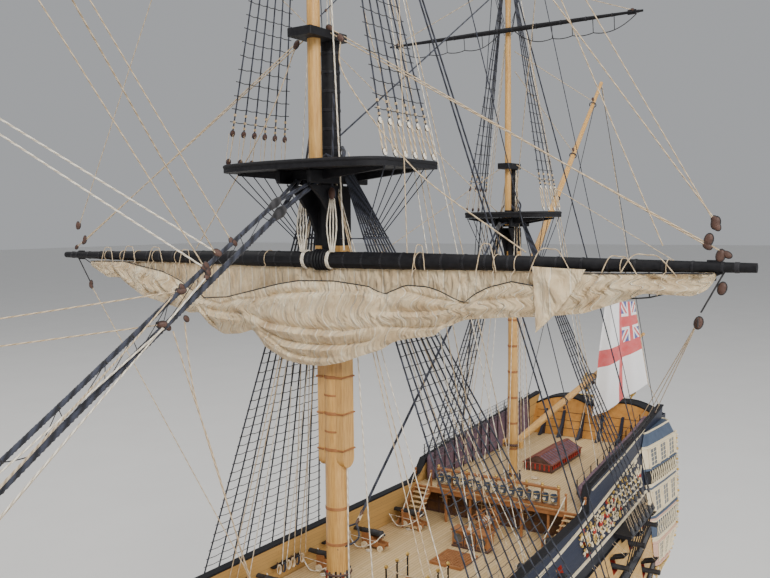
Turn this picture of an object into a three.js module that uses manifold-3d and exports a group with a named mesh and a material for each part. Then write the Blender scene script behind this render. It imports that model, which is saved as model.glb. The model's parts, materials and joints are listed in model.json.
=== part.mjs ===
import * as THREE from 'three';
import { mergeVertices } from 'three/addons/utils/BufferGeometryUtils.js';
import Module from 'manifold-3d';

const wasm = await Module();
wasm.setup();

// The ship is laid out in feet of the real vessel and scaled once at the end.
const foot = 3.9; // millimetres on the model for one foot
const mainMastX = -43; // main mast from the middle of the baseboard
const keelRise = 30; // underside of the keel above the table
const gap = 0.3 / foot; // clearance between pieces, in feet

// baseboard and chocks, millimetres
const boardLength = 720;
const boardWidth = 170;
const boardThick = 18;
const chockThick = 16;
const chockHalf = 62;
const chockTop = 66;

// heights in feet above the keel
const waterline = 24;
const upperDeck = 41;
const quarterDeck = 47.6;
const forecastle = 49;
const poopDeck = 53.9;
const plank = 0.9; // deck thickness
const keelHalf = 0.75; // half the keel's thickness
const side = 1.1; // bulwark thickness
const poopBreak = -46;
const mizzenX = -53.75;
const foreX = 82;

const table = (columns, rows) => rows.map((row) =>
  Object.fromEntries(columns.split(' ').map((name, i) => [name, row[i]])));

// hull sections: widest half breadth and its height, fullness below it, half breadth at 56 ft
const sections = table('x wide wideZ full top low', [
  [-104, 15.6, 44, 0.42, 14.6, 2],
  [-97, 16.6, 40, 0.42, 15, 2],
  [-88, 17.6, 36, 0.42, 15.4, 2],
  [-78, 19, 32, 0.55, 15.9, 2],
  [-66, 21.4, 29, 0.95, 16.3, 2],
  [-50, 23.8, 26.5, 1.6, 16.7, 2],
  [-30, 25.4, 25, 2.3, 17.4, 2],
  [0, 26, 24.5, 2.8, 18.4, 2],
  [30, 26, 25, 2.7, 18.9, 2],
  [62, 25.3, 27, 2.2, 19.1, 2],
  [80, 22.6, 31, 1.8, 18.4, 2],
  [92, 17.2, 36, 1.6, 15.8, 3],
  [99, 10.8, 38, 1.6, 11.5, 9],
  [103, 5.2, 40, 1.7, 6, 20],
  [104.6, 1, 40, 2, 1, 33],
]);
// side view of the planked hull and of the backbone
const hullSide = [
  [-76.5, 2], [115, 2], [115, 46], [97, 46], [97, 57.5], [60, 57], [56, 54], [8, 54],
  [-45.6, 54.4], [-48.4, 58], [-66, 59.6], [-80, 60.6], [-98.17, 62.4],
  [-91.3, 43], [-88, 38.5], [-85, 33.5],
];
const backboneSide = [
  [86, 0], [98, 3], [104, 12], [107, 24], [110, 33], [115, 40], [122, 45], [126, 50],
  [126.5, 56], [123, 58], [119, 53], [112, 49.5], [105.5, 48.5], [104, 46], [100, 40],
  [90, 4], [-72, 4], [-80, 34], [-85.5, 34], [-77.5, 0],
];
const channels = table('from to z reach', [
  [50, 80, 41.2, 4.2],
  [-37, 3, 41.2, 4.4],
  [-72, -54, 48.4, 3.2],
]);
// gun tiers: port centre height, ports along the side, half size, how deep the port is cut,
// barrel length outboard (none where the gun stands on an open deck) and sheer
const tiers = table('z from to count half depth barrel rise', [
  [29.4, -73, 85, 15, 1.4, 1.7, 3.4, 2.6],
  [37, -67.5, 90.5, 15, 1.35, 1.7, 3.1, 2.2],
  [44.4, -73, 85, 15, 1.25, 0.65, 2.8, 0.8],
  [50.4, -41, -5, 4, 1.15, 4, 0, 0],
  [52, 66, 88, 2, 1.15, 4, 0, 0],
]);
// masts: lower mast radius, top and cap heights, foot of the cheeks, top plan, topmast, topgallant
const masts = table('name x radius top cap cheek half fore aft capFore', [
  ['fore', foreX, 1.45, 103, 118, 68, 11.8, 9.2, 5, 6],
  ['main', 0, 1.52, 110, 126, 71.3, 12.5, 9.8, 5.2, 6.2],
  ['mizzen', mizzenX, 0.95, 104.1, 112.6, 91, 7.8, 6, 3.4, 4.1],
]);
const upperMasts = table('topRadius offset trees topCap trunk truck', [
  [0.8, 3.2, 159, 165, 0.46, 220],
  [0.83, 3.3, 170, 176.5, 0.5, 235],
  [0.55, 2.2, 145, 150, 0.34, 188],
]);
masts.forEach((mast, i) => Object.assign(mast, upperMasts[i]));
const mastStep = 30; // heel of every lower mast
// yards: length, middle radius, height, how far ahead of its mast
const yards = table('name mast length radius z ahead', [
  ['main_yard', 'main', 102.4, 1.02, 98.4, 2.66],
  ['main_topsail_yard', 'main', 71.7, 0.62, 163, 4.66],
  ['main_topgallant_yard', 'main', 47.3, 0.4, 208, 5.82],
  ['fore_yard', 'fore', 88, 0.9, 92.2, 2.46],
  ['fore_topsail_yard', 'fore', 64.5, 0.56, 152, 4.48],
  ['fore_topgallant_yard', 'fore', 42, 0.36, 195, 5.58],
  ['crossjack_yard', 'mizzen', 71, 0.56, 93.5, 1.62],
  ['mizzen_topsail_yard', 'mizzen', 48, 0.42, 136, 3.28],
  ['mizzen_topgallant_yard', 'mizzen', 32, 0.3, 170, 4.1],
]);
// furled course: across the ship, top and bottom height, fore and aft bulge
const furl = table('y high low fore', [
  [-43.8, 97.6, 96.4, 0.5], [-34.6, 98.2, 93.6, 1.7], [-20.2, 98.4, 89.8, 2.3],
  [-10, 98.4, 88.2, 2.7], [-2.5, 98.4, 85.2, 3], [3.8, 98.4, 86, 3], [9.8, 98.3, 88.4, 2.7],
  [18, 98.2, 91.2, 2.4], [29.9, 98.1, 91.8, 2.2], [38.8, 98, 94.8, 1.8], [47.2, 97.6, 96.4, 0.6],
]);

// standing stays on the centre line: upper end, lower end, radius
const stays = table('name from to radius', [
  ['fore_stay', [87.4, 0, 103.9], [124.6, 0, 70.6], 0.24],
  ['main_stay', [4.9, 0, 110.6], [80, 0, 56.2], 0.26],
  ['mizzen_stay', [-50.9, 0, 104.8], [-2, 0, 60], 0.2],
  ['main_topmast_stay', [6.15, 0, 168.2], [80.7, 0, 105.05], 0.2],
]);

const finishes = table('name color roughness metalness', [
  ['honey', 0xc89a5b, 0.5, 0], ['deck', 0xd9bd8c, 0.65, 0], ['dark', 0x5b3a24, 0.6, 0],
  ['black', 0x1d1d22, 0.6, 0], ['ochre', 0xc9962f, 0.6, 0], ['copper', 0x9a5b3a, 0.4, 0.9],
  ['cloth', 0xe8dcc0, 0.9, 0], ['rope', 0x20242e, 0.85, 0], ['gilt', 0xc8a24a, 0.4, 0.6],
  ['red', 0x8e2f24, 0.55, 0], ['slate', 0x44505e, 0.6, 0], ['iron', 0x2b2d30, 0.5, 0.7],
  ['walnut', 0x5a3620, 0.45, 0],
]);

// geometry to solid and back

function toSolid(source) {
  const plain = new THREE.BufferGeometry();
  plain.setAttribute('position', source.getAttribute('position').clone());
  if (source.index) plain.setIndex(source.index.clone());
  const merged = mergeVertices(plain, 1e-5);
  const points = merged.getAttribute('position').array;
  const index = merged.index.array;
  const faces = [];
  let volume = 0;
  for (let i = 0; i < index.length; i += 3) {
    const [a, b, c] = [index[i], index[i + 1], index[i + 2]];
    if (a === b || b === c || a === c) continue;
    faces.push([a, b, c]);
    const [p, q, r] = [a, b, c].map((k) => new THREE.Vector3().fromArray(points, 3 * k));
    volume += p.dot(q.cross(r));
  }
  const turned = volume < 0 ? faces.map(([a, b, c]) => [a, c, b]) : faces;
  return new wasm.Manifold(new wasm.Mesh({
    numProp: 3,
    vertProperties: new Float32Array(points),
    triVerts: new Uint32Array(turned.flat()),
  }));
}

function toGeometry(solid) {
  const mesh = solid.getMesh();
  const geometry = new THREE.BufferGeometry();
  const points = new Float32Array(mesh.numVert * 3);
  for (let i = 0; i < mesh.numVert; i += 1) {
    for (let k = 0; k < 3; k += 1) points[3 * i + k] = mesh.vertProperties[i * mesh.numProp + k];
  }
  geometry.setAttribute('position', new THREE.BufferAttribute(points, 3));
  geometry.setIndex(Array.from(mesh.triVerts));
  const loose = geometry.toNonIndexed();
  loose.computeVertexNormals();
  return loose;
}

const join = (...solids) => solids.flat().reduce((sum, one) => sum.add(one));
const cut = (body, ...tools) => tools.flat().reduce((rest, tool) => rest.subtract(tool), body);
const mirrorY = (solid) => solid.mirror([0, 1, 0]);

// basic shapes, all in feet

function block(x0, x1, y0, y1, z0, z1) {
  const geometry = new THREE.BoxGeometry(x1 - x0, y1 - y0, z1 - z0);
  geometry.translate((x0 + x1) / 2, (y0 + y1) / 2, (z0 + z1) / 2);
  return toSolid(geometry);
}

function aim(geometry, from, direction) {
  const turn = new THREE.Quaternion().setFromUnitVectors(
    new THREE.Vector3(0, 1, 0), direction.clone().normalize());
  geometry.applyQuaternion(turn);
  geometry.translate(from.x, from.y, from.z);
  return toSolid(geometry);
}

// tapered round bar between two points
function rod(from, to, r0, r1 = r0, sides = 10) {
  const a = new THREE.Vector3(...from);
  const b = new THREE.Vector3(...to);
  const length = a.distanceTo(b);
  const geometry = new THREE.CylinderGeometry(r1, r0, length, sides);
  geometry.translate(0, length / 2, 0);
  return aim(geometry, a, b.sub(a));
}

// turned shape: radius and distance along the axis, starting and ending on the axis
function turned(profile, from, direction, sides = 12) {
  const points = profile.map(([r, h]) => new THREE.Vector2(r, h));
  return aim(new THREE.LatheGeometry(points, sides), new THREE.Vector3(...from),
    new THREE.Vector3(...direction));
}

// skin over matching rings, flat ends; a ladder closes rings whose second half runs back
// beside the first
function loft(rings, ladder = false) {
  const count = rings[0].length;
  const points = rings.flat(2);
  const index = [];
  for (let r = 0; r + 1 < rings.length; r += 1) {
    for (let i = 0; i < count; i += 1) {
      const a = r * count + i;
      const b = r * count + ((i + 1) % count);
      index.push(a, b, b + count, a, b + count, a + count);
    }
  }
  const spread = [0, 1, 2].map((k) =>
    Math.max(...rings[0].map((p) => p[k])) - Math.min(...rings[0].map((p) => p[k])));
  const flat = spread.indexOf(Math.min(...spread));
  const [u, v] = [0, 1, 2].filter((k) => k !== flat);
  const lid = (ring, base, reversed) => {
    const contour = ring.map((p) => new THREE.Vector2(p[u], p[v]));
    const turn = THREE.ShapeUtils.area(contour);
    const steps = Array.from({ length: count / 2 - 1 }, (_, i) => i);
    const faces = ladder
      ? steps.flatMap((i) => [[i, i + 1, count - 2 - i], [i, count - 2 - i, count - 1 - i]])
      : THREE.ShapeUtils.triangulateShape(contour, []);
    faces.forEach((face) => {
      const same = ladder || THREE.ShapeUtils.area(face.map((k) => contour[k])) * turn > 0;
      const [a, b, c] = face.map((k) => base + k);
      if (same === reversed) index.push(a, c, b);
      else index.push(a, b, c);
    });
  };
  lid(rings[0], 0, true);
  lid(rings[rings.length - 1], (rings.length - 1) * count, false);
  const geometry = new THREE.BufferGeometry();
  geometry.setAttribute('position', new THREE.Float32BufferAttribute(points, 3));
  geometry.setIndex(index);
  return toSolid(geometry);
}

// flat outline given thickness: 'y' takes x,z points, 'z' takes x,y points, 'x' takes y,z points
function slab(outline, axis, from, to, ladder = false) {
  const place = {
    x: ([y, z], at) => [at, y, z],
    y: ([x, z], at) => [x, at, z],
    z: ([x, y], at) => [x, y, at],
  }[axis];
  return loft([outline.map((p) => place(p, from)), outline.map((p) => place(p, to))], ladder);
}

const stayRod = ({ from, to, radius }, grow = 0) =>
  rod(from, to, radius + grow, radius + grow, 8);
const stayRods = (grow) => stays.map((stay) => stayRod(stay, grow));

// hull form

function sectionAt(x) {
  const last = sections.length - 1;
  let i = 0;
  while (i < last - 1 && x > sections[i + 1].x) i += 1;
  const [a, b] = [sections[i], sections[i + 1]];
  const before = sections[Math.max(i - 1, 0)];
  const after = sections[Math.min(i + 2, last)];
  const t = Math.min(Math.max((x - a.x) / (b.x - a.x), 0), 1);
  const blend = (key) => {
    if (key === 'low') return a.low + (b.low - a.low) * t;
    const span = b.x - a.x;
    const m0 = (b[key] - before[key]) / Math.max(b.x - before.x, 1e-6) * span;
    const m1 = (after[key] - a[key]) / Math.max(after.x - a.x, 1e-6) * span;
    const [t2, t3] = [t * t, t * t * t];
    return a[key] * (2 * t3 - 3 * t2 + 1) + m0 * (t3 - 2 * t2 + t)
      + b[key] * (3 * t2 - 2 * t3) + m1 * (t3 - t2);
  };
  return Object.fromEntries(['wide', 'wideZ', 'full', 'top', 'low'].map((k) => [k, blend(k)]));
}

function breadth(x, z) {
  const s = sectionAt(x);
  if (z <= s.wideZ) {
    const t = Math.min(Math.max((z - s.low) / (s.wideZ - s.low), 0), 1);
    return s.wide * (1 - (1 - t) ** s.full) ** (1 / s.full);
  }
  const u = (z - s.wideZ) / (56 - s.wideZ);
  return u <= 1 ? s.wide - (s.wide - s.top) * u ** 1.4 : s.top - 0.03 * (z - 56);
}

function hullBody(grow, from = -104, to = 104.6, rings = 30) {
  const lower = [0, 0.08, 0.2, 0.35, 0.5, 0.65, 0.8, 0.9, 0.96, 1];
  const upper = [0.3, 0.6, 1];
  return loft(Array.from({ length: rings + 1 }, (_, k) => {
    const x = from + (to - from) * (1 - Math.cos(Math.PI * (k / rings))) / 2;
    const s = sectionAt(x);
    const levels = [
      ...lower.map((t) => s.low + (s.wideZ - s.low) * t),
      ...upper.map((u) => s.wideZ + (56 - s.wideZ) * u), 62, 72,
    ];
    const port = levels.map((z) => [x, Math.max(breadth(x, z) + grow, 0.02), z]);
    port[0][1] = 0.3;
    return [...port, ...port.map(([px, py, pz]) => [px, -py, pz]).reverse()];
  }), true);
}

const pieces = [];
const add = (name, solid, finish) => pieces.push({ name, solid, finish });

const outer = hullBody(0);
const inner = hullBody(-side);
const deckPlan = hullBody(-side - gap);
const backbone = slab(backboneSide, 'y', -keelHalf, keelHalf);
const planked = outer.intersect(slab(hullSide, 'y', -30, 30));

// masts

const mastBody = ({ x, radius, top, cap, cheek, capFore, topRadius, offset }) => {
  const head = radius * 0.78;
  const post = turned([[0, mastStep], [radius * 0.9, mastStep], [radius, 52], [radius * 0.98, 80],
    [radius * 0.92, top - 1.5], [0, top - 1.5]], [x, 0, 0], [0, 0, 1], 16);
  const half = radius * 0.8;
  const foot = Array.from({ length: 7 }, (_, k) => Math.PI * (k / 6))
    .map((a) => [x + half * Math.cos(a), cheek + half - half * Math.sin(a)]);
  const cheeks = [1, -1].map((sign) => slab([[x - half, top - 3], [x + half, top - 3], ...foot],
    'y', sign * radius * 0.4, sign * radius * 1.3));
  const capPlate = cut(
    block(x - head, x + capFore, -radius * 1.2, radius * 1.2, cap - 0.5, cap + 0.5),
    rod([x + offset, 0, cap - 2], [x + offset, 0, cap + 2], topRadius + gap, topRadius + gap, 14));
  return join(post, cheeks, rod([x, 0, top - 3], [x, 0, cap], head, head, 16), capPlate);
};

const topBody = ({ x, radius, top, half, fore, aft, topRadius, offset }) => {
  const round = [[-aft, 1], [fore * 0.62, 1], [fore * 0.8, 0.9], [fore * 0.93, 0.6], [fore, 0.2]];
  const rim = [...round.map(([px, py]) => [x + px, py * half]),
    ...round.map(([px, py]) => [x + px, -py * half]).reverse()];
  const beam = radius * 1.3 + 0.12;
  const hole = block(x - radius * 0.76 - 0.3, x + offset + topRadius + 0.3, -beam - 0.33,
    beam + 0.33, top - 0.7, top + 1);
  const trestle = (sign) => block(x - aft * 0.8, x + fore * 0.8, sign > 0 ? beam : -beam - 0.6,
    sign > 0 ? beam + 0.6 : -beam, top - 2.2, top - 0.5);
  const cross = (at) => block(at - 0.35, at + 0.35, -half * 0.88, half * 0.88, top - 1.3, top - 0.5);
  const plate = slab(rim, 'z', top - 0.6, top + 0.1, true);
  const edge = cut(slab(rim, 'z', top - 0.6, top + 0.55, true),
    slab(rim.map(([px, py]) => [x + (px - x) * 0.95 - 0.03, py * 0.965]), 'z', top - 2, top + 2, true));
  return cut(join(cut(plate, hole), edge, trestle(1), trestle(-1),
    cross(x - radius * 0.76 - 1.0), cross(x + offset + topRadius + 0.9)), stayRods(gap + 0.1));
};

const topmastBody = ({ x, top, offset, topRadius, trees, topCap, trunk, radius }) => {
  const cx = x + offset;
  const tx = cx + topRadius + trunk + 0.35;
  const beam = radius * 1.3 + 0.12;
  const post = turned([[0, top - 1.9], [topRadius * 1.02, top - 1.9], [topRadius, top + 16],
    [topRadius * 0.72, topCap], [0, topCap]], [cx, 0, 0], [0, 0, 1], 14);
  const fid = block(cx - 0.22, cx + 0.22, -beam - 0.25, beam + 0.25, top - 0.42, top + 0.2);
  const rails = [1, -1].map((s) => block(cx - 3.2 * trunk * 2, tx + 1.6,
    s > 0 ? trunk + 0.14 : -trunk - 0.5, s > 0 ? trunk + 0.5 : -trunk - 0.14, trees - 0.8, trees));
  const crosses = [cx - topRadius - 0.5, tx + trunk + 0.5].map((at) =>
    block(at - 0.2, at + 0.2, -9 * trunk, 9 * trunk, trees - 0.3, trees + 0.2));
  const hounds = block(cx - topRadius * 0.6, cx + topRadius * 0.6, -trunk - 0.4, trunk + 0.4,
    trees - 2.4, trees - 0.3);
  const capPlate = cut(block(cx - topRadius - 0.3, tx + trunk + 0.7, -trunk * 2.2, trunk * 2.2,
    topCap - 0.9, topCap + 0.3), rod([tx, 0, topCap - 2], [tx, 0, topCap + 2], trunk + gap,
    trunk + gap, 12));
  return join(post, fid, hounds, rails, crosses, capPlate);
};

const trunkBody = ({ x, offset, topRadius, trees, trunk, truck }) => {
  const tx = x + offset + topRadius + trunk + 0.35;
  return turned([[0, trees - 2], [trunk, trees - 2], [trunk * 0.55, truck - 0.9],
    [trunk * 1.7, truck - 0.8], [trunk * 1.7, truck - 0.2], [0, truck]], [tx, 0, 0], [0, 0, 1], 12);
};

masts.forEach((mast) => {
  add(`${mast.name}_lower_mast`, mastBody(mast), 'honey');
  add(`${mast.name}_top`, topBody(mast), 'black');
  add(`${mast.name}_topmast`, topmastBody(mast), 'honey');
  add(`${mast.name}_topgallant_mast`, trunkBody(mast), 'honey');
});

// bowsprit and jibboom

const spritFrom = [85.2, 48];
const spritTo = [148, 81];
const spritLength = Math.hypot(spritTo[0] - spritFrom[0], spritTo[1] - spritFrom[1]);
const along = [(spritTo[0] - spritFrom[0]) / spritLength, (spritTo[1] - spritFrom[1]) / spritLength];
const onSprit = (distance, lift = 0) =>
  [spritFrom[0] + along[0] * distance - along[1] * lift, 0,
    spritFrom[1] + along[1] * distance + along[0] * lift];
const spritRadius = 1.45;
const boomRadius = 0.62;
const boomLift = 2.15;
const spritCap = (() => {
  const [a, b, c, d] = [[-0.6, -1.1], [0.6, -1.1], [0.6, 3.1], [-0.6, 3.1]].map(([s, lift]) => {
    const p = onSprit(spritLength + s, lift);
    return [p[0], p[2]];
  });
  return slab([a, b, c, d], 'y', -1.15, 1.15);
})();
const jibRod = (grow) => rod(onSprit(48, boomLift), onSprit(112, boomLift), boomRadius + grow,
  boomRadius * 0.6 + grow, 12);
add('bowsprit', cut(join(rod(onSprit(0), onSprit(spritLength), spritRadius, 0.95, 16), spritCap),
  jibRod(gap)), 'honey');
add('jibboom', jibRod(0), 'honey');
const spritHole = rod(onSprit(-3), onSprit(40), spritRadius + gap + 0.12, spritRadius + gap, 16);

// hull pieces

const mastHoles = masts.map(({ x, radius }) =>
  rod([x, 0, mastStep], [x, 0, 72], radius + gap, radius + gap, 16));
const insideSide = (shrink) => slab([[92 - shrink, upperDeck - plank], [92 - shrink, 72],
  [-100.3 + shrink, 72], [-90 + shrink, 43], [-87.6 + shrink, upperDeck - plank]], 'y', -30, 30);
const well = inner.intersect(insideSide(0));
const channelPlates = channels.flatMap(({ from, to, z, reach }) => {
  const xs = Array.from({ length: 6 }, (_, i) => from + (to - from) * (i / 5));
  const plan = [...xs.map((x) => [x, breadth(x, z) - 0.4]),
    ...xs.map((x) => [x, breadth(x, z) + reach]).reverse()];
  const plate = slab(plan, 'z', z - 0.35, z + 0.35, true);
  return [plate, mirrorY(plate)];
});

// rudder hinge line, parallel to the sternpost
const hingeLow = [-78.9, 1];
const hingeHigh = [-87.2, 36.3];
const rake = (hingeHigh[0] - hingeLow[0]) / (hingeHigh[1] - hingeLow[1]);
const hingeAt = (z) => [hingeLow[0] + rake * (z - hingeLow[1]), 0, z];
const stockHole = rod(hingeAt(30), hingeAt(40), 1.9, 1.9, 16);

const sheer = (x, rise) => rise * ((x + 5) / 100) ** 2;
const guns = tiers.flatMap(({ z, from, to, count, half, depth, barrel, rise }) =>
  Array.from({ length: count }, (_, i) => from + (to - from) * (i / (count - 1)))
    .flatMap((x) => [1, -1].map((sign) => {
      const at = z + sheer(x, rise);
      const skin = breadth(x, at);
      const [y0, y1] = [sign * (skin - depth), sign * (skin + 2)];
      return {
        port: block(x - half, x + half, Math.min(y0, y1), Math.max(y0, y1), at - half, at + half),
        barrel: barrel && rod([x, sign * (skin - depth - 0.25), at - 0.2],
          [x, sign * (skin + barrel), at + 0.1], 0.62, 0.42, 6),
      };
    })));

const topsides = cut(planked.intersect(block(-120, 120, -30, 30, waterline, 80)), backbone, well,
  mastHoles, spritHole, stockHole, join(guns.map(({ port }) => port)));
const barrels = guns.map(({ barrel }) => barrel).filter(Boolean);
add('hull_topsides', join(topsides, join(barrels), channelPlates), 'ochre');
add('hull_bottom', cut(planked.intersect(block(-120, 120, -30, 30, 0, waterline)), backbone),
  'copper');

// sternpost lugs and rudder pins
const lugLevels = [6, 15, 24];
const lugs = lugLevels.map((z) => {
  const [hx, , hz] = hingeAt(z);
  return join(rod(hingeAt(z - 0.35), hingeAt(z + 0.35), 0.8, 0.8, 12),
    block(hx, hx + 2.2, -0.3, 0.3, hz - 0.3, hz + 0.3));
});
const pinHole = rod(hingeAt(0), hingeAt(30), 0.26 + gap, 0.26 + gap, 10);
add('keel_and_stem', cut(join(backbone, lugs), pinHole, spritHole), 'dark');

const bladeSide = [hingeAt(1), [-84.8, 0, 1.2], [-87, 0, 14], [-89.3, 0, 22], [-89, 0, 25],
  [-90.6, 0, 33], hingeAt(33)].map(([x, , z]) => [x, z]);
const blade = join(slab(bladeSide, 'y', -0.55, 0.55), rod(hingeAt(1), hingeAt(39.4), 0.7, 0.7, 12));
const notches = lugLevels.map((z) => rod(hingeAt(z - 0.75), hingeAt(z + 0.75), 1.25, 1.25, 12));
add('rudder', join(cut(blade, notches), rod(hingeAt(2), hingeAt(28), 0.26, 0.26, 10)), 'dark');

const deckRoom = deckPlan.intersect(insideSide(gap));
const deckSlab = (x0, x1, z) => deckRoom.intersect(block(x0, x1, -30, 30, z - plank, z));
const holesFor = (names) => masts.filter(({ name }) => names.includes(name)).map(
  ({ x, radius }) => rod([x, 0, 38], [x, 0, 60], radius + gap, radius + gap, 16));
add('upper_deck', cut(deckSlab(-100, 100, upperDeck), holesFor(['fore', 'main', 'mizzen'])),
  'deck');
add('quarter_deck', cut(deckSlab(-100, 5, quarterDeck), holesFor(['main', 'mizzen'])), 'deck');
add('forecastle_deck', cut(deckSlab(57, 100, forecastle), holesFor(['fore']), spritHole),
  'deck');
add('poop_deck', cut(deckSlab(-100, poopBreak, poopDeck), holesFor(['mizzen'])), 'deck');

// stern

const sternSide = [[-98.27, 62.4], [-91.4, 43], [-88.1, 38.5], [-85.2, 33.7], [-88.6, 33.7],
  [-92, 38], [-95, 42.6], [-96.2, 46], [-100, 46.4], [-100.4, 49.4], [-98, 49.7], [-99.2, 53.2],
  [-102.4, 53.6], [-102.8, 56.6], [-100.4, 57], [-102.4, 64.2], [-100.6, 64.2]];
add('stern_gallery', cut(outer.intersect(slab(sternSide, 'y', -30, 30)), stockHole), 'slate');

// quarter gallery outlines: height, fore and after end, half breadth near each end
const galleryPlans = table('z fore aft near far', [
  [31, -80.4, -84, 18.9, 18.9],
  [34, -79.6, -89.5, 19.3, 19.3],
  [38.6, -79, -94, 19.2, 19.4],
  [44, -78.8, -95.2, 18.6, 19.1],
  [50, -78.8, -96.4, 17.8, 18.6],
  [57.2, -79.2, -97.4, 16.8, 18],
  [60, -81.5, -96.6, 16, 16.8],
]);
const galleryBlock = loft(galleryPlans.map(({ z, fore, aft, near, far }) => {
  const skin = (x) => breadth(x, z);
  return [[fore, skin(fore) - 2], [fore, skin(fore) + 0.2], [fore - 1.5, near], [aft + 1.5, far],
    [aft, far - 1.2], [aft, skin(aft) - 2]].map(([x, y]) => [x, y, z]);
}));
add('quarter_gallery_port', cut(galleryBlock, hullBody(gap)), 'slate');
add('quarter_gallery_starboard', cut(mirrorY(galleryBlock), hullBody(gap)), 'slate');

const lantern = (x, y, z, scale) => join(
  turned([[0, 0], [0.5, 0.2], [0.9, 0.8], [1.3, 3.2], [1.1, 3.5], [0.5, 4.6], [0, 5.2]]
    .map(([r, h]) => [r * scale, h * scale]), [x, y, z], [0, 0, 1], 8),
  rod([-102.3, y, 61.9], [x, y, z + 0.4], 0.2, 0.2, 6));
add('stern_lanterns', join(block(-102.55, -101.95, -6.2, 6.2, 61.6, 62.3),
  [5.5, 0, -5.5].map((y) => lantern(-106, y, 62, 0.92))), 'gilt');

// deck fittings

const bay = breadth(poopBreak - 4, 52) - side - 0.5;
add('cabin_bulkhead', cut(block(poopBreak - 4.6, poopBreak - 4, -bay, bay, quarterDeck,
  poopDeck - plank), block(-60, -40, -1.6, 1.6, quarterDeck - 1, quarterDeck + 3.4)), 'dark');

const railHalf = 12;
const posts = Array.from({ length: 9 }, (_, i) => -railHalf + 0.4 + i * (2 * railHalf - 0.8) / 8);
add('poop_rail', join(
  block(poopBreak - 1.1, poopBreak - 0.4, -railHalf, railHalf, poopDeck + 3.2, poopDeck + 3.8),
  block(poopBreak - 1.1, poopBreak - 0.4, -railHalf, railHalf, poopDeck, poopDeck + 0.6),
  posts.map((y) => block(poopBreak - 1, poopBreak - 0.5, y - 0.25, y + 0.25, poopDeck, poopDeck + 3.4))),
'black');

add('poop_skylight', loft([
  [[-84, -3.6, poopDeck], [-64, -3.6, poopDeck], [-64, 3.6, poopDeck], [-84, 3.6, poopDeck]],
  [[-84, -3.6, poopDeck + 2.2], [-64, -3.6, poopDeck + 2.2], [-64, 3.6, poopDeck + 2.2],
    [-84, 3.6, poopDeck + 2.2]],
  [[-84, -0.4, poopDeck + 4], [-64, -0.4, poopDeck + 4], [-64, 0.4, poopDeck + 4],
    [-84, 0.4, poopDeck + 4]],
]), 'red');

const wheel = (x) => join(
  rod([x, 0, quarterDeck + 3.1], [x + 0.5, 0, quarterDeck + 3.1], 0.5, 0.5, 10),
  cut(rod([x, 0, quarterDeck + 3.1], [x + 0.5, 0, quarterDeck + 3.1], 2, 2, 16),
    rod([x - 1, 0, quarterDeck + 3.1], [x + 1, 0, quarterDeck + 3.1], 1.6, 1.6, 16)),
  [0, 1, 2, 3].map((k) => {
    const [c, s] = [Math.cos(k * Math.PI / 4) * 2.5, Math.sin(k * Math.PI / 4) * 2.5];
    return rod([x + 0.25, c, quarterDeck + 3.1 + s], [x + 0.25, -c, quarterDeck + 3.1 - s],
      0.15, 0.15, 4);
  }));
const wheelX = poopBreak + 1.8;
add('steering_wheel', join(wheel(wheelX), wheel(wheelX + 3.4),
  rod([wheelX - 0.6, 0, quarterDeck + 3.1], [wheelX + 4.5, 0, quarterDeck + 3.1], 0.75, 0.75, 10),
  block(wheelX - 0.6, wheelX - 0.2, -0.5, 0.5, quarterDeck, quarterDeck + 3.1),
  block(wheelX + 4.1, wheelX + 4.5, -0.5, 0.5, quarterDeck, quarterDeck + 3.1)), 'honey');

const beams = [12, 23, 34, 45].map((x) => {
  const reach = breadth(x, forecastle) - side - 0.3;
  return block(x - 0.6, x + 0.6, -reach, reach, forecastle - 0.9, forecastle - 0.1);
});
const stanchions = [12, 45].flatMap((x) => [5.5, -5.5].map((y) =>
  block(x - 0.45, x + 0.45, y - 0.45, y + 0.45, upperDeck, forecastle - 0.5)));
add('skid_beams', join(beams, stanchions,
  [5.5, -5.5].map((y) => block(11.4, 45.6, y - 0.4, y + 0.4, forecastle - 1.3, forecastle - 0.1))),
'dark');

const boat = (x, y, z, length, beam, depth) => {
  const ring = (t) => {
    const w = beam / 2 * Math.sin(Math.PI * (0.12 + 0.8 * t)) ** 0.7;
    const rise = depth * 0.5 * (2 * t - 0.9) ** 2;
    return [[0.02, rise * 0.5], [0.62, 0.12 * depth + rise * 0.5], [0.92, 0.5 * depth + rise * 0.6],
      [1, depth + rise * 0.6]].map(([r, h]) => [x - length / 2 + length * t, r * w, z + h]);
  };
  const whole = (shrink, lift) => loft(Array.from({ length: 9 }, (_, k) => {
    const t = shrink + (1 - 2 * shrink) * (k / 8);
    const portSide = ring(t).map(([px, py, pz]) => [px, y + Math.max(py * (1 - 2.4 * shrink), 0.02),
      pz + lift]);
    return [...portSide, ...portSide.map(([px, py, pz]) => [px, 2 * y - py, pz]).reverse()];
  }), true);
  return cut(whole(0, 0), whole(0.06, 0.45));
};
add('ship_boat_large', boat(29, 4.4, forecastle, 32, 8, 3.2), 'ochre');
add('ship_boat_small', boat(28, -5.2, forecastle, 25, 6.4, 2.8), 'ochre');

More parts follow.
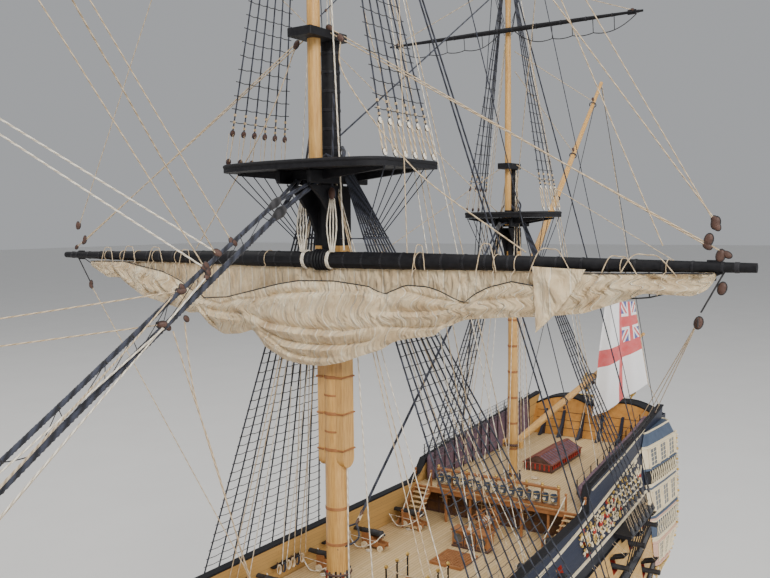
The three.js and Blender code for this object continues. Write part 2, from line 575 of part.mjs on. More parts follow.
const headRail = (points) => {
  const curve = new THREE.CatmullRomCurve3(points.map((p) => new THREE.Vector3(...p)));
  const shape = new THREE.Shape([[-0.35, -0.45], [0.35, -0.45], [0.35, 0.45], [-0.35, 0.45]]
    .map(([a, b]) => new THREE.Vector2(a, b)));
  return toSolid(new THREE.ExtrudeGeometry(shape, { steps: 10, extrudePath: curve }));
};
const railsPort = [
  headRail([[97.6, 10.4, 53], [103, 7.4, 48.8], [109, 5.3, 48.2], [115, 3.2, 49.2], [122, 1.2, 55]]),
  headRail([[99.6, 9.6, 46.4], [103, 6.1, 45.2], [109, 4.2, 45.2], [115, 2.3, 46], [121, 1.1, 49.6]]),
];
const grating = slab([[97.5, -9.4], [97.5, 9.4], [106, 6.6], [116, 3], [116, -3], [106, -6.6]],
  'z', 47.6, 48.2);
const frames = [103, 109, 115].map((x) => slab([[-7.4 + (x - 103) * 0.35, 49],
  [7.4 - (x - 103) * 0.35, 49], [5.8 - (x - 103) * 0.3, 45], [-5.8 + (x - 103) * 0.3, 45]],
'x', x - 0.3, x + 0.3));
const stemClear = slab(backboneSide, 'y', -keelHalf - gap, keelHalf + gap);
add('head_rails', cut(join(railsPort, railsPort.map(mirrorY), grating, frames), stemClear,
  hullBody(gap).intersect(block(80, 110, -20, 20, 20, 46)),
  block(60, 97 + gap, -30, 30, 30, 80), spritHole), 'gilt');

const anchor = (sign) => {
  const [x, z] = [90, 43.5];
  const y = sign * (breadth(x - 6.5, 42) + 1.3);
  const fluke = (s) => join(rod([x - 1.5, y, z - 6], [x + s * 5 - 1, y, z - 3], 0.5, 0.3, 8),
    slab([[x + s * 5 - 1.9, z - 3.9], [x + s * 5 - 0.4, z - 3.8], [x + s * 5.6 - 1, z - 1.4]], 'y',
      y - 0.9, y + 0.9));
  return join(rod([x - 1.5, y, z - 6.2], [x, y, z + 9], 0.5, 0.36, 8), fluke(1), fluke(-1),
    rod([x - 6, y + sign * 0.05, z + 7.4], [x + 6, y + sign * 0.05, z + 7.4], 0.62, 0.62, 8),
    rod([x, y, z + 8.6], [x, y, z + 10.4], 0.25, 0.25, 6));
};
add('anchor_port', anchor(1), 'iron');
add('anchor_starboard', anchor(-1), 'iron');

// yards, gaff and boom

const yardSolid = ({ mast, length, radius, z, ahead }, grow = 0) => {
  const { x } = masts.find(({ name }) => name === mast);
  const half = length / 2;
  const r = radius + grow;
  return turned([[0, -half - grow], [r * 0.45, -half - grow], [r * 0.78, -half * 0.6],
    [r, -half * 0.22], [r, half * 0.22], [r * 0.78, half * 0.6], [r * 0.45, half + grow],
    [0, half + grow]], [x + ahead, 0, z], [0, 1, 0], 12);
};
yards.forEach((yard) => add(yard.name, yardSolid(yard), 'black'));
// slung under the bowsprit
const spritYard = { x: 138, z: 73.85, half: 32, middle: 0.52, end: 0.3 };
add('spritsail_yard', join([1, -1].map((sign) => rod([spritYard.x, 0, spritYard.z],
  [spritYard.x, sign * spritYard.half, spritYard.z], spritYard.middle, spritYard.end, 12))),
'black');

const furled = (yard, scale) => {
  const { x } = masts.find(({ name }) => name === yard.mast);
  const rings = furl.map(({ y, high, low, fore }) => {
    const [h, l] = [(high - 98.4) * scale, (low - 98.4) * scale];
    const cx = x + yard.ahead;
    const f = fore * scale;
    return [[0.2, h - 0.1], [f, h * 0.6 + l * 0.4], [f * 0.9, h * 0.2 + l * 0.8], [0.3, l],
      [-f * 0.4, h * 0.2 + l * 0.8], [-f * 0.4 - 0.1, h * 0.5 + l * 0.5]]
      .map(([dx, dz]) => [cx + dx, y * scale, yard.z + dz]);
  });
  return cut(loft(rings), yardSolid(yard, gap),
    rod([x, 0, 60], [x, 0, 110], 1.6 + gap, 1.6 + gap, 16));
};
add('main_sail_furled', furled(yards[0], 1), 'cloth');
add('fore_sail_furled', furled(yards[3], 0.86), 'cloth');

const jaws = (x, z, radius) =>
  cut(rod([x, 0, z - 0.7], [x, 0, z + 0.7], radius + 1, radius + 1, 16),
    rod([x, 0, z - 2], [x, 0, z + 2], radius + gap, radius + gap, 16),
    block(x + radius * 0.5, x + 5, -5, 5, z - 2, z + 2));
const spanker = (name, throat, peak, r) => {
  const collar = jaws(mizzenX, throat[2], 0.95);
  const spar = turned([[0, 0], [r * 0.8, 0], [r, 8], [r, 22], [r * 0.55, 1], [0, 1]].map(
    ([radius, h], i) => [radius, i < 4 ? h : new THREE.Vector3(...throat).distanceTo(
      new THREE.Vector3(...peak))]), throat, peak.map((v, i) => v - throat[i]), 12);
  add(name, join(collar, spar), 'honey');
};
spanker('gaff', [-55.4, 0, 88.7], [-99.1, 0, 133.2], 0.62);
spanker('boom', [-55.3, 0, 62.1], [-132.5, 0, 73.2], 0.7);

// ensign and stays

// flag edges from the hoist to the fly, and the halyard from the gaff's peak to the rail
const flag = Array.from({ length: 9 }, (_, k) => {
  const t = k / 8;
  const fold = Math.sin(t * 9) * 0.6 * t;
  return { top: [-97.2 + 5.7 * t, 8.6 - 4.2 * t + fold, 85.1],
    low: [-96.9 + 7.9 * t, 11.9 - 9 * t + fold, 67.3 - 7.1 * t] };
});
const flagThick = 0.12;
const halyard = [[-99.45, 0.05, 132.7], [-97.2, 8.6, 85.1], [-96.9, 12.05, 67.1],
  [-96.9, 14.4, 62.65]];
add('ensign', join(loft(flag.map(({ top, low }) => [top, low,
  [low[0] + flagThick, low[1] + flagThick, low[2]],
  [top[0] + flagThick, top[1] + flagThick, top[2]]])),
halyard.slice(1).map((to, i) => rod(halyard[i], to, 0.13, 0.13, 6))), 'cloth');
stays.forEach((stay) => add(stay.name, stayRod(stay), 'rope'));

// baseboard and chocks, millimetres

const toModel = (solid) => solid.scale(foot).translate([mainMastX, 0, keelRise]);

const board = slab([[-boardWidth / 2, 0], [boardWidth / 2, 0], [boardWidth / 2, boardThick - 6],
  [boardWidth / 2 - 6, boardThick], [-boardWidth / 2 + 6, boardThick],
  [-boardWidth / 2, boardThick - 6]], 'x', -boardLength / 2, boardLength / 2);
const clearHull = toModel(join(hullBody(gap), stemClear,
  block(-76, 90, -keelHalf - gap, keelHalf + gap, -gap, 4)));
const chock = (x) => cut(slab([[-chockHalf, boardThick], [chockHalf, boardThick],
  [chockHalf - 8, chockTop], [-chockHalf + 8, chockTop]], 'x', x - chockThick / 2,
x + chockThick / 2), clearHull);

const group = new THREE.Group();
group.name = 'tall_ship';
const place = (name, solid, finish) => {
  const { color, roughness, metalness } = finishes.find((one) => one.name === finish);
  const mesh = new THREE.Mesh(toGeometry(solid),
    new THREE.MeshStandardMaterial({ color, roughness, metalness }));
  mesh.name = name;
  group.add(mesh);
};
place('baseboard', board, 'walnut');
place('cradle_chock_fore', chock(190), 'walnut');
place('cradle_chock_aft', chock(-200), 'walnut');
pieces.forEach(({ name, solid, finish }) => place(name, toModel(solid), finish));

export default group;
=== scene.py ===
import json
import math
import random

import bpy
import numpy as np
from mathutils import Matrix, Vector

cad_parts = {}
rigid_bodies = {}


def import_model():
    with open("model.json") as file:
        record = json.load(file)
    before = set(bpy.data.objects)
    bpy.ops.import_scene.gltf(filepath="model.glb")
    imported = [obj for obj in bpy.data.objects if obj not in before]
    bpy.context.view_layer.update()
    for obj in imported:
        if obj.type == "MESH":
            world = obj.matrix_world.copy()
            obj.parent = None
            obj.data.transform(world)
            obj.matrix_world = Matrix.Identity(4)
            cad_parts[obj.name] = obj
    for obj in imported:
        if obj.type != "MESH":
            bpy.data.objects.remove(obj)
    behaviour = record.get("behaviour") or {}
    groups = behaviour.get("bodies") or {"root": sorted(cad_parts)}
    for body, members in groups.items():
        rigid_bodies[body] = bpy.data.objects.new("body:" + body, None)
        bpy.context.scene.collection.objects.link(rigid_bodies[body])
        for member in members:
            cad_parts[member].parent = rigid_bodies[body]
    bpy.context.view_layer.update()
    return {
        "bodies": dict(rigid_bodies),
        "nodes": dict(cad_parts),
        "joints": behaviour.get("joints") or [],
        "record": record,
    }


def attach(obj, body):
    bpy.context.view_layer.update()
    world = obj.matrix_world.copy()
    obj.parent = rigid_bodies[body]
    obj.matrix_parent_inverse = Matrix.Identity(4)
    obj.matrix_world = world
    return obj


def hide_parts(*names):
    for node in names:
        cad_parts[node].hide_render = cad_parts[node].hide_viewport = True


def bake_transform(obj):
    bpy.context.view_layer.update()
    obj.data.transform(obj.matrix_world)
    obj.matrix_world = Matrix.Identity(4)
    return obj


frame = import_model()

# the ship is laid out in feet of the real vessel, with the main mast at x 0 and the keel at z 0
foot = 0.0039
mainMastX = -0.043
keelRise = 0.030


def toMetres(points):
    return np.asarray(points, float) * foot + (mainMastX, 0.0, keelRise)


camera = {
    "place": (87.124, 66.121, 103.055),  # feet
    "yaw": 0.589, "pitch": 0.079, "roll": -0.011,
    "lens": 39.75, "sensor": 36.0,
}


def makeCamera():
    yaw, pitch, roll = camera["yaw"], camera["pitch"], camera["roll"]
    ahead = Vector((-math.cos(yaw) * math.cos(pitch), -math.sin(yaw) * math.cos(pitch),
                    -math.sin(pitch)))
    right = ahead.cross(Vector((0, 0, 1))).normalized()
    up = right.cross(ahead)
    tiltedRight = right * math.cos(roll) + up * math.sin(roll)
    tiltedUp = up * math.cos(roll) - right * math.sin(roll)
    data = bpy.data.cameras.new("photoCamera")
    data.lens = camera["lens"]
    data.sensor_fit = "HORIZONTAL"
    data.sensor_width = camera["sensor"]
    data.clip_start = 0.005
    data.clip_end = 60
    eye = bpy.data.objects.new("photoCamera", data)
    bpy.context.scene.collection.objects.link(eye)
    turn = np.array([tiltedRight, tiltedUp, -ahead]).T
    spot = toMetres(camera["place"])
    eye.matrix_world = Matrix([[*turn[i], spot[i]] for i in range(3)] + [[0, 0, 0, 1]])
    bpy.context.scene.camera = eye


# mesh kit: a shape collects points, faces, paint numbers and uv, all in feet;
# paint is the number of a face's material in the list that finishShape gets

def newShape():
    return {"points": [], "loops": [], "sizes": [], "paint": [], "uv": [], "count": 0}


def addFaces(shape, points, faces, paint=0, uv=None):
    faces = np.asarray(faces, int)
    shape["points"].append(np.asarray(points, float).reshape(-1, 3))
    shape["loops"].append((faces + shape["count"]).ravel())
    shape["sizes"].append(np.full(len(faces), faces.shape[1]))
    paintRow = np.asarray(paint, int)
    shape["paint"].append(np.full(len(faces), paintRow) if paintRow.ndim == 0 else paintRow)
    flatUv = np.zeros((faces.size, 2)) if uv is None else np.asarray(uv, float).reshape(-1, 2)
    shape["uv"].append(flatUv)
    shape["count"] += len(shape["points"][-1])


# faces over points that the shape already has
def addEndFaces(shape, faces, paint):
    faces = np.asarray(faces)
    shape["loops"].append(faces.ravel())
    shape["sizes"].append(np.full(len(faces), faces.shape[1]))
    shape["paint"].append(np.full(len(faces), paint))
    shape["uv"].append(np.zeros((faces.size, 2)))


def addGrid(shape, grid, paint=0, wrap=False, uv=None, holes=None):
    grid = np.asarray(grid, float)
    rows, cols = grid.shape[:2]
    i, j = np.meshgrid(np.arange(rows - 1), np.arange(cols if wrap else cols - 1), indexing="ij")
    if holes is not None:
        keep = ~holes
        i, j = i[keep], j[keep]
    i, j = i.ravel(), j.ravel()
    nextJ = (j + 1) % cols
    faces = np.stack([i * cols + j, i * cols + nextJ, (i + 1) * cols + nextJ, (i + 1) * cols + j],
                     1)
    corner = None
    if uv is not None:
        u, v = uv
        corner = np.stack([np.stack([u[j], v[i]], 1), np.stack([u[j + 1], v[i]], 1),
                           np.stack([u[j + 1], v[i + 1]], 1), np.stack([u[j], v[i + 1]], 1)], 1)
    tint = paint if np.ndim(paint) == 0 else np.asarray(paint)[i, j]
    addFaces(shape, grid, faces, tint, corner)


def sideAxes(direction, hint=(0, 0, 1)):
    d = np.asarray(direction, float)
    d = d / max(np.linalg.norm(d), 1e-9)
    h = np.asarray(hint, float)
    if abs(d @ h) > 0.95 * np.linalg.norm(h):
        h = np.array((0.0, 1.0, 0.0)) if abs(d[1]) < 0.9 else np.array((1.0, 0, 0))
    u = np.cross(d, h)
    u /= np.linalg.norm(u)
    return u, np.cross(d, u)


def addTube(shape, path, radius, sides=6, paint=0, closed=False, caps=True, strands=0, lay=0.0):
    path = np.asarray(path, float)
    count = len(path)
    radii = np.full(count, float(radius)) if np.ndim(radius) == 0 else np.asarray(radius, float)
    steps = np.diff(path, axis=0, append=path[:1] if closed else path[-1:])
    if not closed:
        steps[-1] = steps[-2]
    tangent = steps + np.roll(steps, 1, axis=0)
    if not closed:
        tangent[0], tangent[-1] = steps[0], steps[-1]
    tangent /= np.maximum(np.linalg.norm(tangent, axis=1), 1e-9)[:, None]
    u, v = sideAxes(tangent[0])
    along = np.concatenate([[0], np.cumsum(np.linalg.norm(np.diff(path, axis=0), axis=1))])
    angle = np.arange(sides) * 2 * math.pi / sides
    rings = []
    for k in range(count):
        u = u - tangent[k] * (u @ tangent[k])
        u /= max(np.linalg.norm(u), 1e-9)
        v = np.cross(tangent[k], u)
        swell = 1 + 0.13 * np.cos(strands * angle - lay * along[k]) if strands else np.ones(sides)
        spread = (radii[k] * swell)[:, None]
        rings.append(path[k] + spread * (np.cos(angle)[:, None] * u + np.sin(angle)[:, None] * v))
    grid = np.array(rings)
    if closed:
        grid = np.concatenate([grid, grid[:1]])
        along = np.append(along, along[-1] + np.linalg.norm(path[0] - path[-1]))
    turns = np.arange(sides + 1) / sides
    addGrid(shape, grid, paint, wrap=True, uv=(turns, along))
    if caps and not closed:
        ring = shape["count"] - count * sides + np.arange(sides)
        addEndFaces(shape, [ring[::-1], ring + (count - 1) * sides], paint)


def addLine(shape, a, b, radius, sides=5, paint=0, sag=0.0, steps=1):
    a, b = np.asarray(a, float), np.asarray(b, float)
    if sag:
        steps = max(steps, 8)
    t = np.linspace(0, 1, steps + 1)[:, None]
    path = a + (b - a) * t
    path[:, 2] -= sag * 4 * (t * (1 - t))[:, 0]
    addTube(shape, path, radius, sides, paint)


def addTurned(shape, profile, origin, axis=(0, 0, 1), sides=16, paint=0):
    profile = np.asarray(profile, float)
    d = np.asarray(axis, float)
    d = d / np.linalg.norm(d)
    u, v = sideAxes(d)
    angle = np.arange(sides) * 2 * math.pi / sides
    ring = np.cos(angle)[:, None] * u + np.sin(angle)[:, None] * v
    grid = [np.asarray(origin, float) + d * h + max(r, 1e-4) * ring for r, h in profile]
    addGrid(shape, grid, paint, wrap=True, uv=(np.arange(sides + 1) / sides, profile[:, 1]))


# a hoop with bevelled edges round a spar: its radius, how proud, half its width and half its crown
def addHoop(shape, at, axis, r, proud, half, crown, sides, tint):
    addTurned(shape, [(r, -half), (r + proud, -crown), (r + proud, crown), (r, half)], at, axis,
              sides, tint)


def addBlock(shape, low, high, paint=0, chamfer=0.08, turn=None, at=(0, 0, 0)):
    low, high = np.asarray(low, float), np.asarray(high, float)
    mid, half = (low + high) / 2, (high - low) / 2
    cutBack = min(chamfer, 0.4 * half.min())
    points = []
    for sx in (-1, 1):
        for sy in (-1, 1):
            for sz in (-1, 1):
                sign = np.array((sx, sy, sz))
                for k in range(3):
                    p = sign * (half - cutBack)
                    p[k] = sign[k] * half[k]
                    points.append(p)
    points = np.array(points)
    if turn is not None:
        points = points @ np.asarray(turn, float).T
    points = points + mid + np.asarray(at, float)
    corner = {(sx, sy, sz): 3 * (4 * sx + 2 * sy + sz) for sx in (0, 1) for sy in (0,
        1) for sz in (0, 1)}
    quads, tris = [], []
    for k in range(3):
        a, b = [n for n in range(3) if n != k]
        for s in (0, 1):
            order = [(0, 0), (1, 0), (1, 1), (0, 1)]
            face = []
            for p, q in order:
                key = [0, 0, 0]
                key[k], key[a], key[b] = s, p, q
                face.append(corner[tuple(key)] + k)
            quads.append(face if (s == 1) == (k != 1) else face[::-1])
        for p in (0, 1):
            for q in (0, 1):
                ends = []
                for s in (0, 1):
                    key = [0, 0, 0]
                    key[k], key[a], key[b] = s, p, q
                    ends.append(corner[tuple(key)])
                face = [ends[0] + a, ends[1] + a, ends[1] + b, ends[0] + b]
                quads.append(face if (p == q) == (k == 1) else face[::-1])
    for (sx, sy, sz), base in corner.items():
        tris.append([base, base + 1, base + 2] if (sx + sy + sz) % 2 == 1 else [base, base + 2,
                                                                                base + 1])
    start = shape["count"]
    addFaces(shape, points, quads, paint)
    addEndFaces(shape, np.array(tris) + start, paint)


# flat outline given thickness; place is upright, athwart or level
def addPlate(shape, outline, place, near, far, paint=0):
    front = np.array([place(p, near) for p in outline], float)
    back = np.array([place(p, far) for p in outline], float)
    count = len(outline)
    addGrid(shape, np.stack([front, back]), paint, wrap=True)
    ring = shape["count"] - 2 * count + np.arange(count)
    addEndFaces(shape, [ring[::-1], ring + count], paint)


def upright(p, y):
    return p[0], y, p[1]


def athwart(p, x):
    return x, p[0], p[1]


def level(p, z):
    return p[0], p[1], z


def fullTurn(steps):
    return np.linspace(0, 2 * math.pi, steps + 1)[:-1]


def arc(centre, radius, start, end, steps):
    angles = np.radians(np.linspace(start, end, steps))
    return [(centre[0] + radius * math.cos(a), centre[1] + radius * math.sin(a)) for a in angles]


def curveThrough(points, steps=24):
    points = np.asarray(points, float)
    padded = np.concatenate([[2 * points[0] - points[1]], points, [2 * points[-1] - points[-2]]])
    path = []
    for k in range(len(points) - 1):
        p0, p1, p2, p3 = padded[k:k + 4]
        for t in np.linspace(0, 1, steps, endpoint=False):
            path.append(0.5 * (2 * p1 + (p2 - p0) * t + (2 * p0 - 5 * p1 + 4 * p2 - p3) * t ** 2
                               + (3 * p1 - p0 - 3 * p2 + p3) * t ** 3))
    path.append(points[-1])
    return np.array(path)


def finishShape(shape, name, body, materials, smooth=32, replaces=()):
    points = toMetres(np.concatenate(shape["points"]))
    loops = np.concatenate(shape["loops"])
    sizes = np.concatenate(shape["sizes"])
    mesh = bpy.data.meshes.new(name)
    mesh.vertices.add(len(points))
    mesh.vertices.foreach_set("co", points.astype(np.float32).ravel())
    mesh.loops.add(len(loops))
    mesh.loops.foreach_set("vertex_index", loops.astype(np.int32))
    mesh.polygons.add(len(sizes))
    starts = np.concatenate([[0], np.cumsum(sizes)[:-1]])
    mesh.polygons.foreach_set("loop_start", starts.astype(np.int32))
    for key in materials:
        mesh.materials.append(paint[key])
    mesh.polygons.foreach_set("material_index", np.concatenate(shape["paint"]).astype(np.int32))
    layer = mesh.uv_layers.new(name="lie")
    layer.uv.foreach_set("vector", np.concatenate(shape["uv"]).astype(np.float32).ravel())
    mesh.update(calc_edges=True)
    mesh.validate()
    mesh.shade_smooth()
    mesh.set_sharp_from_angle(angle=math.radians(smooth))
    piece = bpy.data.objects.new(name, mesh)
    bpy.context.scene.collection.objects.link(piece)
    if body:
        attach(piece, body)
    if replaces:
        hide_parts(*replaces)
    return piece


# material kit

def startMaterial(name, roughness=0.6, metallic=0.0, **sockets):
    material = bpy.data.materials.new(name)
    material.use_nodes = True
    tree = material.node_tree
    shader = next(n for n in tree.nodes if n.type == "BSDF_PRINCIPLED")
    shader.inputs["Roughness"].default_value = roughness
    shader.inputs["Metallic"].default_value = metallic
    for socket, value in sockets.items():
        shader.inputs[socket.replace("_", " ")].default_value = value
    return {"material": material, "tree": tree, "shader": shader}


def addNode(m, kind, inputs=None, **settings):
    node = m["tree"].nodes.new(kind)
    for key, value in settings.items():
        setattr(node, key, value)
    for key, value in (inputs or {}).items():
        socket = node.inputs[key]
        if isinstance(value, bpy.types.NodeSocket):
            m["tree"].links.new(value, socket)
        else:
            socket.default_value = value
    return node


def paintSpace(m, scale=(1, 1, 1), source="Object", turn=(0, 0, 0)):
    if source == "lie":
        start = addNode(m, "ShaderNodeUVMap", uv_map="lie").outputs["UV"]
    else:
        start = addNode(m, "ShaderNodeTexCoord").outputs[source]
    return addNode(m, "ShaderNodeMapping",
                   {"Vector": start, "Scale": scale, "Rotation": turn}).outputs["Vector"]


def noise(m, space, scale=5.0, detail=3.0, roughness=0.5, distortion=0.0):
    node = addNode(m, "ShaderNodeTexNoise", {"Vector": space, "Scale": scale, "Detail": detail,
                                            "Roughness": roughness, "Distortion": distortion})
    return node.outputs["Fac"]


def ramp(m, value, stops):
    node = addNode(m, "ShaderNodeValToRGB", {"Fac": value})
    elements = node.color_ramp.elements
    while len(elements) < len(stops):
        elements.new(0.5)
    for element, (place, color) in zip(elements, stops):
        element.position = place
        element.color = (*color, 1) if len(color) == 3 else color
    return node.outputs["Color"]


def mixColor(m, factor, first, second, blend="MIX"):
    node = addNode(m, "ShaderNodeMix", data_type="RGBA", blend_type=blend)
    for key, value in ((0, factor), (6, first), (7, second)):
        socket = node.inputs[key]
        if isinstance(value, bpy.types.NodeSocket):
            m["tree"].links.new(value, socket)
        elif key == 0:
            socket.default_value = value
        else:
            socket.default_value = (*value, 1)
    return node.outputs[2]


def mathNode(m, operation, a, b=0.5, clamp=False):
    return addNode(m, "ShaderNodeMath", {0: a, 1: b}, operation=operation,
                   use_clamp=clamp).outputs[0]


def times(m, a, b):
    return mathNode(m, "MULTIPLY", a, b)


def plus(m, a, b):
    return mathNode(m, "ADD", a, b)


def minus(m, a, b):
    return mathNode(m, "SUBTRACT", a, b)


def setColor(m, color):
    socket = m["shader"].inputs["Base Color"]
    if isinstance(color, bpy.types.NodeSocket):
        m["tree"].links.new(color, socket)
    else:
        socket.default_value = (*color, 1)


# roughness goes from low to high while the value goes from start to end
def setRoughness(m, value, start, low, end, high):
    tone = ramp(m, value, [(start, (low,) * 3), (end, (high,) * 3)])
    m["tree"].links.new(tone, m["shader"].inputs["Roughness"])


def setBump(m, height, strength=0.4, distance=0.0005, under=None):
    inputs = {"Height": height, "Strength": strength, "Distance": distance}
    if under is not None:
        inputs["Normal"] = under
    node = addNode(m, "ShaderNodeBump", inputs)
    m["tree"].links.new(node.outputs["Normal"], m["shader"].inputs["Normal"])
    return node.outputs["Normal"]


# materials

def sparWood(name="sparWood", stretch=(60, 60, 5)):
    m = startMaterial(name, 0.42, Coat_Weight=0.25, Coat_Roughness=0.25)
    space = paintSpace(m, stretch)
    grain = noise(m, space, 18, 6, 0.65, 0.4)
    broad = noise(m, paintSpace(m, (9, 9, 3)), 4, 2)
    color = ramp(m, grain, [(0.28, (0.40, 0.20, 0.055)), (0.5, (0.61, 0.345, 0.10)),
                            (0.75, (0.76, 0.48, 0.165))])
    setColor(m, mixColor(m, times(m, broad, 0.4), color, (0.46, 0.23, 0.06)))
    setRoughness(m, grain, 0.2, 0.34, 0.8, 0.5)
    setBump(m, grain, 0.25, 0.0002)
    return m["material"]


def deckPlanks():
    m = startMaterial("deckPlanks", 0.55)
    space = paintSpace(m)
    brick = addNode(m, "ShaderNodeTexBrick", {
        "Vector": space, "Color1": (0.60, 0.44, 0.235, 1), "Color2": (0.70, 0.54, 0.32, 1),
        "Mortar": (0.16, 0.10, 0.05, 1), "Scale": 1.0, "Mortar Size": 0.00014,
        "Mortar Smooth": 0.25,
        "Bias": 0.0, "Brick Width": 0.062, "Row Height": 0.0023}, offset=0.37, offset_frequency=3)
    grain = noise(m, paintSpace(m, (30, 900, 30)), 3, 4, 0.6)
    tint = mixColor(m, times(m, grain, 0.55), brick.outputs["Color"], (0.52, 0.36, 0.18), "MIX")
    worn = noise(m, paintSpace(m, (14,) * 3), 2.5, 3)
    setColor(m, mixColor(m, times(m, worn, 0.35), tint, (0.75, 0.6, 0.4), "SOFT_LIGHT"))
    setBump(m, minus(m, times(m, grain, 0.2), brick.outputs["Fac"]), 0.5, 0.00015)
    return m["material"]


def darkWood():
    m = startMaterial("darkWood", 0.45, Coat_Weight=0.15)
    grain = noise(m, paintSpace(m, (12, 90, 90)), 9, 5, 0.6, 0.3)
    setColor(m, ramp(m, grain, [(0.25, (0.055, 0.026, 0.012)), (0.7, (0.16, 0.075, 0.034))]))
    setBump(m, grain, 0.3, 0.0002)
    return m["material"]


def blackPaint(name="blackPaint", tone=(0.007, 0.007, 0.009), edge=(0.018, 0.018, 0.021),
               shine=0.55):
    m = startMaterial(name, shine, Specular_IOR_Level=0.2)
    blotch = noise(m, paintSpace(m, (60,) * 3), 6, 5, 0.6)
    setColor(m, ramp(m, blotch, [(0.3, tone), (0.75, edge)]))
    setRoughness(m, blotch, 0.2, shine - 0.1, 0.8, shine + 0.14)
    setBump(m, noise(m, paintSpace(m, (500,) * 3), 3, 2), 0.15, 0.0001)
    return m["material"]


# planked and painted hull side: the uv runs in feet along and up the side
def hullPaint(name, tone, dark, shine=0.45, strake=1.15):
    m = startMaterial(name, shine, Specular_IOR_Level=0.22)
    space = paintSpace(m, source="lie")
    brick = addNode(m, "ShaderNodeTexBrick", {
        "Vector": space, "Color1": (*tone, 1), "Color2": (*[c * 0.9 for c in tone], 1),
        "Mortar": (*[c * 0.45 for c in dark], 1), "Scale": 1.0, "Mortar Size": 0.035,
        "Mortar Smooth": 0.6,
        "Bias": 0.0, "Brick Width": 22.0, "Row Height": strake}, offset=0.4, offset_frequency=2)
    streak = noise(m, paintSpace(m, (0.25, 4, 1), "lie"), 3, 4, 0.6)
    setColor(m, mixColor(m, times(m, streak, 0.6), brick.outputs["Color"], dark))
    setRoughness(m, streak, 0.2, shine - 0.08, 0.8, shine + 0.15)
    setBump(m, minus(m, times(m, streak, 0.15), brick.outputs["Fac"]), 0.5, 0.00025)
    return m["material"]


def copperPlates():
    m = startMaterial("copperPlates", 0.38, 0.9)
    brick = addNode(m, "ShaderNodeTexBrick", {
        "Vector": paintSpace(m, source="lie"), "Color1": (0.50, 0.235, 0.125, 1),
        "Color2": (0.38, 0.17, 0.09, 1), "Mortar": (0.10, 0.05, 0.03, 1), "Scale": 1.0,
        "Mortar Size": 0.05,
        "Mortar Smooth": 0.4, "Bias": 0.0, "Brick Width": 4.0, "Row Height": 1.3}, offset=0.5)
    patina = noise(m, paintSpace(m, (30,) * 3), 5, 6, 0.65)
    mask = ramp(m, patina, [(0.56, (0, 0, 0)), (0.78, (1, 1, 1))])
    setColor(m, mixColor(m, times(m, mask, 0.4), brick.outputs["Color"], (0.11, 0.16, 0.11)))
    setRoughness(m, patina, 0.3, 0.3, 0.7, 0.6)
    setBump(m, times(m, brick.outputs["Fac"], -1.0), 0.6, 0.0002)
    return m["material"]


def gilding():
    m = startMaterial("gilding", 0.36, 0.75)
    wear = noise(m, paintSpace(m, (160,) * 3), 4, 5, 0.6)
    setColor(m, ramp(m, wear, [(0.25, (0.30, 0.17, 0.045)), (0.5, (0.66, 0.44, 0.13)),
                               (0.8, (0.83, 0.61, 0.24))]))
    setRoughness(m, wear, 0.2, 0.6, 0.7, 0.3)
    setBump(m, wear, 0.3, 0.0002)
    return m["material"]


def plainPaint(name, low, high, shine=0.5, scale=45):
    m = startMaterial(name, shine, Specular_IOR_Level=0.3)
    blotch = noise(m, paintSpace(m, (scale,) * 3), 5, 5, 0.6)
    setColor(m, ramp(m, blotch, [(0.28, low), (0.72, high)]))
    setRoughness(m, blotch, 0.2, shine - 0.06, 0.8, shine + 0.14)
    setBump(m, noise(m, paintSpace(m, (420,) * 3), 3, 2), 0.15, 0.0001)
    return m["material"]


# laid rope: the uv of a tube runs once round it and along it in feet
def ropeYarn(name, low, high, pitch=1.0, rough=0.85):
    m = startMaterial(name, rough, Sheen_Weight=0.15, Sheen_Roughness=0.5)
    lay = addNode(m, "ShaderNodeTexWave",
                  {"Vector": paintSpace(m, (3.0, 1.6 / pitch, 1), "lie"), "Scale": 0.32,
                                           "Distortion": 0.6, "Detail": 1.0, "Detail Scale": 2.0},
                  wave_type="BANDS", bands_direction="DIAGONAL").outputs["Fac"]
    fuzz = noise(m, paintSpace(m, (700,) * 3), 3, 3, 0.6)
    # the lay bands are darker in the grooves between the strands, painted shade; the fine fuzz is
    # the yarn's own tone
    shade = plus(m, times(m, lay, 0.6), times(m, fuzz, 0.4))
    setColor(m, ramp(m, shade, [(0.2, low), (0.7, high)]))
    setBump(m, shade, 0.6, 0.0002)
    return m["material"]


seamSpacing = 2.1  # feet between the sewn seams of a sail


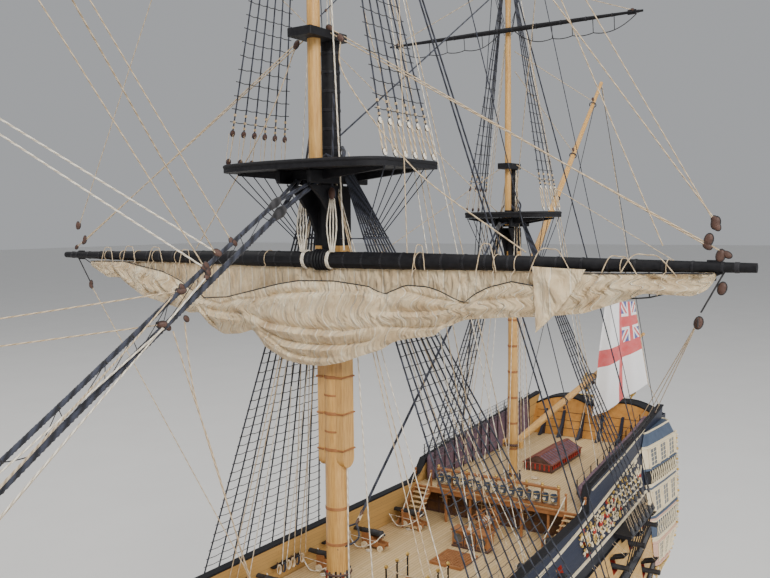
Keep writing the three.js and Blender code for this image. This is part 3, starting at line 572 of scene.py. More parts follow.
def sailCloth():
    m = startMaterial("sailCloth", 0.82, Sheen_Weight=0.25, Sheen_Roughness=0.4,
                      Subsurface_Weight=0.12,
                      Subsurface_Scale=0.002)
    m["shader"].inputs["Subsurface Radius"].default_value = (1.0, 0.75, 0.5)
    split = addNode(m, "ShaderNodeSeparateXYZ", {"Vector": paintSpace(m, source="lie")})
    wander = times(m, noise(m, paintSpace(m, (0.4, 1.6, 1), "lie"), 2, 2), 0.12)
    across = plus(m, split.outputs["X"], wander)
    phase = mathNode(m, "ABSOLUTE", minus(m, mathNode(
        m, "FRACT", mathNode(m, "DIVIDE", across, seamSpacing)), 0.5))
    seam = ramp(m, phase, [(0.0, (1, 1, 1)), (0.022, (1, 1, 1)), (0.05, (0, 0, 0))])
    stitch = addNode(m, "ShaderNodeTexWave",
                     {"Vector": paintSpace(m, (0, 6, 0), "lie"), "Scale": 1.0},
                     bands_direction="Y").outputs["Fac"]
    soft = noise(m, paintSpace(m, (26,) * 3), 4, 5, 0.55)
    weaveSpace = {"Scale": 9.0, "Distortion": 1.0}
    warp = addNode(m, "ShaderNodeTexWave", {"Vector": paintSpace(m, source="lie"), **weaveSpace},
                   bands_direction="X").outputs["Fac"]
    weft = addNode(m, "ShaderNodeTexWave", {"Vector": paintSpace(m, source="lie"), **weaveSpace},
                   bands_direction="Y").outputs["Fac"]
    weave = times(m, warp, weft)
    cloth = ramp(m, soft, [(0.25, (0.49, 0.345, 0.19)), (0.5, (0.68, 0.535, 0.335)),
                           (0.78, (0.85, 0.735, 0.53))])
    woven = mixColor(m, times(m, weave, 0.18), cloth, (0.55, 0.45, 0.3))
    thread = times(m, seam, plus(m, times(m, stitch, 0.3), 0.45))
    setColor(m, mixColor(m, thread, woven, (0.9, 0.83, 0.68)))
    fine = setBump(m, plus(m, weave, times(m, soft, 0.6)), 0.25, 0.00012)
    sewn = setBump(m, seam, 0.55, 0.0004, under=fine)
    crease = noise(m, paintSpace(m, (1, 0.35, 1), "lie"), 0.9, 2.2, 0.45, 1.2)
    setBump(m, crease, 0.8, 0.0045, under=sewn)
    return m["material"]


# flag: red cross and a generic crossed canton; uv from 0 to 1 from the hoist and the foot
def ensignCloth():
    m = startMaterial("ensignCloth", 0.85, Sheen_Weight=0.2)
    split = addNode(m, "ShaderNodeSeparateXYZ", {"Vector": paintSpace(m, source="lie")})
    u, v = split.outputs["X"], split.outputs["Y"]

    def band(value, centre, half):
        return mathNode(m, "LESS_THAN", mathNode(m, "ABSOLUTE", minus(m, value, centre)), half)

    red, white, blue = (0.62, 0.045, 0.05), (0.86, 0.86, 0.88), (0.035, 0.06, 0.30)
    cross = mathNode(m, "MAXIMUM", band(u, 0.5, 0.05), band(v, 0.5, 0.075))
    inCanton = times(m, mathNode(m, "LESS_THAN", u, 0.45), mathNode(m, "GREATER_THAN", v, 0.575))
    cu = mathNode(m, "DIVIDE", u, 0.45)
    cv = mathNode(m, "DIVIDE", minus(m, v, 0.575), 0.425)
    diagonal = mathNode(m, "MAXIMUM", band(minus(m, cu, cv), 0.0, 0.13),
                        band(plus(m, cu, cv), 1.0, 0.13))
    thinDiagonal = mathNode(m, "MAXIMUM", band(minus(m, cu, cv), 0.0, 0.05),
                            band(plus(m, cu, cv), 1.0, 0.05))
    whiteUpright = mathNode(m, "MAXIMUM", band(cu, 0.5, 0.17), band(cv, 0.5, 0.2))
    thinUpright = mathNode(m, "MAXIMUM", band(cu, 0.5, 0.1), band(cv, 0.5, 0.13))
    canton = mixColor(m, diagonal, blue, white)
    canton = mixColor(m, thinDiagonal, canton, red)
    canton = mixColor(m, whiteUpright, canton, white)
    canton = mixColor(m, thinUpright, canton, red)
    field = mixColor(m, cross, white, red)
    flag = mixColor(m, inCanton, field, canton)
    fade = noise(m, paintSpace(m, (60,) * 3), 4, 4)
    setColor(m, mixColor(m, times(m, fade, 0.25), flag, (0.7, 0.68, 0.66)))
    setBump(m, noise(m, paintSpace(m, (900,) * 3), 3, 2), 0.3, 0.0001)
    return m["material"]


def walnutBase():
    m = startMaterial("walnutBase", 0.32, Coat_Weight=0.5, Coat_Roughness=0.15)
    ring = addNode(m, "ShaderNodeTexWave",
                   {"Vector": paintSpace(m, (2.2, 26, 26)), "Scale": 1.3, "Distortion": 7.0,
                                            "Detail": 4.0, "Detail Scale": 1.4},
                                            bands_direction="Y").outputs["Fac"]
    pores = noise(m, paintSpace(m, (18, 420, 420)), 4, 3)
    shade = plus(m, times(m, ring, 0.6), times(m, pores, 0.4))
    setColor(m, ramp(m, shade, [(0.2, (0.055, 0.024, 0.011)), (0.55, (0.13, 0.06, 0.027)),
                                (0.85, (0.23, 0.115, 0.052))]))
    setBump(m, pores, 0.2, 0.0002)
    return m["material"]


def glassPane():
    m = startMaterial("glassPane", 0.12, Specular_IOR_Level=0.7, Coat_Weight=0.6,
                      Coat_Roughness=0.05)
    haze = noise(m, paintSpace(m, (90,) * 3), 4, 3)
    setColor(m, ramp(m, haze, [(0.3, (0.035, 0.045, 0.055)), (0.75, (0.10, 0.115, 0.125))]))
    return m["material"]


paintTones = {  # linear colours, low and high of each mottled paint
    "redPaint": ((0.26, 0.022, 0.016), (0.40, 0.045, 0.03)),
    "ochreInside": ((0.55, 0.31, 0.085), (0.68, 0.42, 0.15)),
    "creamPaint": ((0.66, 0.55, 0.36), (0.80, 0.70, 0.50)),
    "slatePaint": ((0.045, 0.065, 0.105), (0.085, 0.115, 0.17)),
    "blockWood": ((0.05, 0.026, 0.02), (0.125, 0.07, 0.055)),
    "gunIron": ((0.018, 0.019, 0.022), (0.05, 0.052, 0.058)),
    "carriageWood": ((0.25, 0.10, 0.035), (0.40, 0.18, 0.07)),
    "hammock": ((0.10, 0.06, 0.085), (0.20, 0.13, 0.16)),
    "skylightRed": ((0.13, 0.04, 0.03), (0.24, 0.085, 0.06)),
    "pinkPaint": ((0.55, 0.33, 0.24), (0.70, 0.46, 0.36)),
    "taffrailWood": ((0.40, 0.17, 0.035), (0.56, 0.28, 0.07)),
}


def makeMaterials():
    made = {name: plainPaint(name, *tones) for name, tones in paintTones.items()}
    made["spar"] = sparWood()
    made["sparAlong"] = sparWood("sparWoodAlong", (5, 60, 60))
    made["deck"] = deckPlanks()
    made["dark"] = darkWood()
    made["black"] = blackPaint()
    made["iron"] = blackPaint("ironBand", (0.012, 0.012, 0.015), (0.035, 0.035, 0.04), 0.4)
    made["ochre"] = hullPaint("hullOchre", (0.67, 0.42, 0.15), (0.42, 0.24, 0.08))
    made["hullBlack"] = hullPaint("hullBlack", (0.013, 0.014, 0.02), (0.03, 0.03, 0.036), 0.4)
    made["hullBlue"] = hullPaint("hullBlue", (0.016, 0.022, 0.045), (0.03, 0.035, 0.06), 0.4)
    made["copper"] = copperPlates()
    made["gilt"] = gilding()
    made["cream"] = ropeYarn("creamLine", (0.36, 0.26, 0.15), (0.66, 0.53, 0.36))
    made["white"] = ropeYarn("paleLine", (0.5, 0.43, 0.33), (0.86, 0.8, 0.68))
    made["tarred"] = ropeYarn("tarredRope", (0.006, 0.007, 0.012), (0.035, 0.04, 0.062), 1.6)
    made["ratline"] = ropeYarn("blackLine", (0.008, 0.008, 0.010), (0.035, 0.034, 0.038))
    made["sail"] = sailCloth()
    made["ensign"] = ensignCloth()
    made["walnut"] = walnutBase()
    made["glass"] = glassPane()
    return made


paint = makeMaterials()
makeCamera()
print("camera and materials ready")


# hull form, the same sections as the solids

sectionColumns = ("x", "wide", "wideZ", "full", "top", "low")
sectionRows = np.array([
    (-104, 15.6, 44, 0.42, 14.6, 2), (-97, 16.6, 40, 0.42, 15, 2), (-88, 17.6, 36, 0.42, 15.4, 2),
    (-78, 19, 32, 0.55, 15.9, 2), (-66, 21.4, 29, 0.95, 16.3, 2), (-50, 23.8, 26.5, 1.6, 16.7, 2),
    (-30, 25.4, 25, 2.3, 17.4, 2), (0, 26, 24.5, 2.8, 18.4, 2), (30, 26, 25, 2.7, 18.9, 2),
    (62, 25.3, 27, 2.2, 19.1, 2), (80, 22.6, 31, 1.8, 18.4, 2), (92, 17.2, 36, 1.6, 15.8, 3),
    (99, 10.8, 38, 1.6, 11.5, 9), (103, 5.2, 40, 1.7, 6, 20), (104.6, 1, 40, 2, 1, 33)])


def sectionAt(x):
    rows = sectionRows
    last = len(rows) - 1
    i = int(np.clip(np.searchsorted(rows[:, 0], x) - 1, 0, last - 1))
    a, b = rows[i], rows[i + 1]
    before, after = rows[max(i - 1, 0)], rows[min(i + 2, last)]
    t = min(max((x - a[0]) / (b[0] - a[0]), 0), 1)
    span = b[0] - a[0]
    m0 = (b - before) / max(b[0] - before[0], 1e-6) * span
    m1 = (after - a) / max(after[0] - a[0], 1e-6) * span
    t2, t3 = t * t, t * t * t
    found = (a * (2 * t3 - 3 * t2 + 1) + m0 * (t3 - 2 * t2 + t)
             + b * (3 * t2 - 2 * t3) + m1 * (t3 - t2))
    found[5] = a[5] + (b[5] - a[5]) * t
    return dict(zip(sectionColumns, found))


def breadth(x, z):
    s = sectionAt(x)
    if z <= s["wideZ"]:
        t = min(max((z - s["low"]) / (s["wideZ"] - s["low"]), 0), 1)
        return s["wide"] * (1 - (1 - t) ** s["full"]) ** (1 / s["full"])
    u = (z - s["wideZ"]) / (56 - s["wideZ"])
    return s["wide"] - (s["wide"] - s["top"]) * u ** 1.4 if u <= 1 else s["top"] - 0.03 * (z - 56)


waterline = 24.0
bulkheadX = 97.0  # the flat bulkhead of the head, where the topsides end
headDeck = 46.4
deckHeight = {"upper": 41.0, "quarter": 47.6, "forecastle": 49.0, "poop": 53.9}
sideThick = 1.1
poopBreak = -46.0
mizzenX, foreX = -53.75, 82.0

# top of the side, and the raked after edge of the planking
topLine = [(-98.17, 62.4), (-80, 60.6), (-66, 59.6), (-48.4, 58), (-45.6, 54.4), (8, 54), (56, 54),
           (60, 57),
           (97, 57.5)]
afterLine = [(-76.5, 2), (-85, 33.5), (-88, 38.5), (-91.3, 43), (-98.17, 62.4)]


def topAt(x):
    return float(np.interp(x, [p[0] for p in topLine], [p[1] for p in topLine]))


def afterAt(z):
    return float(np.interp(z, [p[1] for p in afterLine], [p[0] for p in afterLine]))


def sheer(x, rise):
    return rise * ((x + 5) / 100) ** 2


tierColumns = ("z", "first", "last", "count", "half", "rise")
tiers = [dict(zip(tierColumns, row)) for row in (
    (29.4, -73, 85, 15, 1.4, 2.6), (37, -67.5, 90.5, 15, 1.35, 2.2), (44.4, -73, 85, 15, 1.25, 0.8),
    (50.4, -41, -5, 4, 1.15, 0), (52, 66, 88, 2, 1.15, 0))]


closedPortDepth = 2.6


def portsOf(tier):
    return np.linspace(tier["first"], tier["last"], tier["count"])


# rows of the side: height amidships and rise to the ends; then the paint above each row
hullSide = {
    "rows": [(24, 0), (25.2, 1.2), (26.8, 2.6), (28.0, 2.6), (29.4, 2.6), (30.8, 2.6), (32.4, 2.6),
             (34.4, 2.4),
             (35.65, 2.2), (37, 2.2), (38.35, 2.2), (39.8, 1.9), (41.7, 1.3), (43.15, 0.8),
             (44.4, 0.8),
             (45.65, 0.8), (46.9, 0.6), (48.4, 0.2), (49.25, 0), (50.4, 0), (50.85, 0), (51.55, 0),
             (52, 0),
             (53.15, 0)],
    "paint": [1, 1, 0, 0, 0, 0, 1, 0, 0, 0, 0, 1, 0, 0, 0, 0, 1, 2, 2, 2, 2, 2, 2, 2],
    "step": 2.6, "portEdge": 0.98, "thinCell": 0.03,
}
hullPaints = ("ochre", "hullBlack", "hullBlue", "redPaint", "black", "creamPaint")


def sideColumns():
    edges = [-104.0, 104.6]
    for tier in tiers:
        for x in portsOf(tier):
            edges += [x - tier["half"], x + tier["half"]]
    edges += [p[0] for p in topLine[1:-1]]
    edges = sorted(edges)
    columns = [edges[0]]
    for x in edges[1:]:
        gap = x - columns[-1]
        if gap < 0.02:
            continue
        parts = max(1, int(math.ceil(gap / hullSide["step"])))
        columns += list(np.linspace(columns[-1], x, parts + 1)[1:])
    return np.array(columns)


def skinPoint(x, z, sign, grow=0.0):
    x = max(x, afterAt(z))
    return x, sign * max(breadth(x, z) + grow, 0.05), z


def isPort(x, z):
    for tier in tiers:
        if abs(z - tier["z"] - sheer(x, tier["rise"])) < tier["half"] * hullSide["portEdge"]:
            if np.min(np.abs(portsOf(tier) - x)) < tier["half"] * hullSide["portEdge"]:
                return True
    return False


def makeHullSides():
    columns = sideColumns()
    rows = hullSide["rows"]
    for sign, side in ((1, "port"), (-1, "starboard")):
        shape = newShape()
        grid = np.zeros((len(rows) + 2, len(columns), 3))
        for j, x in enumerate(columns):
            heights = [z + sheer(x, rise) for z, rise in rows] + [0, topAt(x)]
            heights[-2] = (heights[-3] + heights[-1]) / 2
            if x > bulkheadX:
                heights = [min(h, headDeck + 0.002 * n) for n, h in enumerate(heights)]
            for i, z in enumerate(heights):
                grid[i, j] = skinPoint(x, z, sign)
        tint = np.zeros((len(rows) + 1, len(columns) - 1), int)
        holes = np.zeros_like(tint, bool)
        for i in range(len(rows) + 1):
            for j in range(len(columns) - 1):
                mid = grid[i:i + 2, j:j + 2].mean(axis=(0, 1))
                tint[i, j] = hullSide["paint"][min(i, len(rows) - 1)]
                spread = np.ptp(grid[i:i + 2, j:j + 2, 0]), np.ptp(grid[i:i + 2, j:j + 2, 2])
                holes[i, j] = isPort(mid[0], mid[2]) or min(spread) < hullSide["thinCell"]
        order = slice(None, None, sign)
        up = np.array([z for z, _ in rows] + [54.5, 57.5])
        addGrid(shape, grid[order], tint[order], uv=(columns, up[order]), holes=holes[order])
        addInside(shape, sign)
        addPorts(shape, sign)
        addRails(shape, sign)
        addStrakes(shape, sign)
        addChannels(shape, sign)
        replaced = ("hull_topsides",) if sign > 0 else ()
        finishShape(shape, f"hullSide_{side}", "hull", hullPaints,
                    smooth=30, replaces=replaced)
    print("hull sides done")


# the inner face of the bulwarks and the flat top of the timbers
def addInside(shape, sign):
    columns = np.arange(-99.5, 92.01, 2.5)
    grid = []
    for x in columns:
        top = topAt(x)
        heights = [40.2, 44, 48, 49.25, 51.55, top]
        line = [(max(x, afterAt(z) + 0.6), sign * (breadth(max(x, afterAt(z)), z) - sideThick),
                 z) for z in heights]
        line.append((max(x, afterAt(top)), sign * breadth(max(x, afterAt(top)), top), top))
        grid.append(line)
    grid = np.array(grid).transpose(1, 0, 2)
    tint = np.zeros((6, len(columns) - 1), int)
    tint[5] = 4
    order = slice(None, None, -sign)
    up = np.array([40.2, 44, 48, 49.25, 51.55, 56, 57])
    holes = np.zeros_like(tint, bool)
    for tier in tiers[3:]:
        for x in portsOf(tier):
            j = np.searchsorted(columns, x) - 1
            holes[3, j] = abs(x - (columns[j] + columns[j + 1]) / 2) < 0.1
    addGrid(shape, grid[order], tint[order], uv=(columns, up[order]), holes=holes[order])


# lining of each port, and a black back face, painted shade for the dark inside of the closed decks
def addPorts(shape, sign):
    for n, tier in enumerate(tiers):
        half = tier["half"]
        for x in portsOf(tier):
            z = tier["z"] + sheer(x, tier["rise"])
            if x < afterAt(z) + 3:
                continue
            ring, back = [], []
            deep = sideThick if n > 2 else closedPortDepth
            for dx, dz in ((-half, -half), (half, -half), (half, half), (-half, half)):
                px, py, pz = skinPoint(x + dx, z + dz, sign)
                ring.append((px, py, pz))
                back.append((px, py - sign * deep, pz))
            grid = np.array([ring, back])
            if sign < 0:
                grid = grid[:, ::-1]
            addGrid(shape, grid, 3, wrap=True)
            # the black back face is painted shade: it stands in for the unlit deck inside the port
            if n <= 2:
                addFaces(shape, grid[1], [[0, 1, 2, 3]], 4)


def addRails(shape, sign):
    xs = np.array(sorted(set([p[0] for p in topLine]) | set(np.arange(-98, 97, 3.0))))
    rim = []
    for x in xs:
        top = topAt(x)
        out = breadth(max(x, afterAt(top)), top)
        rim.append([(max(x, afterAt(top)), sign * (out + o), top + h) for o, h in
                    ((0.2, 0.02), (0.27, 0.16), (0.18, 0.34), (-sideThick - 0.04, 0.34),
                     (-sideThick - 0.12, 0.16),
                     (-sideThick - 0.06, 0.02))])
    grid = np.array(rim)
    if sign > 0:
        grid = grid[:, ::-1]
    addGrid(shape, grid, 4, wrap=True)


# wales and mouldings: height, rise to the ends, depth, how proud, paint, first and last place
strakes = [
    (25.6, 2.2, 2.0, 0.34, 1, -99, 104.4), (33.4, 2.5, 1.5, 0.26, 1, -99, 104.4),
             (40.75, 1.6, 1.5, 0.22, 1, -99, 104.4), (32.5, 2.6, 0.22, 0.3, 4, -99, 104.4),
             (34.5, 2.4, 0.22, 0.3, 4, -99, 104.4), (39.9, 1.9, 0.2, 0.26, 4, -99, 104.4),
             (41.8, 1.3, 0.2, 0.26, 4, -99, 104.4), (47.0, 0.6, 0.24, 0.3, 4, -99, 97),
             (48.9, 0.5, 0.3, 0.34, 5, -99, 97), (52.4, 8.6, 0.28, 0.34, 5, -82, -4),
             (52.4, 0, 0.28, 0.34, 5, -4, 97), (55.7, 8.6, 0.2, 0.26, 5, -82, -49),
]


def addStrakes(shape, sign):
    for z0, rise, height, out, tint, first, last in strakes:
        low = z0 - height / 2
        xs = [x for x in np.append(np.arange(first, min(last, bulkheadX), 2.0),
                                   min(last, bulkheadX))
              if x > afterAt(z0 + sheer(x, rise)) + 0.2]
        if last > bulkheadX:
            xs += list(np.arange(98, 104.4, 1.2))
        section = ((-0.05, 0), (out * 0.8, 0.06), (out, height * 0.3), (out, height * 0.7),
                   (out * 0.8, height - 0.06), (-0.05, height))
        grid = []
        for x in xs:
            z = low + sheer(x, rise)
            grid.append([(x, sign * (breadth(x, z + h) + o), z + h) for o, h in section])
        grid = np.array(grid)
        if sign < 0:
            grid = grid[:, ::-1]
        addGrid(shape, grid, tint, uv=(np.arange(6) * 0.2, np.array(xs)))


channelColumns = ("first", "last", "z", "reach", "shrouds")
channels = {"fore": dict(zip(channelColumns, (50, 80, 41.2, 4.2, 9))),
            "main": dict(zip(channelColumns, (-37, 3, 41.2, 4.4, 10))),
            "mizzen": dict(zip(channelColumns, (-72, -54, 48.4, 3.2, 6)))}


def addChannels(shape, sign):
    for spec in channels.values():
        xs = np.linspace(spec["first"], spec["last"], 12)
        z = spec["z"]
        rim = []
        for x in xs:
            out = breadth(x, z)
            rim.append([(x, sign * (out - 0.4), z - 0.35),
                        (x, sign * (out + spec["reach"] - 0.1), z - 0.3),
                        (x, sign * (out + spec["reach"]), z),
                        (x, sign * (out + spec["reach"] - 0.1), z + 0.3),
                        (x, sign * (out - 0.4), z + 0.35)])
        grid = np.array(rim)
        if sign < 0:
            grid = grid[:, ::-1]
        addGrid(shape, grid, 1, uv=(np.arange(5), xs))
        for line in (grid[0], grid[-1][::-1]):
            addFaces(shape, line, [[0, 1, 2, 3, 4]], 1)
        for x in xs[1:-1:2]:  # brackets under the plank
            out = breadth(x, z)
            addPlate(shape, [(sign * (out - 0.3), z - 0.3),
                             (sign * (out + spec["reach"] * 0.75), z - 0.3),
                             (sign * (out + 0.1), z - 3.0)], athwart, x - 0.2, x + 0.2, 1)


def makeCopper():
    shape = newShape()
    xs = np.linspace(-80, 104.4, 60)
    steps = np.linspace(0, 1, 14)
    for sign in (1, -1):
        grid = []
        for x in xs:
            low = sectionAt(x)["low"]
            line = []
            for t in steps:
                z = low + (waterline - low) * t if low < waterline else waterline - 0.001 * (1 - t)
                line.append(skinPoint(x, z, sign))
            grid.append(line)
        order = slice(None, None, sign)
        grid = np.array(grid).transpose(1, 0, 2)[order]
        addGrid(shape, grid, 0, uv=(xs, waterline * steps[order]))
    finishShape(shape, "copperBottom", "hull", ("copper",),
                replaces=("hull_bottom",))
    print("copper done")


makeHullSides()
makeCopper()


# masts, tops and caps, in the proportions of the solids

mastColumns = ("x", "radius", "top", "cap", "half", "fore", "aft", "capFore", "topRadius", "offset",
               "trees",
               "topCap", "trunk", "truck", "deck", "cheekFoot", "blackFrom")
masts = {name: dict(zip(mastColumns, row)) for name, row in {
    "fore": (82, 1.45, 103, 118, 11.8, 9.2, 5, 6, 0.8, 3.2, 159, 165, 0.46, 220, 49, 68, 94.5),
    "main": (0, 1.52, 110, 126, 12.5, 9.8, 5.2, 6.2, 0.83, 3.3, 170, 176.5, 0.5, 235, 49, 71.3,
             100.1),
    "mizzen": (-53.75, 0.95, 104.1, 112.6, 7.8, 6, 3.4, 4.1, 0.55, 2.2, 145, 150, 0.34, 188, 53.9,
               91, 97.5),
}.items()}
mastLook = {"hoopStep": 4.75, "hoopProud": 0.07, "ironBands": 6, "sides": 28}


def lowerRadius(m, z):
    return m["radius"] * float(np.interp(z, (30, 52, 80, m["top"] - 1.5), (0.9, 1, 0.98, 0.92)))


def makeLowerMast(name, m):
    shape = newShape()
    x, r, top, cap = m["x"], m["radius"], m["top"], m["cap"]
    head = r * 0.78
    levels = [30, 52, 66, 80, m["blackFrom"]]
    addTurned(shape, [(0, 30)] + [(lowerRadius(m, z), z) for z in levels], (x, 0, 0),
              sides=mastLook["sides"])
    addTurned(shape, [(lowerRadius(m, z), z) for z in (m["blackFrom"], top - 1.5)] + [(0,
                                                                                       top - 1.5)],
              (x, 0, 0), sides=mastLook["sides"], paint=1)
    proud = mastLook["hoopProud"]
    z = m["deck"] + 2.6
    while z < m["cheekFoot"] - 1.5:  # thin turned hoops on the bare lower part
        rr = lowerRadius(m, z)
        addTurned(shape, [(rr - 0.02, z - 0.22), (rr + proud, z - 0.16), (rr + proud, z + 0.16),
                          (rr - 0.02, z + 0.22)],
                  (x, 0, 0), sides=mastLook["sides"], paint=3)
        z += mastLook["hoopStep"]
    z, n = m["cheekFoot"] + 2.4, 0
    while z < m["blackFrom"] - 1:
        rr = lowerRadius(m, z)
        thick = 0.24 if n % 2 == 0 else 0.14
        addTurned(shape, [(rr - 0.02, z - thick), (rr + proud, z - thick * 0.7),
                          (rr + proud, z + thick * 0.7),
                          (rr - 0.02, z + thick)], (x, 0, 0), sides=mastLook["sides"], paint=3)
        if n % 2 == 0:  # every other hoop also goes round the cheeks
            for sign in (1, -1):
                path = [(x - r * 0.86, sign * r * 0.7, z), (x - r * 0.86, sign * r * 1.34, z),
                        (x + r * 0.86, sign * r * 1.34, z), (x + r * 0.86, sign * r * 0.7, z)]
                addTube(shape, path, 0.13, 5, 3)
        z, n = z + mastLook["hoopStep"] / 2, n + 1
    for sign in (1, -1):  # cheeks, long pieces on both sides with a rounded foot
        heel = m["cheekFoot"]
        half = r * 0.8
        lower = [(x + half, m["blackFrom"]), (x + half, heel + half)] + \
            arc((x, heel + half), half, 0, -180, 9)[1:-1] + [(x - half, heel + half),
                                                             (x - half, m["blackFrom"])]
        addPlate(shape, lower, upright, sign * r * 0.45, sign * r * 1.3, 0)
        upper = [(x + half, m["blackFrom"]), (x - half, m["blackFrom"]), (x - half, top - 3.2),
                 (x + half, top - 3.2)]
        addPlate(shape, upper, upright, sign * r * 0.45, sign * r * 1.3, 1)
        bib = [(x + half * 0.6, top - 11)] + [(x + half * 0.6 + w * m["fore"] * 0.62,
                                               top - 11 + 8.6 * h) for w, h in
                                              ((0.12, 0.3), (0.3, 0.55), (0.62, 0.8),
                                               (1.0, 1.0))] + \
              [(x - half, top - 2.4), (x - half, top - 11)]
        addPlate(shape, bib, upright, sign * r * 0.95, sign * r * 1.22, 1)
    frontFish = [(-0.4, m["blackFrom"] - 3), (0.4, m["blackFrom"] - 3), (0.5, top - 4),
                 (-0.5, top - 4)]
    addPlate(shape, frontFish, athwart, x + r * 0.8, x + r * 1.18, 1)
    addTurned(shape, [(head, top - 3), (head * 0.98, cap - 0.4)], (x, 0, 0),
              sides=mastLook["sides"], paint=1)
    for n in range(mastLook["ironBands"]):
        z = top + 2.4 + (cap - top - 4.2) * n / (mastLook["ironBands"] - 1)
        addTurned(shape, [(head - 0.02, z - 0.2), (head + 0.05, z - 0.16), (head + 0.05, z + 0.16),
                          (head - 0.02, z + 0.2)], (x, 0, 0), sides=mastLook["sides"], paint=2)
    back, ahead, wide = x - head, x + m["capFore"], r * 1.2
    addCap(shape, back, ahead, wide, cap - 0.5, cap + 0.5, x + m["offset"], m["topRadius"] + 0.06,
           1)
    for sign in (1, -1):
        for n in range(5):
            at = (x + (n - 2) * 0.5, sign * (r * 0.8), top + 0.7)
            addTube(shape, [(at[0], -sign * 0.1, top + 1.7), at,
                            (at[0], sign * r * 1.5, top - 1.5)], 0.24, 6, 4)
    finishShape(shape, f"{name}LowerMast", "hull",
                ("spar", "black", "iron", "carriageWood", "tarred"),
                replaces=(f"{name}_lower_mast",))


# a cap: a block with a round hole for the upper mast, chamfered at its ends
def addCap(shape, back, ahead, wide, low, high, holeX, holeR, tint):
    outline = [(back + 0.1, -wide), (ahead - 0.1, -wide), (ahead, -wide + 0.1), (ahead, wide - 0.1),
               (ahead - 0.1, wide), (back + 0.1, wide), (back, wide - 0.1), (back, -wide + 0.1)]
    corners = [math.atan2(y, x - holeX) for x, y in outline]
    angles = np.array(sorted(corners + [a for a in np.arange(24) * 2 * math.pi / 24 - math.pi
                                        if min(abs(a - c) for c in corners) > 0.04]))
    hole = np.stack([holeX + holeR * np.cos(angles), holeR * np.sin(angles)], 1)
    outer = []
    for a in angles:
        d = np.array((math.cos(a), math.sin(a)))
        best = 99.0
        for k in range(8):
            p, q = np.array(outline[k]), np.array(outline[(k + 1) % 8])
            e = q - p
            det = d[0] * -e[1] + d[1] * e[0]
            if abs(det) > 1e-9:
                w = p - (holeX, 0)
                t = (w[0] * -e[1] + w[1] * e[0]) / det
                s = (d[0] * w[1] - d[1] * w[0]) / det
                if t > 0 and -1e-6 <= s <= 1 + 1e-6:
                    best = min(best, t)
        outer.append((holeX + d[0] * best, d[1] * best))
    outer = np.array(outer)

    def ring(points, z):
        return np.column_stack([points, np.full(len(angles), z)])

    grid = np.array([ring(hole, low), ring(outer, low), ring(outer, high), ring(hole, high),
                     ring(hole, low)])
    addGrid(shape, grid, tint, wrap=True)


topLook = {"planks": 14}


def topRim(m, shrink=0.0):
    half, fore, aft = m["half"] - shrink, m["fore"] - shrink, m["aft"] - shrink
    port = [(-aft, half), (fore * 0.62, half)] + [tuple(p) for p in curveThrough(
        [(fore * 0.62, half), (fore * 0.8, half * 0.9), (fore * 0.93, half * 0.6),
         (fore, half * 0.2)], 4)[1:]]
    key = port + [(px, -py) for px, py in port[::-1]]
    return [(m["x"] + px, py) for px, py in key]


def makeTop(name, m):
    shape = newShape()
    x, top = m["x"], m["top"]
    beam = m["radius"] * 1.3 + 0.12
    holeBack, holeFront = x - m["radius"] * 0.76 - 0.3, x + m["offset"] + m["topRadius"] + 0.3
    rim = topRim(m)
    count = len(rim)
    inside = [(min(max(px, holeBack), holeFront), float(np.clip(py, -beam - 0.3, beam + 0.3)))
              for px, py in rim]
    inside = [(holeBack if n in (0, count - 1) else p[0], p[1]) for n, p in enumerate(inside)]
    tops = [np.column_stack([rim, np.full(count, z)]) for z in (top - 0.55, top)]
    holes = [np.column_stack([inside, np.full(count, z)]) for z in (top - 0.55, top)]
    grid = np.array([holes[0], tops[0], tops[1], holes[1], holes[0]])
    addGrid(shape, grid, 0, wrap=True)
    rimPath = np.column_stack([topRim(m, 0.14), np.full(count, top + 0.2)])
    addTube(shape, np.vstack([rimPath, rimPath[:1]]), 0.27, 8, 0)
    for n in range(topLook["planks"]):  # battens that radiate over the floor of the top
        for sign in (1, -1):
            t = (n + 0.5) / topLook["planks"]
            px, py = rim[int(t * (count // 2))]
            sx, sy = inside[int(t * (count // 2))]
            addLine(shape, (sx, sign * (abs(sy) + 0.1), top + 0.03),
                    (x + (px - x) * 0.93, sign * abs(py) * 0.93,
                    top + 0.03), 0.07, 4, 2)
    for sign in (1, -1):
        y0, y1 = sorted((sign * beam, sign * (beam + 0.6)))
        addBlock(shape, (x - m["aft"] * 0.8, y0, top - 2.2), (x + m["fore"] * 0.8, y1, top - 0.6),
                 0, 0.12)
    for at in (x - m["radius"] * 0.76 - 1.0, x + m["offset"] + m["topRadius"] + 0.9):
        half = m["half"] * 0.9
        side = [(-half, top - 0.6), (-half, top - 0.85), (-beam - 0.6, top - 1.7),
                (beam + 0.6, top - 1.7),
                (half, top - 0.85), (half, top - 0.6)]
        addPlate(shape, side, athwart, at - 0.35, at + 0.35, 0)
    finishShape(shape, f"{name}Top", "hull", ("black", "iron", "dark"),
                replaces=(f"{name}_top",))


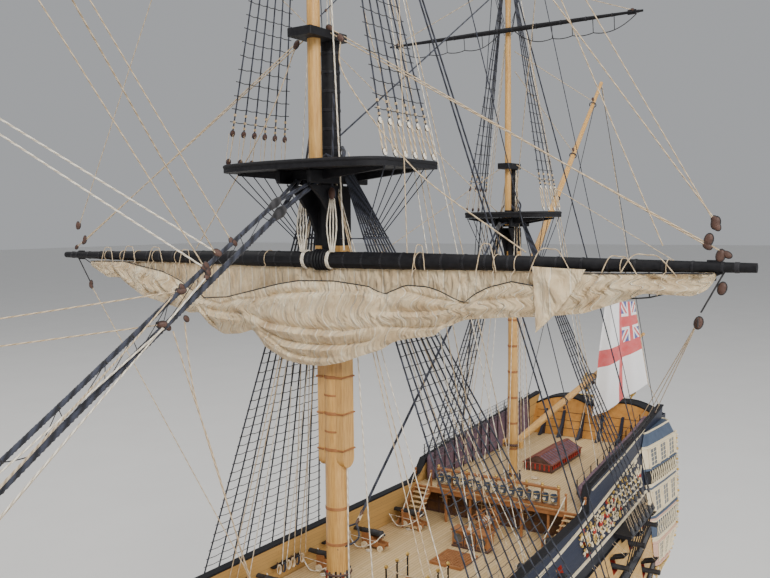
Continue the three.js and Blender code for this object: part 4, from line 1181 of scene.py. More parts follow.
def makeTopmast(name, m):
    shape = newShape()
    cx = m["x"] + m["offset"]
    r, top, trees, topCap, trunk = m["topRadius"], m["top"], m["trees"], m["topCap"], m["trunk"]
    tx = cx + r + trunk + 0.35
    beam = m["radius"] * 1.3 + 0.12
    profile = [(0, top - 1.9), (r * 1.02, top - 1.9), (r * 1.02, top + 0.1), (r, top + 16),
               (r * 0.86, trees - 6),
               (r * 0.82, trees - 2.4)]
    addTurned(shape, profile, (cx, 0, 0), sides=24)
    addTurned(shape, [(r * 1.06, top + 0.05), (r * 1.12, top + 0.1), (r * 1.12, top + 0.7),
                      (r * 1.02, top + 0.75)],
              (cx, 0, 0), sides=24, paint=1)
    addTurned(shape, [(r * 0.9, trees - 5), (r * 1.15, trees - 2.6), (r * 1.15, trees - 0.8)],
              (cx, 0, 0),
              sides=8, paint=0)
    addTurned(shape, [(r * 0.76, trees - 0.8), (r * 0.72, topCap), (0, topCap)], (cx, 0, 0),
              sides=20, paint=1)
    addBlock(shape, (cx - 0.22, -beam - 0.25, top - 0.42), (cx + 0.22, beam + 0.25, top + 0.2), 1,
             0.05)
    for sign in (1, -1):
        y0, y1 = sorted((sign * (trunk + 0.14), sign * (trunk + 0.5)))
        addBlock(shape, (cx - 6.4 * trunk, y0, trees - 0.8), (tx + 1.6, y1, trees), 1, 0.08)
    for at in (cx - r - 0.5, tx + trunk + 0.5):
        reach = 9 * trunk
        arch = [(-reach, trees + 0.2), (-reach, trees - 0.05), (0, trees - 0.4),
                (reach, trees - 0.05),
                (reach, trees + 0.2), (0, trees + 0.1)]
        addPlate(shape, arch, athwart, at - 0.2, at + 0.2, 1)
    addCap(shape, cx - r - 0.3, tx + trunk + 0.7, trunk * 2.2, topCap - 0.9, topCap + 0.3, tx,
           trunk + 0.05, 1)
    for sign in (1, -1):
        for n in range(3):
            addTube(shape, [(cx + 0.3 * n - 0.3, -sign * 0.1, trees + 1.1),
                            (cx + 0.3 * n - 0.3, sign * 0.75, trees + 0.5),
                            (cx + 0.3 * n - 0.3, sign * 1.15, trees - 1.2)], 0.14, 5, 2)
    finishShape(shape, f"{name}Topmast", "hull", ("spar", "black", "tarred"),
                replaces=(f"{name}_topmast",))


def makeTopgallantMast(name, m):
    shape = newShape()
    trunk, trees, truck = m["trunk"], m["trees"], m["truck"]
    tx = m["x"] + m["offset"] + m["topRadius"] + trunk + 0.35
    hounds = trees + (truck - trees) * 0.62
    addTurned(shape, [(0, trees - 2), (trunk, trees - 2), (trunk * 0.92, hounds - 1.2),
                      (trunk * 1.3, hounds - 0.5),
                      (trunk * 1.3, hounds), (trunk * 0.8, hounds + 0.1),
                      (trunk * 0.55, truck - 0.9)],
              (tx, 0, 0), sides=18)
    addTurned(shape, [(trunk * 0.5, truck - 0.95), (trunk * 1.5, truck - 0.85),
                      (trunk * 1.7, truck - 0.6),
                      (trunk * 1.5, truck - 0.25), (trunk * 0.7, truck - 0.05), (0, truck)],
                      (tx, 0, 0), sides=18, paint=1)
    finishShape(shape, f"{name}TopgallantMast", "hull", ("spar", "gilt"),
                replaces=(f"{name}_topgallant_mast",))


for mastName, mastRow in masts.items():
    makeLowerMast(mastName, mastRow)
    makeTop(mastName, mastRow)
    makeTopmast(mastName, mastRow)
    makeTopgallantMast(mastName, mastRow)
print("masts done")


# yards: length, middle radius, height, how far ahead of the mast

yardColumns = ("mast", "length", "radius", "z", "ahead", "node")
yards = {name: dict(zip(yardColumns, row)) for name, row in {
    "main": ("main", 102.4, 1.02, 98.4, 2.66, "main_yard"),
    "mainTopsail": ("main", 71.7, 0.62, 163, 4.66, "main_topsail_yard"),
    "mainTopgallant": ("main", 47.3, 0.4, 208, 5.82, "main_topgallant_yard"),
    "fore": ("fore", 88, 0.9, 92.2, 2.46, "fore_yard"),
    "foreTopsail": ("fore", 64.5, 0.56, 152, 4.48, "fore_topsail_yard"),
    "foreTopgallant": ("fore", 42, 0.36, 195, 5.58, "fore_topgallant_yard"),
    "crossjack": ("mizzen", 71, 0.56, 93.5, 1.62, "crossjack_yard"),
    "mizzenTopsail": ("mizzen", 48, 0.42, 136, 3.28, "mizzen_topsail_yard"),
    "mizzenTopgallant": ("mizzen", 32, 0.3, 170, 4.1, "mizzen_topgallant_yard"),
}.items()}
yardLook = {"bandStep": 2.75, "sides": 20}


def yardPoint(spec, y, dx=0.0, dz=0.0):
    return masts[spec["mast"]]["x"] + spec["ahead"] + dx, y, spec["z"] + dz


def yardRadius(spec, y):
    half = spec["length"] / 2
    return spec["radius"] * float(np.interp(abs(y) / half, (0, 0.22, 0.6, 1), (1, 1, 0.78, 0.45)))


def makeYard(name, spec):
    shape = newShape()
    half, r = spec["length"] / 2, spec["radius"]
    stops = np.array([-1, -0.999, -0.93, -0.6, -0.22, 0.22, 0.6, 0.93, 0.999, 1]) * half
    profile = [(0, stops[0])] + [(yardRadius(spec, y), y) for y in stops[1:-1]] + [(0, stops[-1])]
    addTurned(shape, profile, yardPoint(spec, 0), (0, 1, 0), sides=yardLook["sides"])
    if r > 0.5:  # eight battens make the middle eight-sided, held by hoops
        for k in range(8):
            a = math.pi / 8 + k * math.pi / 4
            c, s = math.cos(a) * r * 0.93, math.sin(a) * r * 0.93
            addLine(shape, yardPoint(spec, -half * 0.2, c, s), yardPoint(spec, half * 0.2, c, s),
                    r * 0.13, 6, 0)
    y = yardLook["bandStep"] / 2
    while y < half * 0.94:
        for sign in (1, -1):
            rr = yardRadius(spec, y) + 0.012
            addHoop(shape, yardPoint(spec, sign * y), (0, 1, 0), rr, 0.035, 0.13, 0.1,
                    yardLook["sides"], 1)
        y += yardLook["bandStep"] * (1 if r > 0.5 else 1.6)
    for sign in (1, -1):  # cleats and the arm's iron
        for dz in (1, -1):
            rr = yardRadius(spec, half * 0.93)
            addBlock(shape, (-0.12, -0.7, -0.12), (0.12, 0.7, 0.12), 0, 0.05,
                     at=yardPoint(spec, sign * half * 0.925, 0, dz * (rr + 0.05)))
        rr = yardRadius(spec, half * 0.97) + 0.05
        addTurned(shape, [(rr - 0.05, -0.25), (rr, -0.2), (rr, 0.2), (rr - 0.05, 0.25)],
                  yardPoint(spec, sign * half * 0.965), (0, 1, 0), sides=yardLook["sides"], paint=2)
    addFootropes(shape, spec)
    finishShape(shape, f"{name}Yard", "hull", ("black", "iron", "iron", "ratline"),
                replaces=(spec["node"],))


def addFootropes(shape, spec):
    half, drop = spec["length"] / 2, 1.6 + spec["radius"] * 1.6
    for sign in (1, -1):
        stops = [y * half for y in (0.05, 0.2, 0.35, 0.5, 0.65, 0.8, 0.95)]
        for y in stops[1:-1]:
            rr = yardRadius(spec, y)
            addLine(shape, yardPoint(spec, sign * y, -rr, 0.1),
                    yardPoint(spec, sign * y, -rr - 0.35, -drop), 0.07, 4, 3)
        for a, b in zip(stops[:-1], stops[1:]):
            za = -drop if a != stops[0] else 0.0
            zb = -drop if b != stops[-1] else -0.2
            start = yardPoint(spec, sign * a, -yardRadius(spec, a) - 0.35, za)
            end = yardPoint(spec, sign * b, -yardRadius(spec, b) - 0.35, zb)
            addLine(shape, start, end, 0.08, 4, 3, sag=0.25)


for yardName, yardRow in yards.items():
    makeYard(yardName, yardRow)
print("yards done")


# rigging

rigging = {
    "shroudRadius": 0.12, "topmastShroud": 0.1, "ratline": 0.06, "ratlineStep": 1.35,
    "topRatlineStep": 1.65,
    "deadeye": 0.62, "knot": 0.15, "futtock": 0.07,
}
shroudSets = {  # number, forward and aft foot on the channel, topmast shrouds, backstay feet
    "fore": {"count": 9, "from": 79.0, "to": 56.5, "upper": 6, "backstays": (53.5, 51.2)},
    "main": {"count": 10, "from": 1.5, "to": -29.0, "upper": 6, "backstays": (-32.5, -35.5)},
    "mizzen": {"count": 6, "from": -55.0, "to": -68.0, "upper": 4, "backstays": (-70.5,)},
}


def lerp(a, b, t):
    return np.asarray(a, float) + (np.asarray(b, float) - np.asarray(a, float)) * t


def addDeadeye(shape, centre, facing, size, tint):
    profile = [(0.05, -0.30), (0.75, -0.30), (0.98, -0.18), (0.90, 0.0), (0.98, 0.18), (0.75, 0.30),
               (0.05, 0.30)]
    addTurned(shape, [(r * size, h * size) for r, h in profile], centre, facing, 12, tint)


def addKnot(shape, at, size, tint):
    x, y, z = at
    points = [(x + size, y, z), (x, y + size, z), (x - size, y, z), (x, y - size, z),
              (x, y, z + size), (x, y, z - size)]
    addFaces(shape, points, [[0, 1, 4], [1, 2, 4], [2, 3, 4], [3, 0, 4], [1, 0, 5], [2, 1, 5],
                             [3, 2, 5], [0, 3, 5]], tint)


# a wooden block: a flattened egg with a scored strop round it
def addPulley(shape, at, along=(0, 0, 1), size=0.75, wood=0, strop=1):
    u, v = sideAxes(along)
    d = np.asarray(along, float) / np.linalg.norm(along)
    angles = np.arange(14) * 2 * math.pi / 14
    grid = []
    for t in np.linspace(0, math.pi, 9):
        r = size * 0.62 * math.sin(t) ** 0.8 + 0.01
        centre = np.asarray(at, float) - d * size * 0.95 * math.cos(t)
        grid.append(centre + r * (np.cos(angles)[:, None] * u * 0.62 + np.sin(angles)[:, None] * v))
    addGrid(shape, grid, wood, wrap=True)
    loop = [np.asarray(at, float) + d * math.cos(a) * size * 1.02 + v * math.sin(a) * size * 0.68
            for a in fullTurn(16)]
    addTube(shape, loop, size * 0.1, 5, strop, closed=True)


def deadeyePair(shape, low, high, size, colors, lanyards=3, thick=0.03):
    low, high = np.asarray(low, float), np.asarray(high, float)
    up = (high - low) / np.linalg.norm(high - low)
    facing = np.cross(up, (1, 0, 0))
    facing /= np.linalg.norm(facing)
    wide = np.cross(up, facing)
    addDeadeye(shape, low, facing, size, colors[0])
    addDeadeye(shape, high, facing, size, colors[0])
    for n in range(lanyards):
        off = (n - (lanyards - 1) / 2) * size * 1.1
        face = facing * size * (0.33 if n % 2 else -0.33)
        addLine(shape, low + wide * off * 0.7 + face + up * size * 0.2,
                high + wide * off + face - up * size * 0.2,
                thick, 5, colors[1])
    for centre in (low, high):
        loop = [centre + up * math.cos(a) * size * 1.0 + wide * math.sin(a) * size * 1.0
                for a in fullTurn(12)]
        addTube(shape, loop, size * 0.12, 5, colors[2], closed=True)
    return up


def mastHeadPoint(m, sign, k):
    return m["x"] + 0.9 - 0.17 * k, sign * (m["radius"] * 1.3 + 0.35), m["top"] - 0.2


def makeLowerShrouds(name, m, spec, channel):
    for sign, side in ((1, "port"), (-1, "starboard")):
        shape = newShape()
        lines = []
        for k, x in enumerate(np.linspace(spec["from"], spec["to"], spec["count"])):
            edge = breadth(x, channel["z"]) + channel["reach"] - 0.2
            low = np.array((x, sign * edge, channel["z"] + 1.05))
            head = np.array(mastHeadPoint(m, sign, k))
            high = low + (head - low) / np.linalg.norm(head - low) * 3.6
            up = deadeyePair(shape, low, high, rigging["deadeye"], (1, 2, 0))
            addLine(shape, high + up * 0.55, head, rigging["shroudRadius"], 7, 0)
            addLine(shape, high + up * 0.7, high + up * 3.2, rigging["shroudRadius"] * 1.55, 7, 0)
            for h in (0.9, 1.9, 2.9):
                addLine(shape, high + up * h, high + up * (h + 0.28), rigging["shroudRadius"] * 1.9,
                        7, 4)
            hull = (x, sign * (breadth(x, channel["z"] - 6.5) + 0.15), channel["z"] - 6.5)
            addLine(shape, low - (0, 0, 0.7), (x, sign * (edge + 0.18), channel["z"] - 0.4), 0.13,
                    5, 3)
            addLine(shape, (x, sign * (edge + 0.18), channel["z"] - 0.4), hull, 0.12, 5, 3)
            addKnot(shape, hull, 0.3, 3)
            lines.append((high + up * 0.6, head))
        stave = m["top"] - 9
        low = max(line[0][2] for line in lines) + 1.4
        addShroudBar(shape, lines, low - 0.9, 0.12, 0)
        z = low
        while z < m["top"] - 3.5:
            addRatline(shape, [(a, b) for a, b in lines if b[2] > z > a[2]], z, 1)
            z += rigging["ratlineStep"]
        addShroudBar(shape, lines, stave, 0.16, 0)
        across = lines[0][0] + (lines[0][1] - lines[0][0]) * (
            (stave - lines[0][0][2]) / (lines[0][1][2] - lines[0][0][2]))
        for n, (px, py) in enumerate(topShroudFeet(m, spec["upper"], sign)):
            t = n / (spec["upper"] - 1)
            line = lines[int(t * (len(lines) - 1) * 0.7)]
            s = (stave - line[0][2]) / (line[1][2] - line[0][2])
            addLine(shape, line[0] + (line[1] - line[0]) * s, (px, py, m["top"] - 0.5),
                    rigging["futtock"], 5, 0)
        addLine(shape, across, (across[0], 0, stave), 0.08, 5, 0)
        for x in spec["backstays"]:
            edge = breadth(x, channel["z"]) + channel["reach"] - 0.2
            base = np.array((x, sign * edge, channel["z"] + 0.9))
            head = np.array((m["x"] + m["offset"], sign * 0.9, m["trees"]))
            high = base + (head - base) / np.linalg.norm(head - base) * 3.2
            up = deadeyePair(shape, base, high, rigging["deadeye"] * 0.8, (1, 2, 0))
            addLine(shape, high + up * 0.4, head, 0.12, 6, 0)
            addLine(shape, base - (0, 0, 0.6),
                    (x, sign * (breadth(x, channel["z"] - 5) + 0.15), channel["z"] - 5),
                    0.1, 5, 3)
        colors = ("tarred", "ratline", "cream", "iron", "white")
        finishShape(shape, f"{name}Shrouds_{side}", "hull", colors)


def addShroudBar(shape, lines, z, radius, tint):
    path = [a + (b - a) * ((z - a[2]) / (b[2] - a[2])) for a, b in lines]
    if len(path) > 1:
        first = path[0] + (path[0] - path[1]) * 0.25
        last = path[-1] + (path[-1] - path[-2]) * 0.25
        addTube(shape, [first] + path + [last], radius, 6, tint)


def addRatline(shape, lines, z, tint, over=0.15):
    if len(lines) < 2:
        return
    path = []
    for a, b in lines:
        p = a + (b - a) * ((z - a[2]) / (b[2] - a[2]))
        p[2] += random.uniform(-0.05, 0.05)
        if path:
            middle = (path[-1] + p) / 2
            middle[2] -= 0.1
            path.append(middle)
        path.append(p)
        addKnot(shape, p, rigging["knot"], tint)
    path = [path[0] + (path[0] - path[2]) * over] + path + [path[-1] + (path[-1] - path[-3]) * over]
    addTube(shape, path, rigging["ratline"], 4, tint, caps=False)


def topShroudFeet(m, count, sign):
    xs = np.linspace(m["x"] + m["fore"] * 0.62, m["x"] - m["aft"] * 0.93, count)
    return [(x, sign * (m["half"] - 0.35)) for x in xs]


def makeTopmastShrouds(name, m, spec):
    head = np.array((m["x"] + m["offset"], 0.0, m["trees"] - 0.6))
    for sign, side in ((1, "port"), (-1, "starboard")):
        shape = newShape()
        lines = []
        lanyard = 2  # the paint of the lanyards, also of the seizings above them
        thick = 0.1 if sign > 0 else 0.035
        for k, (x, y) in enumerate(topShroudFeet(m, spec["upper"], sign)):
            low = np.array((x, y, m["top"] + 0.95))
            end = head + (0.35 - 0.14 * k, sign * 0.85, 0)
            high = low + (end - low) / np.linalg.norm(end - low) * 3.7
            size = 0.42 if m["half"] > 10 else 0.33
            up = deadeyePair(shape, low, high, size, (4 if sign > 0 else 5, lanyard, 0),
                             2 if sign > 0 else 3, thick)
            addLine(shape, high + up * 0.35, end, rigging["topmastShroud"], 6, 0)
            for h in (0.6, 1.3, 2.2):
                addLine(shape, high + up * h, high + up * (h + 0.3), rigging["topmastShroud"] * 1.9,
                        6, lanyard)
            lines.append((high + up * 0.4, end))
        z = lines[0][0][2] + 1.0
        while z < m["trees"] - 6:
            addRatline(shape, lines, z, 1, 0.35)
            z += rigging["topRatlineStep"]
        topgallant = np.array((head[0] + m["topRadius"] + m["trunk"] + 0.35, sign * 0.35,
                               m["trees"] + (m["truck"] - m["trees"]) * 0.6))
        for k in range(3):
            arm = (head[0] + (k - 1) * 0.8, sign * 8.7 * m["trunk"], m["trees"] + 0.25)
            addLine(shape, arm, topgallant, 0.07, 5, 0)
            addLine(shape, arm, head + (0, sign * 0.7, -7 - k), 0.06, 5, 0)
        channel = channels[name]
        heel = (spec["backstays"][-1] - 0.9,
                sign * (breadth(spec["backstays"][-1], channel["z"]) + channel["reach"] - 0.4),
                 channel["z"] + 0.6)
        addLine(shape, topgallant, heel, 0.075, 5, 0)
        finishShape(shape, f"{name}TopmastShrouds_{side}", "hull",
                    ("tarred", "ratline", "cream", "iron", "white", "blockWood"))


random.seed(11)
for mastName, mastRow in masts.items():
    makeLowerShrouds(mastName, mastRow, shroudSets[mastName], channels[mastName])
    makeTopmastShrouds(mastName, mastRow, shroudSets[mastName])
print("shrouds done")


# stays: points from the mast down, radius, thick laid rope where it passes close by
stays = {
    "mainStay": {"node": "main_stay", "radius": 0.33, "mast": "main",
                 "path": [(10.2, 0, 104.3), (28.9, 0, 92.4), (46.9, 0, 80.8), (73.5, 0, 62.3)],
                 "collar": (92, 1.4, 50)},
    "mainPreventer": {"node": None, "radius": 0.26, "mast": "main",
                      "path": [(11.0, 0, 105.4), (26.4, 0, 96.0), (46.8, 0, 83.2), (74.5, 0, 66.2)],
                      "collar": (84.2, 1.5, 62.5)},
    "foreStay": {"node": "fore_stay", "radius": 0.28, "mast": "fore",
                 "path": [(91.4, 0, 100.4), (106, 0, 87.2), (120.5, 0, 74.2)],
                 "collar": (126.4, 1.0, 69.4)},
    "mizzenStay": {"node": "mizzen_stay", "radius": 0.19, "mast": "mizzen",
                   "path": [(-47.6, 0, 101.9), (-25, 0, 81.2), (-5.5, 0, 63.3)],
                   "collar": (1.2, 1.6, 60.5)},
}


def makeStay(name, spec):
    shape = newShape()
    m = masts[spec["mast"]]
    r = spec["radius"]
    path = curveThrough(spec["path"], 2 if r < 0.2 else 40)
    lay = 2 * math.pi / (r * 5.5)
    steps = np.linalg.norm(np.diff(path, axis=0), axis=1).sum() / (r * 0.8)
    fine = np.linspace(0, 1, int(steps))
    along = np.concatenate([[0], np.cumsum(np.linalg.norm(np.diff(path, axis=0), axis=1))])
    fine = np.stack([np.interp(fine * along[-1], along, path[:, k]) for k in range(3)], 1)
    addTube(shape, fine, r, 9, 0, strands=3, lay=lay * 3)
    mouse, heart = np.array(spec["path"][0], float), np.array(spec["path"][-1], float)
    down = (np.array(spec["path"][1]) - mouse) / np.linalg.norm(np.array(spec["path"][1]) - mouse)
    addTurned(shape, [(r * 0.9, -1.1), (r * 1.7, -0.5), (r * 2.0, 0.1), (r * 1.5, 0.9),
                      (r * 0.95, 1.6)], mouse, down, 12, 1)
    for sign in (1, -1):
        head = (m["x"] + 0.6, sign * (m["radius"] + 0.75), m["top"] + 1.4)
        waist = (m["x"] + m["radius"] + 1.6, sign * (m["radius"] + 0.55), m["top"] - 0.6)
        addTube(shape, curveThrough([mouse - down * 0.2, waist, head,
                                     (m["x"] - m["radius"] - 0.3, sign * 0.3, m["top"] + 2.6)], 6),
                r * 0.85, 7, 0)
    size = r * 2.4
    addPulley(shape, heart, down, size * 1.1, 2, 0)
    addPulley(shape, heart + down * size * 3, down, size * 1.1, 2, 0)
    side = np.array((0.0, 1.0, 0.0))
    for n in range(4):
        off = side * (n - 1.5) * size * 0.3
        addLine(shape, heart + down * size * 0.4 + off, heart + down * size * 2.6 + off, 0.08, 4, 3)
    cx, cy, cz = spec["collar"]
    for sign in (1, -1):
        start = heart + down * size * 3.6
        addTube(shape, curveThrough([start,
                                     lerp(start, (cx, 0, cz), 0.5) + (0, sign * cy * 1.35, 0),
                                     (cx, sign * cy * 0.5, cz)], 5),
                r * 0.7, 6, 0)
    finishShape(shape, name, "hull", ("tarred", "ratline", "dark", "cream"),
                replaces=(spec["node"],) if spec["node"] else ())


# zigzag between the two main stays
def makeSnaking():
    shape = newShape()
    upper = curveThrough(stays["mainPreventer"]["path"], 12)
    lower = curveThrough(stays["mainStay"]["path"], 12)
    points = []
    for n, t in enumerate(np.linspace(0.04, 0.97, 26)):
        line = upper if n % 2 else lower
        points.append(line[int(t * (len(line) - 1))] + (0, 0.05, 0))
    for a, b in zip(points[:-1], points[1:]):
        addLine(shape, a, b, 0.055, 4, 0, sag=0.12)
    for p in points:
        addKnot(shape, p, 0.36, 0)
    finishShape(shape, "staySnaking", "hull", ("ratline",))


for stayName, staySpec in stays.items():
    makeStay(stayName, staySpec)
makeSnaking()
print("stays done")

lightStays = [  # node, upper end, lower end, radius
    ("main_topmast_stay", (6.15, 0, 168.2), (80.7, 0, 105.05), 0.2),
    (None, (5.9, 0, 164.5), (82.5, 0.6, 101.5), 0.14), (None, (6.9, 0, 203), (87, 0, 160.5), 0.1),
    (None, (88.3, 0, 157.5), (146.5, 0, 82.5), 0.18), (None, (88.4, 0, 155), (139, 0, 79), 0.14),
    (None, (89.6, 0, 192), (170, 0, 94.5), 0.1), (None, (89.9, 0, 186), (158, 0, 88.5), 0.09),
    (None, (-50, 0, 143.5), (0.9, 0, 112.5), 0.12), (None, (-48.6, 0, 168), (2.6, 0, 128), 0.08),
]


def makeLightStays():
    shape = newShape()
    for _, a, b, r in lightStays:
        addTube(shape, [lerp(a, b, t) for t in np.linspace(0, 1, 12)], r, 7, 0)
        for end, other in ((a, b), (b, a)):
            p = lerp(end, other, 0.035)
            addPulley(shape, p, np.asarray(other, float) - end, r * 3.2, 1, 0)
    finishShape(shape, "topmastStays", "hull", ("tarred", "blockWood"),
                replaces=("main_topmast_stay",))


makeLightStays()


# furled courses, in feet on the main yard: lower outline, raised foot, then the folds between

furl = {
    "low": [(-44.2, 96.6), (-40.6, 95.1), (-37.9, 95.2), (-35.2, 93.8), (-33.1, 92.7),
            (-30.1, 92.1), (-26, 91.3),
            (-22.6, 90.6), (-21, 90.8), (-18.9, 89.1), (-16.3, 88), (-13.1, 88.3), (-10.8, 89),
            (-8.9, 86.9),
            (-5.2, 85.4), (-2.4, 85), (0.9, 85.1), (4, 85.8), (6.4, 86.7), (9.7, 87.8),
            (11.5, 88.9), (13.6, 89.4),
            (17, 89.9), (17.8, 90.7), (20.9, 92), (25.7, 92.5), (30, 92.8), (34.7, 93.4),
            (39.3, 95), (40.8, 95.7),
            (45.6, 95.6), (47, 96.3), (47.6, 97.4)],
    "foot": [(-44.2, 97.5), (-36, 97.6), (-32, 96.9), (-27.8, 96.3), (-23.8, 95), (-19.5, 92.9),
             (-14.8, 93.2),
             (-9.7, 94.3), (-5.2, 95.3), (-1.9, 95.8), (3.6, 95.9), (6.7, 95.6), (8.6, 95.4),
             (10.6, 94.5),
             (13.7, 95.7), (16.5, 95.6), (18.3, 95.1), (20.9, 93.9), (22.5, 95), (24.2, 95.8),
             (26.9, 96.5),
             (29.5, 96.1), (31.2, 97), (34.1, 97.5), (47.6, 97.8)],
    "head": 97.55, "thick": [(-44, 0.3), (-30, 0.9), (-15, 1.5), (-3, 2.0), (8, 1.7), (21, 1.0),
                             (30, 0.9), (40, 0.8),
                             (47.6, 0.35)],
    "columns": 470, "front": 56, "back": 12, "span": 91.8,
}
# each fold: points from starboard to port, how far it stands out, width above and below
folds = [
    ([(-9, 93.1), (-5.4, 94.1), (-2.1, 94.3), (1.5, 94.6)], -0.55, 0.22, 0.3),
    ([(-9, 94.3), (-4, 95), (1.5, 95.1), (6, 94.9)], 0.3, 0.4, 0.3),
    ([(-9.3, 92.7), (-5.5, 93.6), (-1.3, 94), (6.7, 94.5), (11.7, 94.4), (15.6, 94), (19.2, 93.5)],
     0.55, 0.16, 1.1),
    ([(-12.4, 92.7), (-10.4, 91.1), (-7.9, 90.2), (-5.6, 90), (-1, 89.7), (4.1, 89.7), (8.1, 90.4),
      (10.7, 90.6)],
     -0.7, 0.5, 0.16),
    ([(-11, 90.6), (-7.9, 89.6), (-1, 89.1), (4.1, 89.2), (8.1, 89.9)], 0.5, 0.2, 0.5),
    ([(-10.4, 91), (-8.6, 89.4), (-5.6, 88.2), (-2.1, 87.8), (1.2, 87.8), (5.1, 88.1), (8.1, 88.7),
      (10.7, 90.3)],
     -0.75, 0.35, 0.14),
    ([(-9, 88.6), (-5.6, 87.4), (-2.1, 87.2), (1.2, 87.2), (5.1, 87.6)], 0.4, 0.2, 0.45),
    ([(-9.6, 89.4), (-8, 88.4), (-5.8, 87.3), (-3.8, 86.4), (-1, 86), (2.6, 86.3)], -0.6, 0.3,
     0.12),
    ([(-9.4, 88.2), (-7, 86.9), (-4, 85.9), (0, 85.6), (4, 86.2)], 0.35, 0.3, 0.4),
    ([(9.3, 92.4), (13.7, 92.6), (16.4, 92.7), (19.2, 93.1), (20.9, 93.9)], -0.6, 0.45, 0.14),
    ([(9.3, 92.0), (13.7, 92.1), (16.4, 92.2), (19.8, 92.9)], 0.4, 0.14, 0.5),
    ([(9.6, 90.6), (12.6, 90.7), (14.6, 90.7), (17.4, 91), (20, 92.3)], -0.6, 0.3, 0.12),
    ([(13, 95.1), (17, 94.3), (20.4, 94)], -0.45, 0.25, 0.3),
    ([(22, 94.1), (26, 94.6), (29, 94.9)], -0.5, 0.3, 0.2),
    ([(21, 93.2), (25, 93.6), (29, 93.4)], 0.35, 0.5, 0.5),
    ([(10.6, 94.6), (9.6, 91.6), (10.7, 90.3)], -0.3, 0.2, 0.3),
    ([(-20.7, 92), (-18.7, 90.1), (-17.2, 88.9)], -0.7, 0.5, 0.14),
    ([(-19.8, 91.6), (-17.3, 91.2), (-14.7, 91), (-12.5, 91.2), (-10.7, 90.8)], -0.7, 0.5, 0.13),
    ([(-19.6, 91), (-17, 90.5), (-14.2, 90.3), (-12, 90.3)], 0.5, 0.12, 0.8),
    ([(-20.4, 92.8), (-16, 92.2), (-12.6, 93), (-8, 93.4)], -0.35, 0.2, 0.3),
    ([(-13.6, 92.9), (-12.6, 91.8), (-11.2, 90.9), (-10.2, 89.2)], 0.4, 0.5, 0.2),
    ([(-31, 96.2), (-32.1, 94.8), (-32.2, 93.8), (-30.7, 93), (-28.4, 93.3)], -0.65, 0.16, 0.45),
    ([(-30.9, 95.9), (-31.4, 94.8), (-31.2, 94.1), (-30, 93.6)], 0.45, 0.3, 0.16),
    ([(-29.5, 95.4), (-28.3, 94), (-25.9, 92.7)], -0.6, 0.18, 0.5),
    ([(-28.9, 95.6), (-27.4, 94.2), (-25.2, 93.1)], 0.4, 0.4, 0.2),
    ([(-26.5, 96.4), (-25.8, 95.2), (-24.2, 94), (-22.6, 92)], -0.55, 0.2, 0.4),
    ([(-34, 97), (-30, 96.6), (-26, 96), (-22.5, 94.3)], -0.3, 0.2, 0.35),
    ([(-38.6, 97.7), (-36.9, 96), (-34.2, 93.6)], 0.5, 0.35, 0.7),
    ([(-39.3, 97.2), (-38.4, 95.8), (-37.4, 95.2)], -0.45, 0.2, 0.3),
    ([(36.9, 98), (35.7, 96.4), (34.2, 94.4), (32.9, 93.2)], -0.65, 0.16, 0.5),
    ([(36.2, 98), (35, 96.3), (33.6, 94.4)], 0.4, 0.6, 0.2),
    ([(37.9, 96.7), (35.9, 94.9), (34.5, 93.4)], -0.7, 0.15, 0.45),
    ([(37.2, 96.6), (35.4, 95), (34, 93.8)], 0.4, 0.4, 0.15),
    ([(37.8, 96.2), (40.8, 96.1), (43.7, 96.1), (46.5, 96.2), (47.3, 97.1)], 0.5, 0.3, 0.8),
    ([(40.6, 98.4), (43.2, 98.3), (45.5, 98.3), (47.2, 97.9)], 0.3, 0.5, 0.2),
    ([(39.6, 97.3), (41.6, 97.3), (44, 97.3), (46.6, 97.3)], -1.3, 0.7, 0.75),
    ([(41.5, 98.2), (42.1, 97.6), (43.6, 96.9)], 0.8, 0.2, 0.3),
    ([(-43.6, 96.9), (-41.5, 96.3), (-39.5, 96.2)], -0.3, 0.4, 0.3),
]
pinches = [(10.6, 94.6), (20.9, 94.0), (-19.8, 92.9)]  # where a buntline gathers the foot
clew = {"top": (29.4, 98.2), "tip": (30.0, 91.3), "far": (35.2, 98.0)}
courseScale = {"main": 1.0, "fore": 0.86}


# how far a fold lifts the cloth at each point, falling off on both sides of its line
def foldLift(Y, Z, points, rise, above, below):
    points = np.array(points, float)
    lengths = np.linalg.norm(np.diff(points, axis=0), axis=1)
    total, done = lengths.sum(), 0.0
    nearest = np.full(Y.shape, 1e9)
    side = np.zeros(Y.shape)
    place = np.zeros(Y.shape)
    for a, b, length in zip(points[:-1], points[1:], lengths):
        along = (b - a) / length
        t = np.clip((Y - a[0]) * along[0] + (Z - a[1]) * along[1], 0, length)
        dy, dz = Y - a[0] - along[0] * t, Z - a[1] - along[1] * t
        distance = np.hypot(dy, dz)
        closer = distance < nearest
        nearest = np.where(closer, distance, nearest)
        side = np.where(closer, along[0] * dz - along[1] * dy, side)
        place = np.where(closer, (done + t) / total, place)
        done += length
    width = np.where(side > 0, above, below)
    ends = np.clip(np.minimum(place, 1 - place) * 5, 0.15, 1)
    return rise * ends * np.exp(-(nearest / width) ** 1.5)


def smoothNoise(Y, Z, seed, scaleY, scaleZ):
    dice = np.random.RandomState(seed)
    total = np.zeros(Y.shape)
    waves, turn = 12, 6.28
    for _ in range(waves):
        fy, fz = dice.uniform(0.5, 1.6) / scaleY, dice.uniform(-1.4, 1.4) / scaleZ
        total += np.sin(Y * fy * turn + Z * fz * turn + dice.uniform(0, turn)) / waves
    return total


